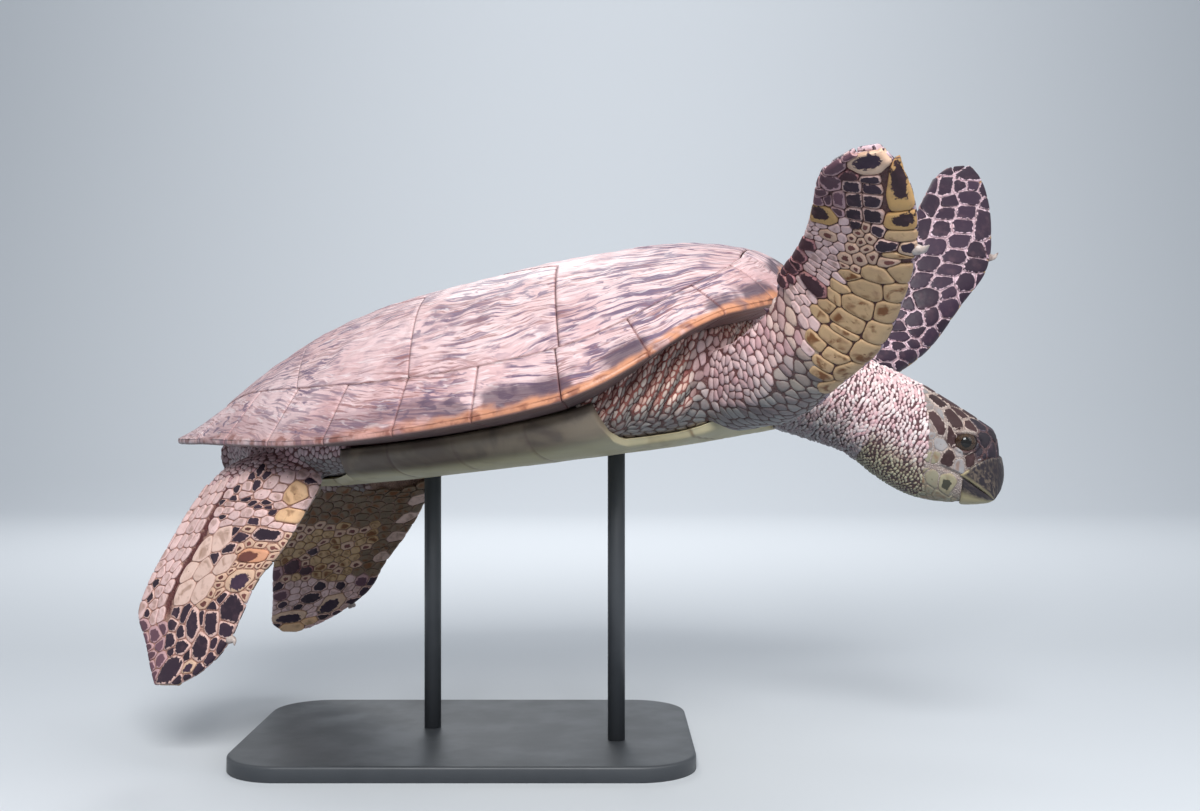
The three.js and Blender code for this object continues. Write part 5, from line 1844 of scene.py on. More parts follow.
    def mark(self, mesh: bpy.types.Mesh, p: Array, n: Array, at: Charted) -> None:
        """Keeps on each point the hide's colour, and where small scales grow, their size, lie and tints.

        Args:
            mesh: the skin.
            p: its points in the turtle's frame.
            n: its normals there.
            at: their places on the flippers.
        """
        dvu = HEAD.local(p)
        d = dvu[:, 0]
        _, away = NECK.share(p)
        length, across, upper = at.length, at.across, at.upper
        on_limb = smooth(at.nearest, 16, 7) * smooth(length, 0.04, 0.14)
        fore = p[:, 0] > 100
        begins = np.where(upper, upper_front().begins(across), under_front().begins(across))
        hind_begins = np.where(upper, upper_hind().begins(across), under_hind().begins(across))
        begins = np.where(fore, begins, hind_begins)
        free = smooth(length * on_limb, begins + 0.03, begins - 0.01) * ~self.hidden(p)
        head = (np.linalg.norm(dvu[:, 1:], axis=1) < 75) & (d < 135)
        behind_plates = smooth(d - HEAD.nape(HEAD.round_from_crown(dvu)), -1, 3)
        neck = np.where(head, behind_plates, smooth(p[:, 0], 296, 318) * smooth(away, 84, 74))
        neck = neck * (1 - on_limb) * (at.nearest > 3)
        write_values(mesh, "grit_neck", neck * free)
        write_values(mesh, "grit_shoulder", free * fore * (1 - neck) * ~head)
        write_values(mesh, "grit_hind", free * ~fore * smooth(-p[:, 0], 60, 90))

        axis = unit(np.array([0.75, 0, -0.66]))
        stray = np.stack([noise(p, 9, k) for k in (31, 32, 33)], -1)
        round_neck = unit(np.cross(axis, p - NECK.line[60])) + 0.3 * axis + 0.95 * stray
        fan = np.array([0.6, 0.1, 0.8]) + 0.35 * stray
        folded = self.flank(p, at)
        # how far each point faces down: there the scales are larger and flatter, and the colours take painted
        # shade
        low = smooth(n[:, 2], 0.15, -0.5)
        arm = on_limb * smooth(length, 0.08, 0.3)
        lie = mix(fan, at.chord + 0.25 * stray, np.maximum(on_limb, low * (1 - folded))[:, None])
        lie = mix(lie, round_neck, neck[:, None])
        write_values(mesh, "lie", unit(lie + 1e-6))
        patches = 0.5 + 0.5 * noise(p, 30, 8)
        size = mix(mix(3.3, 1.75, folded), 4.3, np.maximum(arm, low * (1 - folded)))
        write_values(mesh, "grit_rise", mix(1.0, 0.5, np.maximum(arm, low * (1 - folded))))
        write_values(mesh, "grit_size", np.where(fore, size, 2.5) * (0.85 + 0.3 * patches))
        write_values(mesh, "grit_ratio", np.where(fore, mix(mix(1.5, 2.3, folded), 1.6, arm), 1.4))
        throat = smooth(dvu[:, 2], 6, -22) * head
        write_values(mesh, "bead_size", (0.8 + 0.45 * patches) * mix(1, 0.75, throat))

        crest = self.fan(p)[:, None]
        low, folded = low[:, None], (folded * fore)[:, None]
        patchy = (0.5 + 0.5 * noise(p, 26, 4))[:, None]

        def shade(*colour: int) -> Array:
            """A screen colour as an array."""
            return np.array(srgb(*colour))

        # painted shade in the tints: dark rust in the grooves of the shoulder folds, cream on their crests,
        # and greyer and darker where the skin faces down
        tint = mix(shade(240, 208, 206), mix(shade(186, 88, 72), shade(255, 236, 220), crest), folded)
        tint = mix(tint, shade(142, 144, 138), low * 0.85)
        tint = mix(tint, shade(222, 188, 146),
                   (on_limb * smooth(length, 0.12, 0.3) * ~upper)[:, None] * patchy)
        tint = mix(tint, shade(255, 244, 240), neck[:, None] * (1 - low * 0.8))
        # the second tint takes the same painted shade
        other = mix(shade(212, 166, 168), mix(shade(136, 54, 48), shade(255, 208, 190), crest), folded)
        other = mix(other, shade(100, 102, 100), low * 0.8)
        other = mix(other, shade(226, 182, 186), neck[:, None] * (1 - low * 0.8))
        dark_arm = (on_limb * smooth(length, 0.06, 0.2) * upper * fore)[:, None]
        tint, other = mix(tint, shade(158, 120, 134), dark_arm), mix(other, shade(84, 58, 78), dark_arm)
        write_values(mesh, "tint", mix(tint, shade(190, 184, 150), throat[:, None] * 0.8))
        write_values(mesh, "tint_2", mix(other, shade(138, 130, 104), throat[:, None] * 0.8))

        hide = mix(shade(112, 70, 70), shade(136, 92, 90), patchy)
        # painted shade in the hide: dark in the grooves of the shoulder folds, paler on their crests
        hide = mix(hide, mix(shade(104, 38, 34), shade(190, 112, 98), crest), folded)
        hide = mix(hide, shade(96, 66, 74), neck[:, None])
        # painted shade: darker and greyer where the skin faces down
        hide = mix(hide, shade(70, 66, 64), low * 0.8)
        distal = (on_limb * smooth(length, begins - 0.02, begins + 0.03))[:, None]
        seams = np.where(fore[:, None], np.where(upper[:, None], shade(250, 224, 232), shade(84, 60, 60)),
                         np.where(upper[:, None], shade(206, 162, 144), shade(196, 160, 142)))
        # painted shade along the groove down each hind flipper's upper face: its seams there are darker
        fold = smooth(np.abs(across - 0.28 - 0.03 * length), 0.05, 0.02) * smooth(length, 0.66, 0.6) * upper
        seams = mix(seams, shade(104, 56, 56), fold[:, None] * ~fore[:, None])
        hide = mix(hide, seams, distal)
        on_head = (head * (1 - behind_plates))[:, None]
        # the head's ground, grey-cream above and olive on the throat; both tones are darkened a little,
        # partly as painted shade
        ground = mix(shade(198, 184, 174), shade(166, 160, 132), smooth(dvu[:, 2], -8, -30)[:, None])
        ground = mix(ground, shade(74, 62, 66), (smooth(d, 58, 46) * smooth(dvu[:, 2], 14, 26))[:, None])
        hide = mix(hide, ground, on_head)
        for side in Side:
            share = HEAD.eye_share(dvu, side)
            lid = smooth(share, 1.55, 1.2) * smooth(share, 0.2, 0.4)
            hide = mix(hide, shade(50, 42, 46), lid[:, None])
        write_values(mesh, "hide", hide)
        write_values(mesh, "unwrap", self.unwrap(p, n, at.part))

    @staticmethod
    def unwrap(p: Array, n: Array, part: Array) -> Array:
        """A flat place for each point: six views of each part, in cells of one square."""
        place = np.zeros((len(p), 3))
        axis = np.abs(n).argmax(1)
        forward = n[np.arange(len(p)), axis] > 0
        cell = part * 6 + axis * 2 + forward
        columns, rows = 6, 5
        for number in np.unique(part):
            mine = part == number
            low = p[mine].min(0)
            span = float((p[mine].max(0) - low).max())
            local = (p[mine] - low) / span
            others = np.array([(1, 2), (0, 2), (0, 1)])[axis[mine]]
            flat = np.take_along_axis(local, others, 1) * 0.94 + 0.03
            corner = np.stack([cell[mine] % columns, cell[mine] // columns], -1)
            place[mine, :2] = (corner + flat) / (columns, rows)
        return place


@dataclass
class Claw:
    """A claw on a flipper's leading edge, bent towards the tip."""

    length: float = 12.0
    root_radius: float = 5.2

    def build(self, limb: Limb, u: float, node: str) -> None:
        """Builds the claw.

        Args:
            limb: the flipper that carries it.
            u: share of the flipper's length.
            node: the node that it stands for.
        """
        lead, trail = limb.lead([u])[0], limb.trail([u])[0]
        out = unit(lead - trail)
        along = limb.lead.along([u])[0]
        root = lead + 0.6 * out
        size = self.length
        path = Spline([root - 2 * out, root + (0.45 * out + 0.15 * along) * size,
                       root + (0.8 * out + 0.62 * along) * size])
        across = unit(np.cross(out, along))
        t = np.linspace(0, 1, 24)
        radius = mix(self.root_radius, 0.4, t**1.1)
        second = unit(np.cross(path.along(t), across))
        a = np.linspace(0, 2 * math.pi, 24, endpoint=False)
        ring = 0.8 * np.cos(a)[:, None] * across + np.sin(a)[:, None] * second[:, None]
        points, faces = loft(path(t)[:, None] + radius[:, None, None] * ring)
        obj = new_object(node + "_horn", POSTURE.place(points), faces, FINISH["claw"])
        settle(obj, "claw", node)


# ------------------------------------------------------------------ scales
class Surface:
    """The finished skin, met by lines and by nearest points in the turtle's frame."""

    def __init__(self, skin: bpy.types.Object) -> None:
        """Sorts the skin's faces.

        Args:
            skin: the skin, already in the row frame.
        """
        mesh = skin.data
        world = vertices_of(mesh) / MM - np.array([0, 0, POSTURE.height])
        self.points = world @ POSTURE.matrix()
        self.normals = normals_of(mesh) @ POSTURE.matrix()
        mesh.calc_loop_triangles()
        corners = np.empty(len(mesh.loop_triangles) * 3, np.int32)
        mesh.loop_triangles.foreach_get("vertices", corners)
        self.triangles = corners.reshape(-1, 3)
        self.tree = BVHTree.FromPolygons(self.points.tolist(), self.triangles.tolist())

    def along(self, start: Array, way: Array, reach: float) -> Array | None:
        """The first place that a line meets, or none."""
        hit, _, _, _ = self.tree.ray_cast(Vector(start), Vector(way), reach)
        return None if hit is None else np.array(hit)

    def nearest(self, points: Array, reach: float) -> Array:
        """Points moved to their nearest place on the skin, where that is within reach."""
        out = points.copy()
        for i, point in enumerate(points):
            hit, _, _, _ = self.tree.find_nearest(Vector(point), reach)
            if hit is not None:
                out[i] = hit
        return out


@dataclass(frozen=True)
class Look:
    """How one kind of scale is marked."""

    dark: tuple
    pale: tuple
    mark: float = 0.5
    rise: float = 1.0
    lean: float = 0.0
    blotch: float = 0.0


OLIVE = Look(srgb(128, 84, 56), srgb(220, 182, 138), 0.0, 1.1, 0.0, 1.0)
# olive scales darkened as painted shade, for the near part of a hind flipper's under face
SHADED_OLIVE = Look(srgb(70, 50, 46), srgb(140, 120, 100), 0.0, 0.9, 0.0, 1.0)
YOLK = Look(srgb(60, 40, 46), srgb(228, 180, 118), 0.58, 1.4, 0.4, 0.4)
CREAM = Look(srgb(160, 92, 58), srgb(252, 204, 158), 0.0, 1.5, 0.0, 0.6)
IVORY = Look(srgb(58, 42, 58), srgb(246, 206, 176), 0.62, 1.4, 0.3, 0.2)
INK = Look(srgb(52, 38, 50), srgb(240, 200, 188), 0.85, 1.2)
PLUM = Look(srgb(54, 38, 54), srgb(244, 214, 224), 0.98, 1.0)
SMOKE = Look(srgb(104, 74, 84), srgb(208, 166, 168), 0.74, 1.0, 0.2)
BARK = Look(srgb(70, 44, 52), srgb(190, 134, 136), 0.88, 2.2, 0.0, 0.3)
RUST = Look(srgb(104, 62, 54), srgb(232, 168, 132), 0.55, 1.2, 0.5, 0.7)
FRECKLE = Look(srgb(112, 68, 62), srgb(234, 194, 168), 0.45, 1.0, 0.2)
ROSE = Look(srgb(180, 118, 118), srgb(252, 214, 208), 0.0, 0.8, 0.0, 0.45)
SAND = Look(srgb(166, 120, 102), srgb(246, 210, 194), 0.0, 0.25, 0.0, 0.5)
UMBER = Look(srgb(62, 42, 42), srgb(216, 198, 188), 0.92, 1.0)
SOOT = Look(srgb(40, 34, 42), srgb(104, 92, 102), 0.94, 0.8)
# the next three: grey-white scales of the head's sides, darkened and cooled partly as painted shade; then the
# chin's and throat's olive scales, darkened a little as painted shade
BONE_IN_SHADE = Look(srgb(112, 96, 90), srgb(164, 160, 160), 0.0, 0.5, 0.0, 0.5)
MOSS = Look(srgb(74, 72, 60), srgb(178, 168, 138), 0.5, 0.8, 0.1, 0.3)
REED = Look(srgb(110, 104, 80), srgb(164, 156, 132), 0.0, 0.6, 0.0, 0.6)
BARE = Look(srgb(0, 0, 0), srgb(0, 0, 0), 0.0, 0.0)


@dataclass(frozen=True)
class Row:
    """Scales in a line over a face, by shares of its length and width, with their half sizes in millimetres.

    A long scale also has half the length of its middle line, along the face and across it.
    """

    start: tuple
    stop: tuple
    count: int
    sizes: tuple
    look: Look
    long: tuple = (0.0, 0.0)


def plate(u: float, w: float, size: float, look: Look, long: tuple = (0.0, 0.0)) -> Row:
    """One scale by itself."""
    return Row((u, w), (u, w), 1, (size, size), look, long)


@dataclass(frozen=True)
class Layout:
    """Where the scales of a face lie: rows placed one by one, and a fill between them."""

    rows: tuple
    begins: Profile
    fill: Callable[[float, float], tuple]
    seam: float = 1.3


def clipped(outline: list, nx: float, ny: float, offset: float) -> list:
    """A convex outline cut to the side where the normal times the point is at most the offset."""
    kept = []
    for (ax, ay), (bx, by) in zip(outline, outline[1:] + outline[:1]):
        a, b = nx * ax + ny * ay - offset, nx * bx + ny * by - offset
        if a <= 0:
            kept.append((ax, ay))
        if a * b < 0:
            t = a / (a - b)
            kept.append((ax + (bx - ax) * t, ay + (by - ay) * t))
    return kept


def spines(sites: Array, longs: Array, count: int = 5) -> Array:
    """Points along the middle line of each scale."""
    return sites[:, None] + longs[:, None] * np.linspace(-1, 1, count)[None, :, None]


def cell_outlines(
    sites: Array, sizes: Array, longs: Array, seam: float, limits: Callable[[Array], list]
) -> list:
    """The outline round each scale's middle line that is nearer to it than to the others, less half a seam.

    Args:
        sites: flat places.
        sizes: half sizes; a larger scale takes more room.
        longs: half of each scale's middle line, nothing for a round one.
        seam: width of the gap between two outlines.
        limits: gives the half planes, as (nx, ny, offset), that a scale's outline stays in.

    Returns:
        One list of corners a scale, empty where nothing is left.
    """
    outlines = []
    lines = spines(sites, longs)
    reach_of = np.hypot(*longs.T)
    for i, (site, size) in enumerate(zip(sites, sizes)):
        far = np.hypot(*(sites - site).T) - reach_of
        far[i] = 1e9
        (x, y), (rx, ry) = site, 2.2 * size + 3 + np.abs(longs[i])
        outline = [(x - rx, y - ry), (x + rx, y - ry), (x + rx, y + ry), (x - rx, y + ry)]
        for j in np.argsort(far)[:24]:
            away = lines[j][None] - lines[i][:, None]
            gap = np.hypot(away[..., 0], away[..., 1])
            a, b = np.unravel_index(gap.argmin(), gap.shape)
            d = gap[a, b]
            if d < 1e-6:
                continue
            normal = away[a, b] / d
            middle = (d * d + size**2 - sizes[j] ** 2) / (2 * d)
            middle = min(max(middle, 0.25 * d), 0.75 * d) - seam / 2
            outline = clipped(outline, *normal, float(normal @ lines[i][a]) + middle)
            if len(outline) < 3:
                break
        for nx, ny, offset in limits(site):
            outline = clipped(outline, nx, ny, offset) if len(outline) > 2 else outline
        outlines.append(outline if len(outline) > 2 else [])
    return outlines


def rounded(outline: list | Array, count: int) -> Array:
    """The outline with its corners cut twice, as evenly spaced points."""
    p = np.array(outline)
    for cut in (0.13, 0.22):
        q = np.roll(p, -1, 0)
        p = np.stack([p * (1 - cut) + q * cut, p * cut + q * (1 - cut)], 1).reshape(-1, 2)
    closed = np.vstack([p, p[:1]])
    run = np.concatenate([[0], np.cumsum(np.linalg.norm(np.diff(closed, axis=0), axis=1))])
    at = np.linspace(0, run[-1], count, endpoint=False)
    return np.stack([np.interp(at, run, closed[:, k]) for k in (0, 1)], -1)


@dataclass
class Plates:
    """A coat of scales cut from flat outlines, each a low cushion with a skirt that sinks into the skin."""

    name: str
    seat: Callable[[Array, Array], Array]
    seed: int
    skirt: float = 1.9
    big_rings: tuple = ((1.0, -9), (1.0, 0.12), (0.95, 0.55), (0.87, 0.84), (0.68, 0.97), (0.36, 1.0))
    small_rings: tuple = ((1.0, -9), (0.98, 0.2), (0.82, 0.82), (0.45, 1.0))

    def build(self, sizes: Array, looks: list, outlines: list) -> None:
        """Builds the coat.

        Args:
            sizes: half sizes.
            looks: how each is marked.
            outlines: the corners of each; an empty one isn't built.
        """
        rng = np.random.default_rng(self.seed)
        flat, rise, kept, faces, corner, base = [], [], [], [], [], 0
        for size, look, outline in zip(sizes, looks, outlines):
            tone, lean_turn, fade = rng.uniform(0.75, 1.35), rng.normal(0, 0.5), rng.uniform(0.86, 1.06)
            if not outline or look is BARE:
                continue
            edge = np.array(outline)
            loop = np.vstack([edge, edge[:1]])
            around = float(np.linalg.norm(np.diff(loop, axis=0), axis=1).sum())
            if around < 5:
                continue
            big = around > 26
            count = int(np.clip(around / 1.9, 9, 34))
            shape = self.big_rings if big else self.small_rings
            edge = rounded(outline, count)
            middle = edge.mean(0)
            height = look.rise * min(1.0, 0.4 + around / 60) * rng.uniform(0.85, 1.15)
            rings = np.array([middle + (edge - middle) * share for share, _ in shape])
            lifts = np.array([-self.skirt if h == -9 else h * height for _, h in shape])
            flat.append(np.vstack([rings.reshape(-1, 2), middle, middle]))
            rise.append(np.concatenate([np.repeat(lifts, count), [height * 1.01, -self.skirt]]))
            total = len(shape) * count
            out = unit(np.concatenate([edge - middle] * len(shape)))
            shares = np.repeat([share for share, _ in shape], count)
            lean = np.array([math.cos(lean_turn), math.sin(lean_turn)])
            spot = shares - look.lean * shares * (out @ lean)
            spot = np.concatenate([spot, [0.0, 1.0]])
            full = np.ones(total + 2)
            kept.append((spot, np.concatenate([shares, [0.0, 1.0]]),
                         full * look.mark * rng.uniform(0.92, 1.06),
                         full * look.blotch, np.outer(full, np.array(look.dark) * tone),
                         np.outer(full, np.array(look.pale) * fade)))
            quads = grid_faces(len(shape), count, True) + base
            j = np.arange(count)
            k = (j + 1) % count
            last = base + (len(shape) - 1) * count
            top = np.stack([last + j, last + k, np.full(count, base + total)], -1)
            bottom = np.stack([base + k, base + j, np.full(count, base + total + 1)], -1)
            faces += quads.tolist() + top.tolist() + bottom.tolist()
            # on the bake's map the skirt and the underside are slivers just outside the scale's edge
            place = flat[-1].copy()
            place[:count] = middle + (edge - middle) * (1 + 0.4 / max(size, 1))
            sliver = (bottom - base).ravel().copy()
            sliver[2::3] = sliver[0::3]
            corner += [place[(quads - base).ravel()], place[(top - base).ravel()], place[sliver]]
            base += total + 2
        flat, rise, corner = np.vstack(flat), np.concatenate(rise), np.vstack(corner)
        low = flat.min(0) - 3
        span = float((flat.max(0) + 3 - low).max())
        points = POSTURE.place(self.seat(flat, rise))
        obj = new_object(self.name, points, faces, FINISH["scale"], (corner - low) / span)
        for column, key in enumerate(("spot", "seam", "mark", "blotch", "dark", "pale")):
            write_values(obj.data, key, np.concatenate([row[column] for row in kept]))
        settle(obj, "skin")


@dataclass
class LimbCoat:
    """The scales of one face of a flipper."""

    limb: Limb
    face: Face
    layout: Layout
    seed: int

    def flat(self, u: float, w: float) -> tuple[float, float]:
        """A flat place from shares of the length and width."""
        width = float(np.interp(u, self.limb.u, self.limb.width[self.face]))
        return float(np.interp(u, self.limb.u, self.limb.run)), (w - 0.5) * width

    def shares(self, x: float, y: float) -> tuple[float, float]:
        """Shares of the length and width from a flat place."""
        u = float(np.interp(x, self.limb.run, self.limb.u))
        return u, y / float(np.interp(u, self.limb.u, self.limb.width[self.face])) + 0.5

    def limits(self, site: Array) -> list:
        """Half planes along the face's edges near a site."""
        x = float(site[0])
        u0, _ = self.shares(x - 4, 0)
        u1, _ = self.shares(x + 4, 0)
        half = np.interp([u0, u1], self.limb.u, self.limb.width[self.face]) / 2
        slope = (half[1] - half[0]) / 8
        here = half.mean()
        over = 0.9 + 0.6 * noise(np.array([[x, self.seed, 0.0]]), 12, self.seed)[0]
        size = math.hypot(1, slope)
        top = (-slope / size, 1 / size, (here + over - slope * x) / size)
        low = (-slope / size, -1 / size, (here + over - slope * x) / size)
        return [top, low, (1.0, 0.0, float(self.limb.run[-1]) + 1.0)]

    def build(self) -> None:
        """Lays the rows, fills between them, and builds the scales."""
        rng = np.random.default_rng(self.seed)
        sites, sizes, longs, looks = [], [], [], []
        for row in self.layout.rows:
            for t in np.linspace(0, 1, row.count) if row.count > 1 else [0.5]:
                u, w = mix(row.start[0], row.stop[0], t), mix(row.start[1], row.stop[1], t)
                sites.append(self.flat(u, w))
                sizes.append(mix(row.sizes[0], row.sizes[1], t))
                longs.append(row.long)
                looks.append(row.look)
        fixed = len(sites)
        sites, sizes, longs = np.array(sites, float), np.array(sizes, float), np.array(longs, float)
        low_x = self.flat(float(self.layout.begins.y.min()) - 0.03, 0)[0]
        for _ in range(4200):
            x = rng.uniform(low_x, self.limb.run[-1])
            u, _ = self.shares(x, 0)
            here = np.array([self.flat(u, rng.uniform(0.01, 0.99))])
            size, look, long = self.layout.fill(u, self.shares(*here[0])[1])
            size *= rng.uniform(0.85, 1.15)
            mine = spines(here, np.array([long], float), 3)[0]
            away = spines(sites, longs, 3)[:, :, None] - mine[None, None]
            gap = np.hypot(away[..., 0], away[..., 1]).min((1, 2)) - 0.88 * (sizes + size)
            if gap.min() > 0:
                sites, sizes = np.vstack([sites, here]), np.append(sizes, size)
                longs = np.vstack([longs, long])
                looks.append(look)
        for _ in range(2):
            outlines = cell_outlines(sites, sizes, longs, 0.0, self.limits)
            for i in range(fixed, len(sites)):
                if outlines[i]:
                    sites[i] = mix(sites[i], np.mean(outlines[i], 0), 0.6)
        outlines = cell_outlines(sites, sizes, longs, self.layout.seam, self.limits)
        for i, (x, y) in enumerate(sites):
            u, w = self.shares(x, y)
            if u < self.layout.begins(w):
                outlines[i] = []
        name = f"scales_{self.limb.node}_{self.face.name.lower()}"
        Plates(name, self.seated, self.seed + 50).build(sizes, looks, outlines)

    def seated(self, flat: Array, rise: Array) -> Array:
        """Sets flat places on the face, at a height."""
        points, normal = self.limb.at(flat[:, 0], flat[:, 1], self.face)
        return points + normal * rise[:, None]


def under_front() -> Layout:
    """Under face of a front flipper: big plates in front and at the tip, dark ones in files, beads behind."""
    rows = (
        plate(0.925, 0.63, 13, IVORY, (0, 6)), plate(0.77, 0.86, 12, YOLK, (13, 0)),
        plate(0.685, 0.86, 11, YOLK, (0, 3)),
        plate(0.635, 0.87, 5, OLIVE, (0, 7)), plate(0.592, 0.965, 8.5, IVORY, (0, 2)),
        plate(0.575, 0.86, 5, OLIVE, (0, 6)),
        Row((0.83, 0.615), (0.69, 0.63), 4, (7, 7), INK, (0, 3.5)), plate(0.645, 0.66, 5.5, INK),
        plate(0.86, 0.37, 8.5, BARK, (0, 2)), Row((0.785, 0.41), (0.685, 0.44), 3, (7.5, 5.5), INK, (0, 2.5)),
        plate(0.65, 0.46, 4.5, INK), plate(0.9, 0.17, 9, SMOKE, (0, 2)), plate(0.79, 0.17, 9.5, SMOKE),
        plate(0.725, 0.28, 7, SMOKE, (3, 0)), plate(0.65, 0.12, 13, YOLK, (0, 2)),
        plate(0.578, 0.22, 5.5, FRECKLE, (0, 3)),
        plate(0.515, 0.07, 8.5, BARK), plate(0.45, 0.05, 9, BARK), plate(0.385, 0.04, 9.5, BARK),
        plate(0.32, 0.06, 8, BARK), plate(0.395, 0.31, 9, BARK, (0, 6)),
        plate(0.6, 0.75, 6, INK, (0, 2)), plate(0.558, 0.78, 5.5, FRECKLE, (0, 3)),
        plate(0.558, 0.66, 5.5, FRECKLE),
        plate(0.54, 0.56, 6.5, FRECKLE), plate(0.525, 0.44, 5.5, FRECKLE, (0, 1.5)),
        plate(0.517, 0.75, 7, OLIVE, (0, 8)), Row((0.53, 0.93), (0.22, 0.93), 7, (8.5, 8), OLIVE, (0, 5)),
        Row((0.468, 0.7), (0.32, 0.66), 4, (8, 6.5), OLIVE, (0, 8)), plate(0.483, 0.53, 6, OLIVE, (0, 3)),
        Row((0.44, 0.5), (0.34, 0.46), 4, (5, 4.5), OLIVE, (0, 4)),
    )

    def fill(u: float, w: float) -> tuple:
        """Size, look and length of the scales between, by share along and across."""
        if u > 0.84:
            return 7.0, SMOKE if w < 0.5 else BARK, (0, 0)
        if w > 0.78:
            return (7.0, OLIVE, (0, 3))
        if u > 0.66:
            return (4.4, FRECKLE, (0, 0)) if w > 0.33 else (5.0, SMOKE, (0, 0))
        if u > 0.5:
            return (4.2, FRECKLE, (0, 0)) if w > 0.38 else (3.4, ROSE, (0, 0))
        if w < 0.16:
            return 6.0, BARK, (0, 0)
        return (4.6, OLIVE, (0, 4)) if w > 0.55 else (3.4, ROSE, (0, 2))

    return Layout(rows, Profile([(0, 0.28), (0.3, 0.3), (0.6, 0.25), (1, 0.17)]), fill, 0.8)


def upper_front() -> Layout:
    """Upper face of a front flipper: big dark plates in three or four files, with pale seams."""
    rows = (
        Row((0.9, 0.74), (0.755, 0.68), 2, (11, 10), PLUM, (0, 5)), plate(0.81, 0.27, 10, PLUM, (6, 0)),
        plate(0.675, 0.885, 9, PLUM, (11, 0)), Row((0.6, 0.83), (0.56, 0.85), 2, (6.5, 6.5), PLUM, (0, 4)),
        Row((0.5, 0.84), (0.2, 0.84), 5, (12, 11), PLUM),
        Row((0.7, 0.61), (0.49, 0.56), 6, (7.5, 8), PLUM, (0, 2)),
        Row((0.435, 0.48), (0.25, 0.52), 4, (11.5, 9.5), PLUM),
        Row((0.7, 0.38), (0.49, 0.32), 5, (8, 8), PLUM, (0, 2)),
        Row((0.72, 0.14), (0.36, 0.12), 6, (9, 9), PLUM, (3, 0)),
    )

    def fill(u: float, w: float) -> tuple:
        """Size, look and length of the scales between, by share along and across."""
        return 8.5, PLUM, (0, 0)

    return Layout(rows, Profile([(0, 0.26), (0.5, 0.2), (1, 0.12)]), fill, 1.25)


def upper_hind() -> Layout:
    """Upper face of a hind flipper: cream plates in front, dark ones beyond, a strip behind a fold."""
    rows = (
        plate(0.18, 0.89, 13, CREAM), plate(0.255, 0.92, 8.5, CREAM, (0, 6)),
        plate(0.325, 0.85, 8, INK, (0, 9)),
        plate(0.4, 0.83, 9, RUST, (0, 8)), plate(0.49, 0.87, 13.5, IVORY, (0, 3)), plate(0.6, 0.9, 13, INK),
        plate(0.66, 0.75, 10, INK, (5, 0)), plate(0.675, 0.59, 9, INK, (5, 0)),
        plate(0.76, 0.74, 10, INK, (6, 0)),
        plate(0.775, 0.5, 8.5, INK), plate(0.9, 0.46, 13, INK, (5, 0)), plate(0.86, 0.77, 8, IVORY),
        plate(0.72, 0.16, 9, SMOKE), plate(0.84, 0.24, 8, SMOKE), plate(0.745, 0.34, 6, INK, (3, 0)),
        Row((0.29, 0.7), (0.38, 0.63), 3, (4.8, 4.8), INK, (0, 2)),
        Row((0.32, 0.58), (0.42, 0.54), 2, (4, 4), INK),
        Row((0.565, 0.79), (0.64, 0.68), 3, (5, 5), INK), plate(0.625, 0.42, 5.5, INK),
        Row((0.5, 0.1), (0.62, 0.12), 3, (3.6, 4), INK), Row((0.1, 0.28), (0.64, 0.3), 30, (1.7, 1.7), BARE),
    )

    def fill(u: float, w: float) -> tuple:
        """Size, look and length of the scales between, by share along and across."""
        if u > 0.64:
            return 6.0, INK if w > 0.3 else SMOKE, (0, 0)
        if w < 0.29:
            return 4.4, ROSE, (2, 0)
        if u < 0.3:
            return (2.6, INK, (0, 2)) if (u * 37 + w * 11) % 1 < 0.2 else (3.8, ROSE, (0, 2.5))
        return (4.6, FRECKLE, (0, 0)) if w > 0.66 else (9.0, SAND, (3, 0))

    return Layout(rows, Profile([(0, 0.2), (0.5, 0.14), (1, 0.1)]), fill, 0.9)


def under_hind() -> Layout:
    """Under face of a hind flipper: small beads above, ringed dark plates below, cream ones at the tip."""
    rows = (
        plate(0.8, 0.27, 16, IVORY, (0, 6)), plate(0.7, 0.72, 15, IVORY, (4, 0)),
        plate(0.94, 0.5, 12, CREAM, (0, 4)),
        plate(0.48, 0.18, 11.5, BARK), plate(0.51, 0.03, 11, SMOKE), plate(0.66, 0.44, 9, INK, (0, 4)),
        plate(0.59, 0.49, 6, INK, (0, 3)), plate(0.59, 0.68, 6.5, INK, (0, 1)), plate(0.415, 0.32, 5.5, INK),
        plate(0.5, 0.31, 7.5, BARK), plate(0.57, 0.87, 8, SMOKE), plate(0.64, 0.1, 10, SMOKE),
        plate(0.83, 0.72, 9, CREAM), Row((0.46, 0.92), (0.2, 0.92), 4, (8.5, 9), SAND),
    )

    def fill(u: float, w: float) -> tuple:
        """Size, look and length of the scales between, by share along and across."""
        if u > 0.55:
            return (6.4, INK, (0, 1)) if (u * 53 + w * 29) % 1 < 0.6 else (4.6, ROSE, (0, 0))
        if u > 0.3 and w < 0.75:
            return 4.8, FRECKLE if (u * 31 + w * 17) % 1 < 0.3 else OLIVE, (0, 1)
        # painted shade: the near part of the under face takes darkened olive scales
        return 4.6, SHADED_OLIVE, (0, 2)

    return Layout(rows, Profile([(0, 0.2), (0.5, 0.14), (1, 0.12)]), fill, 0.9)


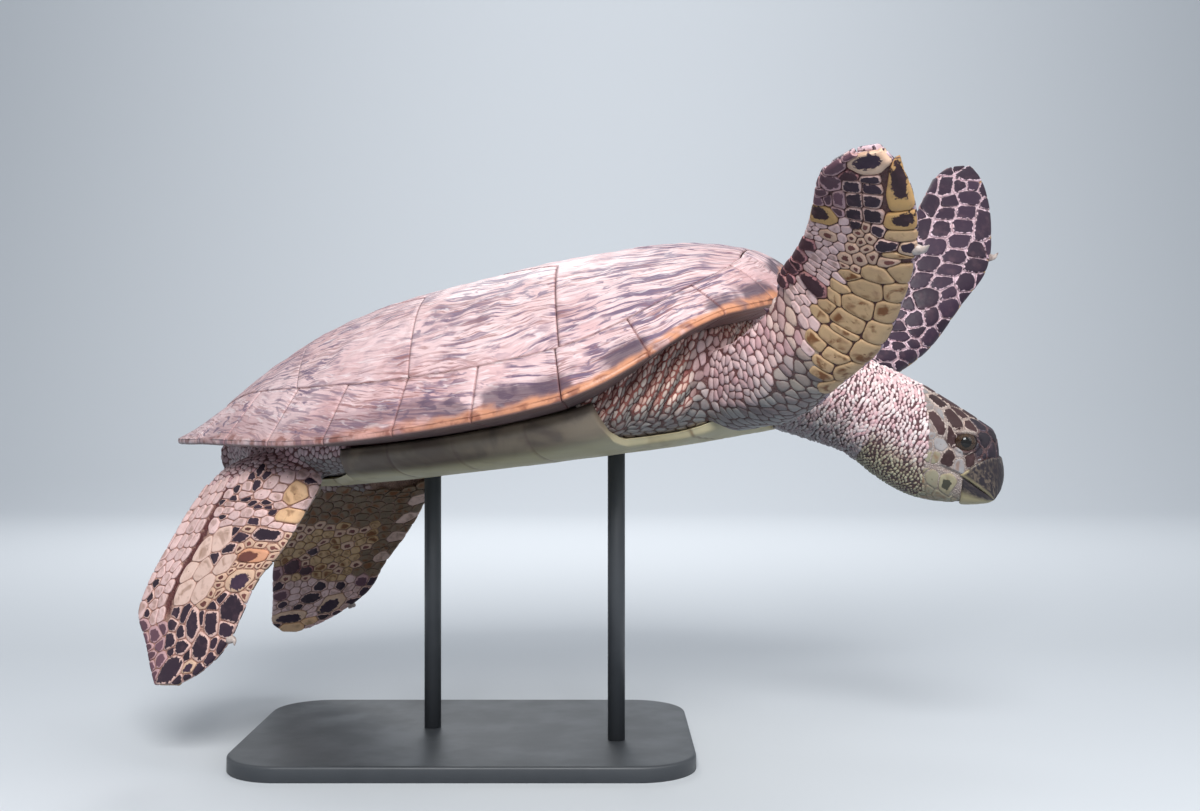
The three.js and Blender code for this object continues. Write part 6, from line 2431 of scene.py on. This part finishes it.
@dataclass
class HeadCoat:
    """The scales of the head, laid out flat by distance back from the tip and round from the crown."""

    surface: Surface
    crown: tuple = ((46, 0, 8, SOOT, 2, 0), (66, 0, 9, UMBER, 2, 0), (88, 0, 12, UMBER, 3, 0),
                    (110, 0, 8, UMBER, 0, 3))
    paired: tuple = (
        (25, 9, 6, SOOT, 2, 0), (36, 11, 7.5, SOOT, 2, 0), (28, 24, 7, SOOT, 0, 3), (40, 27, 7, SOOT, 0, 3),
        (51, 14, 7, SOOT, 2, 0), (59, 26, 7, UMBER, 0, 0), (76, 31, 7, UMBER, 6, -4),
        (87, 46, 6.5, UMBER, 8, -3),
        (98, 21, 7.5, UMBER, 4, -1), (75, 15, 6, UMBER, 2, -2), (74, 60, 5, BONE_IN_SHADE, 0, 0),
        (59, 65, 7.5, UMBER, 0, 0),
        (41, 50, 5.5, UMBER, 4, -2), (70, 47, 6, UMBER, 3, -1), (48, 62, 5, BONE_IN_SHADE, 2, 0),
        (45, 77, 11, MOSS, 1, 0),
        (30, 68, 6, REED, 2, 0), (62, 84, 6, REED, 2, 0), (44, 95, 7, REED, 3, 0), (40, 38, 5, SOOT, 0, 2),
    )
    seam: float = 1.3

    def around(self, d: Array) -> Array:
        """Radius that turns an angle into a distance round the head."""
        return (HEAD.half(d) + HEAD.high(d)) / 2

    def seated(self, flat: Array, rise: Array) -> Array:
        """Sets flat places on the skin of the head, at a height."""
        angle = math.pi / 2 - flat[:, 1] / self.around(flat[:, 0])
        outer = HEAD.place(HEAD.ring(flat[:, 0], angle, 9.0))
        inner = HEAD.place(HEAD.ring(flat[:, 0], angle, -9.0))
        out = np.empty_like(outer)
        for i, (a, b, h) in enumerate(zip(outer, inner, rise)):
            way = unit(b - a)
            hit = self.surface.along(a, way, 24)
            out[i] = ((a + b) / 2 if hit is None else hit) - way * (h + 0.15)
        return out

    def limits(self, site: Array) -> list:
        """Half planes along the mouth, the beak and the back of the head near a site."""
        d, y = float(site[0]), float(site[1])
        sign = math.copysign(1, y) if abs(y) > 1e-6 else 1
        slope = float(HEAD.nape(abs(y) + 4) - HEAD.nape(max(abs(y) - 4, 0))) / 8
        size = math.hypot(1, slope)
        found = [(1 / size, -slope * sign / size, (float(HEAD.nape(abs(y))) + 2 - slope * abs(y)) / size)]
        if d < 78:
            dd = np.array([d - 4, d + 4])
            line = (math.pi / 2 - HEAD.mouth_angle(dd)) * self.around(dd)
            slope = float(line[1] - line[0]) / 8
            here = float(line.mean())
            size = math.hypot(1, slope)
            side = 1 if abs(y) < here else -1
            nx, ny = -slope / size * side, side / size * sign
            found.append((nx, ny, side * (here - slope * d) / size - 1.6))
        ahead = np.array(max(d, 5.0))
        reach = float((math.pi / 2 - HEAD.mouth_angle(ahead)) * self.around(ahead))
        if abs(y) < reach:
            share = abs(y) / reach
            back = HEAD.upper_sheath
            slope = float(back(min(share + 0.05, 1)) - back(share - 0.05)) / (0.1 * reach)
            size = math.hypot(1, slope)
            found.append((-1 / size, slope * sign / size,
                          (-float(back(share)) - 1.4 + slope * abs(y)) / size))
        else:
            found.append((-1.0, 0.0, -40.0 if abs(y) < reach + 14 else -31.0))
        return found

    def build(self) -> None:
        """Lays the named plates and a fill of smaller ones, and builds them."""
        rng = np.random.default_rng(7)
        placed = list(self.crown)
        for d, y, size, look, long_d, long_y in self.paired:
            placed += [(d, y * s, size, look, long_d, long_y * s) for s in (1, -1)]
        for d, y, size in ((55.6, 43.0, 8.5), (47.5, 46.5, 5.5), (63.5, 39.5, 5.5)):
            placed += [(d, y * s, size, BARE, 0, 0) for s in (1, -1)]
        sites = np.array([row[:2] for row in placed], float)
        sizes = np.array([row[2] for row in placed], float)
        longs = np.array([row[4:] for row in placed], float)
        looks = [row[3] for row in placed]
        for _ in range(4000):
            d = rng.uniform(20, 122)
            top = float(self.around(np.array(d))) * math.pi
            y = rng.uniform(-top, top)
            if d > HEAD.nape(abs(y)) + 3:
                continue
            size = rng.uniform(3.0, 4.6)
            away = spines(sites, longs) - np.array([d, y])
            if (np.hypot(away[..., 0], away[..., 1]).min(1) - 0.94 * (sizes + size)).min() > 0:
                sites, sizes = np.vstack([sites, (d, y)]), np.append(sizes, size)
                longs = np.vstack([longs, (0, 0)])
                # the fill on the head's sides is the grey-white look darkened partly as painted shade
                looks.append(REED if abs(y) > 70 else (SOOT if d < 54 and abs(y) < 38 else BONE_IN_SHADE))
        outlines = cell_outlines(sites, sizes, longs, self.seam, self.limits)
        Plates("scales_head", self.seated, 77, 1.6).build(sizes, looks, outlines)


@dataclass
class Spots:
    """Where scales sit on the skin, and what the skin says there."""

    places: Array
    normals: Array
    lies: Array
    sizes: Array
    ratios: Array
    rises: Array
    tints: Array
    others: Array
    roots: Array

    def axes(self, i: int) -> tuple[Array, Array]:
        """Directions along a scale and across it."""
        across = unit(np.cross(self.normals[i], self.lies[i]))
        return np.cross(across, self.normals[i]), across


@dataclass
class Cobbles:
    """Scales that lie close together over a part of the skin, long along its lie, parted by thin seams."""

    name: str
    where: str
    seed: int
    seam: float = 0.4
    rise: float = 1.0
    tries: int = 26000
    room: float = 0.88  # least distance between two scales, in their half sizes
    bucket: float = 14.0  # side of the boxes that sort the places while they are drawn
    rings: tuple = ((1.0, -1.8), (0.97, 0.25), (0.74, 0.9))

    def scatter(self, surface: Surface, values: dict[str, Array]) -> tuple[Array, Array, Array]:
        """Places on the skin that keep their distance.

        Args:
            surface: the skin.
            values: what is kept on its points.

        Returns:
            Places, the triangle of each, and its corner weights.
        """
        rng = np.random.default_rng(self.seed)
        tri, p = surface.triangles, surface.points
        a, b, c = (p[tri[:, k]] for k in range(3))
        area = np.linalg.norm(np.cross(b - a, c - a), axis=1) / 2
        wanted = area * (values[self.where][tri].mean(1) > 0.45)
        chosen = rng.choice(len(tri), self.tries, p=wanted / wanted.sum())
        r, s = np.sqrt(rng.uniform(size=self.tries)), rng.uniform(size=self.tries)
        weights = np.stack([1 - r, r * (1 - s), r * s], -1)
        places = np.einsum("nk,nkd->nd", weights, p[tri[chosen]])
        size = np.einsum("nk,nk->n", weights, values["grit_size"][tri[chosen]])
        ratio = np.einsum("nk,nk->n", weights, values["grit_ratio"][tri[chosen]])
        lie = unit(np.einsum("nk,nkd->nd", weights, values["lie"][tri[chosen]]))
        grid: dict[tuple, list] = {}
        kept = []
        for i, place in enumerate(places):
            key = tuple((place // self.bucket).astype(int))
            near = [j for dx in (-1, 0, 1) for dy in (-1, 0, 1) for dz in (-1, 0, 1)
                    for j in grid.get((key[0] + dx, key[1] + dy, key[2] + dz), ())]
            if near:
                away = places[near] - place
                along = away @ lie[i]
                rest = (away**2).sum(1) - along**2
                if (np.sqrt(rest + (along / ratio[i]) ** 2) < self.room * (size[near] + size[i])).any():
                    continue
            grid.setdefault(key, []).append(i)
            kept.append(i)
        return places[kept], chosen[kept], weights[kept]

    def spots(self, skin: bpy.types.Object, surface: Surface) -> Spots:
        """The places of the scales, with what each of them takes from the skin."""
        keys = (self.where, "grit_size", "grit_ratio", "grit_rise", "lie", "tint", "tint_2", "unwrap")
        values = {key: read_values(skin.data, key) for key in keys}
        places, chosen, weights = self.scatter(surface, values)
        corners = surface.triangles[chosen]

        def kept(table: Array) -> Array:
            """What a table of points says at each place."""
            return np.einsum("nk,nk...->n...", weights, table[corners])

        return Spots(places, unit(kept(surface.normals)), kept(values["lie"]), kept(values["grit_size"]),
                     kept(values["grit_ratio"]), kept(values["grit_rise"]), kept(values["tint"]),
                     kept(values["tint_2"]), values["unwrap"][corners[:, 0]][:, :2])

    def outline(self, spots: Spots, tree: KDTree, i: int) -> list:
        """A scale's outline in its own plane, cut by each scale round it.

        Args:
            spots: all the scales.
            tree: their places.
            i: the scale.

        Returns:
            Its corners, of which fewer than three are left where it has no room.
        """
        place, n, size, ratio = spots.places[i], spots.normals[i], spots.sizes[i], spots.ratios[i]
        along, across = spots.axes(i)
        turn = np.arange(8) * math.pi / 4
        outline = (1.6 * size * np.stack([np.cos(turn), np.sin(turn)], -1)).tolist()
        for _, j, _ in tree.find_range(place, 3.0 * size * ratio + 2):
            away = spots.places[j] - place
            flat = np.array([away @ along / ratio, away @ across])
            d = float(np.hypot(*flat))
            if j == i or d < 1e-6 or spots.normals[j] @ n < 0.2 or len(outline) < 3:
                continue
            middle = (d * d + size**2 - spots.sizes[j] ** 2) / (2 * d)
            middle = min(max(middle, 0.3 * d), 0.7 * d) - self.seam / 2
            outline = clipped(outline, *(flat / d), middle)
        return outline

    def faces(self, count: int) -> tuple[Array, Array, Array]:
        """The faces of one scale: its sides, its top and its bottom."""
        quads = grid_faces(len(self.rings), count, True)
        total = len(self.rings) * count
        j = np.arange(count)
        k = (j + 1) % count
        last = (len(self.rings) - 1) * count
        top = np.stack([last + j, last + k, np.full(count, total)], -1)
        bottom = np.stack([k, j, np.full(count, total + 1)], -1)
        return quads, top, bottom

    def build(self, skin: bpy.types.Object, surface: Surface) -> None:
        """Builds the scales, in one piece for each side."""
        spots = self.spots(skin, surface)
        tree = KDTree(len(spots.places))
        for i, place in enumerate(spots.places):
            tree.insert(place, i)
        tree.balance()
        rng = np.random.default_rng(self.seed + 1)
        for side in Side:
            points, faces, colours, corner = [], [], [], []
            base = 0
            for i in np.where(spots.places[:, 1] * side.value > 0)[0]:
                outline = self.outline(spots, tree, i)
                if len(outline) < 3:
                    continue
                n, size = spots.normals[i], spots.sizes[i]
                along, across = spots.axes(i)
                count = 9 if size < 2.4 else 12
                edge = rounded(outline, count)
                flat_edge = edge[:, :1] * spots.ratios[i] * along + edge[:, 1:] * across
                ring = surface.nearest(spots.places[i] + flat_edge, 5.0)
                centre = ring.mean(0)
                centre = surface.nearest(centre[None], 5.0)[0]
                height = min(1.25, 0.45 + size / 5)
                rise = self.rise * spots.rises[i] * height * rng.uniform(0.8, 1.2)
                for share, lift in self.rings:
                    points.append(centre + (ring - centre) * share + n * (lift if lift < 0 else lift * rise))
                points.append(np.array([centre + n * rise, centre - n * 1.8]))
                tint = mix(spots.tints[i], spots.others[i], rng.uniform() ** 1.3) * rng.uniform(0.9, 1.06)
                # painted shade: each scale is darker on its sides and skirt than on its top
                shade = np.concatenate([np.repeat([0.6, 0.72, 0.98], count), [1.0, 0.6]])
                colours.append(np.outer(shade, tint))
                quads, top, bottom = self.faces(count)
                faces += (quads + base).tolist() + (top + base).tolist() + (bottom + base).tolist()
                spread = np.abs(edge).max()
                flat = np.vstack([edge * share / spread for share, _ in self.rings] + [np.zeros((2, 2))])
                flat[:count] = edge / spread * 1.08
                place = spots.roots[i] + flat * TUFT
                corner.append(place[np.concatenate([quads.ravel(), top.ravel(), bottom.ravel()])])
                base += len(self.rings) * count + 2
            if not points:
                continue
            name = f"{self.name}_{side.word}"
            obj = new_object(name, POSTURE.place(np.vstack(points)), faces, FINISH["granule"],
                             np.vstack(corner))
            write_values(obj.data, "tint", np.vstack(colours))
            settle(obj, "skin")


@dataclass(frozen=True)
class Grit:
    """Small raised scales scattered over a part of the skin and turned along its lie."""

    name: str
    where: str
    spacing: float
    length: float
    width: float
    height: float
    seed: int
    around: int = 6

    def bead(self) -> bpy.types.Object:
        """One bead: a low dome of unit size with a short skirt."""
        a = np.linspace(0, 2 * math.pi, self.around, endpoint=False)
        shape = ((1.0, -0.8), (0.94, 0.3), (0.5, 0.95))
        rings = np.array([np.column_stack([r * np.cos(a), r * np.sin(a), np.full(self.around, z)])
                          for r, z in shape])
        points, faces = loft(rings)
        obj = new_object(self.name + "_bead", points, faces)
        write_values(obj.data, "flat", np.column_stack([points[:, :2], np.zeros(len(points))]))
        return obj

    def tree(self) -> bpy.types.NodeTree:
        """Scatter, turn, scale, tint, realize."""
        tree = bpy.data.node_groups.new(self.name + "_scatter", "GeometryNodeTree")
        face = tree.interface
        face.new_socket("Geometry", in_out="OUTPUT", socket_type="NodeSocketGeometry")
        for label, kind in (("Skin", "Object"), ("Bead", "Object"), ("Spacing", "Float"), ("Size", "Vector"),
                            ("Seed", "Int"), ("Finish", "Material")):
            face.new_socket(label, in_out="INPUT", socket_type="NodeSocket" + kind)
        nodes, links = tree.nodes, tree.links
        given = nodes.new("NodeGroupInput").outputs

        def add(kind: str, inputs: dict, **settings: object) -> bpy.types.Node:
            """A new node with its settings and inputs."""
            node = nodes.new(kind)
            for key, value in settings.items():
                setattr(node, key, value)
            for key, value in inputs.items():
                socket = node.inputs[key]
                if isinstance(value, bpy.types.NodeSocket):
                    links.new(value, socket)
                else:
                    socket.default_value = value
            return node

        def kept(name: str, kind: str) -> bpy.types.NodeSocket:
            """What is kept on the points under a name."""
            return add("GeometryNodeInputNamedAttribute", {"Name": name}, data_type=kind).outputs[0]

        skin = add("GeometryNodeObjectInfo", {"Object": given["Skin"]}).outputs["Geometry"]
        bead = add("GeometryNodeObjectInfo", {"Object": given["Bead"]}).outputs["Geometry"]
        scatter = add("GeometryNodeDistributePointsOnFaces", {
            "Mesh": skin, "Distance Min": given["Spacing"], "Density Max": 2.0e6,
            "Density Factor": kept(self.where, "FLOAT"), "Seed": given["Seed"],
        }, distribute_method="POISSON")
        lie = add("FunctionNodeAlignRotationToVector", {
            "Rotation": scatter.outputs["Rotation"], "Vector": kept("lie", "FLOAT_VECTOR"),
        }, axis="X", pivot_axis="Z")
        chance = add("FunctionNodeRandomValue", {"Min": 0.72, "Max": 1.25, "Seed": given["Seed"]},
                     data_type="FLOAT")
        chance_out = [o for o in chance.outputs if o.enabled][0]
        grown = add("ShaderNodeVectorMath", {0: given["Size"], "Scale": chance_out}, operation="SCALE")
        grown = add("ShaderNodeVectorMath", {0: grown.outputs[0], "Scale": kept("bead_size", "FLOAT")},
                    operation="SCALE")
        placed = add("GeometryNodeInstanceOnPoints", {
            "Points": scatter.outputs["Points"], "Instance": bead, "Rotation": lie.outputs[0],
            "Scale": grown.outputs[0],
        })
        shade = add("FunctionNodeRandomValue", {"Min": 0.0, "Max": 1.0, "Seed": 5}, data_type="FLOAT")
        shade_out = [o for o in shade.outputs if o.enabled][0]
        mixed = add("ShaderNodeMix",
                    {0: shade_out, 6: kept("tint", "FLOAT_COLOR"), 7: kept("tint_2", "FLOAT_COLOR")},
                    data_type="RGBA")
        tinted = add("GeometryNodeStoreNamedAttribute", {
            "Geometry": placed.outputs[0], "Name": "tint", "Value": mixed.outputs[2],
        }, data_type="FLOAT_COLOR", domain="INSTANCE")
        real = add("GeometryNodeRealizeInstances", {"Geometry": tinted.outputs[0]})
        patch = add("ShaderNodeVectorMath", {0: kept("flat", "FLOAT_VECTOR"), "Scale": TUFT},
                    operation="SCALE")
        place = add("ShaderNodeVectorMath", {0: kept("unwrap", "FLOAT_VECTOR"), 1: patch.outputs[0]},
                    operation="ADD")
        mapped = add("GeometryNodeStoreNamedAttribute", {
            "Geometry": real.outputs[0], "Name": "OFBake", "Value": place.outputs[0],
        }, data_type="FLOAT2", domain="CORNER")
        smooth_faces = add("GeometryNodeSetShadeSmooth", {"Geometry": mapped.outputs[0]})
        dressed = add("GeometryNodeSetMaterial",
                      {"Geometry": smooth_faces.outputs[0], "Material": given["Finish"]})
        out = nodes.new("NodeGroupOutput")
        links.new(dressed.outputs[0], out.inputs[0])
        return tree

    def build(self, skin: bpy.types.Object) -> None:
        """Scatters the beads over the skin and keeps them as plain mesh."""
        bead = self.bead()
        obj = bpy.data.objects.new(self.name, bpy.data.meshes.new(self.name))
        bpy.context.scene.collection.objects.link(obj)
        modifier = obj.modifiers.new("scatter", "NODES")
        modifier.node_group = self.tree()
        values = {
            "Skin": skin, "Bead": bead, "Spacing": self.spacing * MM,
            "Size": [self.length * MM, self.width * MM, self.height * MM], "Seed": self.seed,
            "Finish": FINISH["granule"],
        }
        for item in modifier.node_group.interface.items_tree:
            if item.in_out == "INPUT":
                modifier[item.identifier] = values[item.name]
        made = evaluated(obj)
        obj.modifiers.clear()
        obj.data = made
        made.name = self.name
        used = ("flat", "unwrap", "lie", "tint_2", "bead_size")
        for spare in [a.name for a in made.attributes if a.name in used]:
            made.attributes.remove(made.attributes[spare])
        bpy.data.objects.remove(bead)
        if not made.materials:
            made.materials.append(FINISH["granule"])
        settle(obj, "skin")


# ------------------------------------------------------------------ stand and studio
@dataclass
class Stand:
    """A heavy base and two rods up to the plastron."""

    length: float = 470.0
    width: float = 310.0
    thick: float = 16.0
    corner: float = 60.0
    bevel: float = 3.0
    rod_radius: float = 9.0
    rods: tuple = (("stand_rod_front", 165.0), ("stand_rod_rear", -45.0))

    def build(self) -> None:
        """The base and both rods."""
        a, b, r = self.length / 2 - self.corner, self.width / 2 - self.corner, self.corner
        turn = np.linspace(0, math.pi / 2, 25)
        corners = [(a, b, 0), (-a, b, 1), (-a, -b, 2), (a, -b, 3)]
        outline = np.concatenate([
            np.stack([x + r * np.cos(turn + k * math.pi / 2), y + r * np.sin(turn + k * math.pi / 2)], -1)
            for x, y, k in corners
        ])
        normal = np.concatenate([
            np.stack([np.cos(turn + k * math.pi / 2), np.sin(turn + k * math.pi / 2)], -1)
            for _, _, k in corners
        ])
        rings = []
        round_off = np.linspace(0, math.pi / 2, 7)
        steps = [(-0.6, 0.0), (0.0, 0.6)]
        steps += [(-self.bevel * (1 - math.cos(t)), self.thick - self.bevel * (1 - math.sin(t)))
                  for t in round_off]
        steps += [(-self.bevel - 4, self.thick), (-self.bevel - 40, self.thick)]
        for inset, z in steps:
            ring = outline + normal * inset
            rings.append(np.column_stack([ring, np.full(len(ring), z)]))
        points, faces = loft(np.array(rings))
        settle(new_object("stand_plate", points * MM, faces, FINISH["stand"]), "stand", "stand_base")
        for node, x in self.rods:
            low, high = (np.array(c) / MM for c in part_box(node))
            centre = (low + high)[:2] / 2
            a = np.linspace(0, 2 * math.pi, 64, endpoint=False)
            profile = [(self.rod_radius, low[2] + 0.02), (self.rod_radius, high[2] - 1.0),
                       (self.rod_radius - 0.8, high[2] - 0.2)]
            rings = np.array([
                np.column_stack([centre[0] + rad * np.cos(a), centre[1] + rad * np.sin(a), np.full(64, z)])
                for rad, z in profile
            ])
            points, faces = loft(rings)
            settle(new_object(node + "_bar", points * MM, faces, FINISH["stand"]), "stand", node)


@dataclass
class Studio:
    """A plain pale floor that curves up behind, soft light from overhead, and the camera."""

    floor_colour: tuple = srgb(224, 228, 232)
    bounce_colour: tuple = srgb(136, 148, 162)
    air_colour: tuple = srgb(200, 212, 226)

    @staticmethod
    def shown(tree: bpy.types.NodeTree) -> bpy.types.NodeSocket:
        """One where the background shows, straight, in a reflection or through clear stuff; else nothing."""
        path = tree.nodes.new("ShaderNodeLightPath")
        found = path.outputs["Is Camera Ray"]
        for ray in ("Is Glossy Ray", "Is Transmission Ray"):
            larger = tree.nodes.new("ShaderNodeMath")
            larger.operation = "MAXIMUM"
            tree.links.new(found, larger.inputs[0])
            tree.links.new(path.outputs[ray], larger.inputs[1])
            found = larger.outputs[0]
        return found

    def floor(self) -> None:
        """A sweep: flat under the stand, rising behind it."""
        far, rise = 3.2, 2.4
        turn = np.linspace(0, math.pi / 2, 24)
        y = np.concatenate([[-3.0, 0.0], far + rise * np.sin(turn), [far + rise]])
        z = np.concatenate([[0.0, 0.0], rise * (1 - np.cos(turn)), [rise + 4.0]])
        x = np.array([-7.0, 7.0])
        points = np.array([[a, b, c] for b, c in zip(y, z) for a in x])
        mesh = bpy.data.meshes.new("studio_floor")
        mesh.from_pydata(points.tolist(), [], grid_faces(len(y), 2).tolist())
        mesh.polygons.foreach_set("use_smooth", [True] * len(mesh.polygons))
        obj = bpy.data.objects.new("studio_floor", mesh)
        bpy.context.scene.collection.objects.link(obj)
        g = Graph("studio_paper")
        paper = g.blend(self.shown(g.tree), self.bounce_colour, self.floor_colour)
        mesh.materials.append(g.finish(paper, 0.9))

    def lamp(self, name: str, place: Sequence[float], size: float, power: float,
             aim: Sequence[float]) -> None:
        """One square area lamp, turned to its aim."""
        data = bpy.data.lights.new(name, "AREA")
        data.shape = "SQUARE"
        data.size = size
        data.energy = power
        obj = bpy.data.objects.new(name, data)
        obj.location = place
        obj.rotation_euler = (Vector(aim) - Vector(place)).to_track_quat("-Z", "Y").to_euler()
        bpy.context.scene.collection.objects.link(obj)

    def lights(self) -> None:
        """A soft key high on the camera's side, broad light overhead, a weak fill, and a wash behind."""
        self.lamp("studio_key", (0.15, -2.2, 1.7), 1.0, 60, (0.1, 0, 0.38))
        self.lamp("studio_top", (0.3, 0.35, 2.4), 1.5, 10, (0.1, 0, 0.4))
        self.lamp("studio_back", (0.2, 1.9, 3.2), 3.0, 100, (0.1, 5.6, 1.7))
        self.lamp("studio_front", (1.9, -1.3, 1.4), 1.4, 9, (0.3, -0.1, 0.35))
        self.lamp("studio_far", (-0.4, 2.4, 2.3), 1.0, 18, (0.1, 0, 0.36))
        world = bpy.data.worlds.new("studio_air")
        world.use_nodes = True
        tree = world.node_tree
        choice = tree.nodes.new("ShaderNodeMixShader")
        tree.links.new(self.shown(tree), choice.inputs[0])
        plain = tree.nodes["Background"]
        pale = tree.nodes.new("ShaderNodeBackground")
        airs = ((plain, self.air_colour, 0.35), (pale, self.floor_colour, 1.0))
        for k, (node, colour, strength) in enumerate(airs):
            node.inputs["Color"].default_value = colour
            node.inputs["Strength"].default_value = strength
            tree.links.new(node.outputs[0], choice.inputs[k + 1])
        tree.links.new(choice.outputs[0], tree.nodes["World Output"].inputs["Surface"])
        bpy.context.scene.world = world

    def camera(self) -> None:
        """A level camera at the turtle's right side."""
        data = bpy.data.cameras.new("studio_camera")
        data.sensor_width = 36.0
        data.lens = 41.94
        obj = bpy.data.objects.new("studio_camera", data)
        obj.location = (0.1384, -1.5, 0.3637)
        obj.rotation_euler = (math.pi / 2, 0, 0)
        bpy.context.scene.collection.objects.link(obj)
        bpy.context.scene.camera = obj
        bpy.context.scene.view_settings.view_transform = "Standard"

    def build(self) -> None:
        """Floor, lights and camera."""
        self.floor()
        self.lights()
        self.camera()


FINISH: dict[str, bpy.types.Material] = {}


def main() -> None:
    """Builds every piece in order."""
    kinds = {
        "shell": ShellHorn, "belly": BellyHorn, "skin": BareSkin, "scale": ScaleHorn, "granule": Granule,
        "beak": BeakHorn, "eye": WetEye, "claw": ClawHorn, "stand": StandPaint,
    }
    for key, kind in kinds.items():
        FINISH[key] = kind().material()
    Carapace().build()
    BELLY.plastron()
    skin = Skin().build()
    for number, side in enumerate(Side):
        front, hind = LIMBS[f"front_flipper_{side.word}"], LIMBS[f"hind_flipper_{side.word}"]
        LimbCoat(front, Face.UNDER, under_front(), 101 + number).build()
        LimbCoat(front, Face.UPPER, upper_front(), 111 + number).build()
        LimbCoat(hind, Face.UPPER, upper_hind(), 121 + number).build()
        LimbCoat(hind, Face.UNDER, under_hind(), 131 + number).build()
    surface = Surface(skin)
    HeadCoat(surface).build()
    Cobbles("scales_shoulder", "grit_shoulder", 2).build(skin, surface)
    Cobbles("scales_rump", "grit_hind", 3, tries=12000).build(skin, surface)
    Grit("beads_neck", "grit_neck", 3.3, 3.0, 1.75, 1.2, 1).build(skin)
    for side in Side:
        Eye().build(side)
        Claw().build(LIMBS[f"front_flipper_{side.word}"], 0.59, f"front_claw_{side.word}")
        Claw().build(LIMBS[f"hind_flipper_{side.word}"], 0.72, f"hind_claw_{side.word}")
    Beak().build()
    Stand().build()
    Studio().build()


if __name__ == "__main__":
    main()
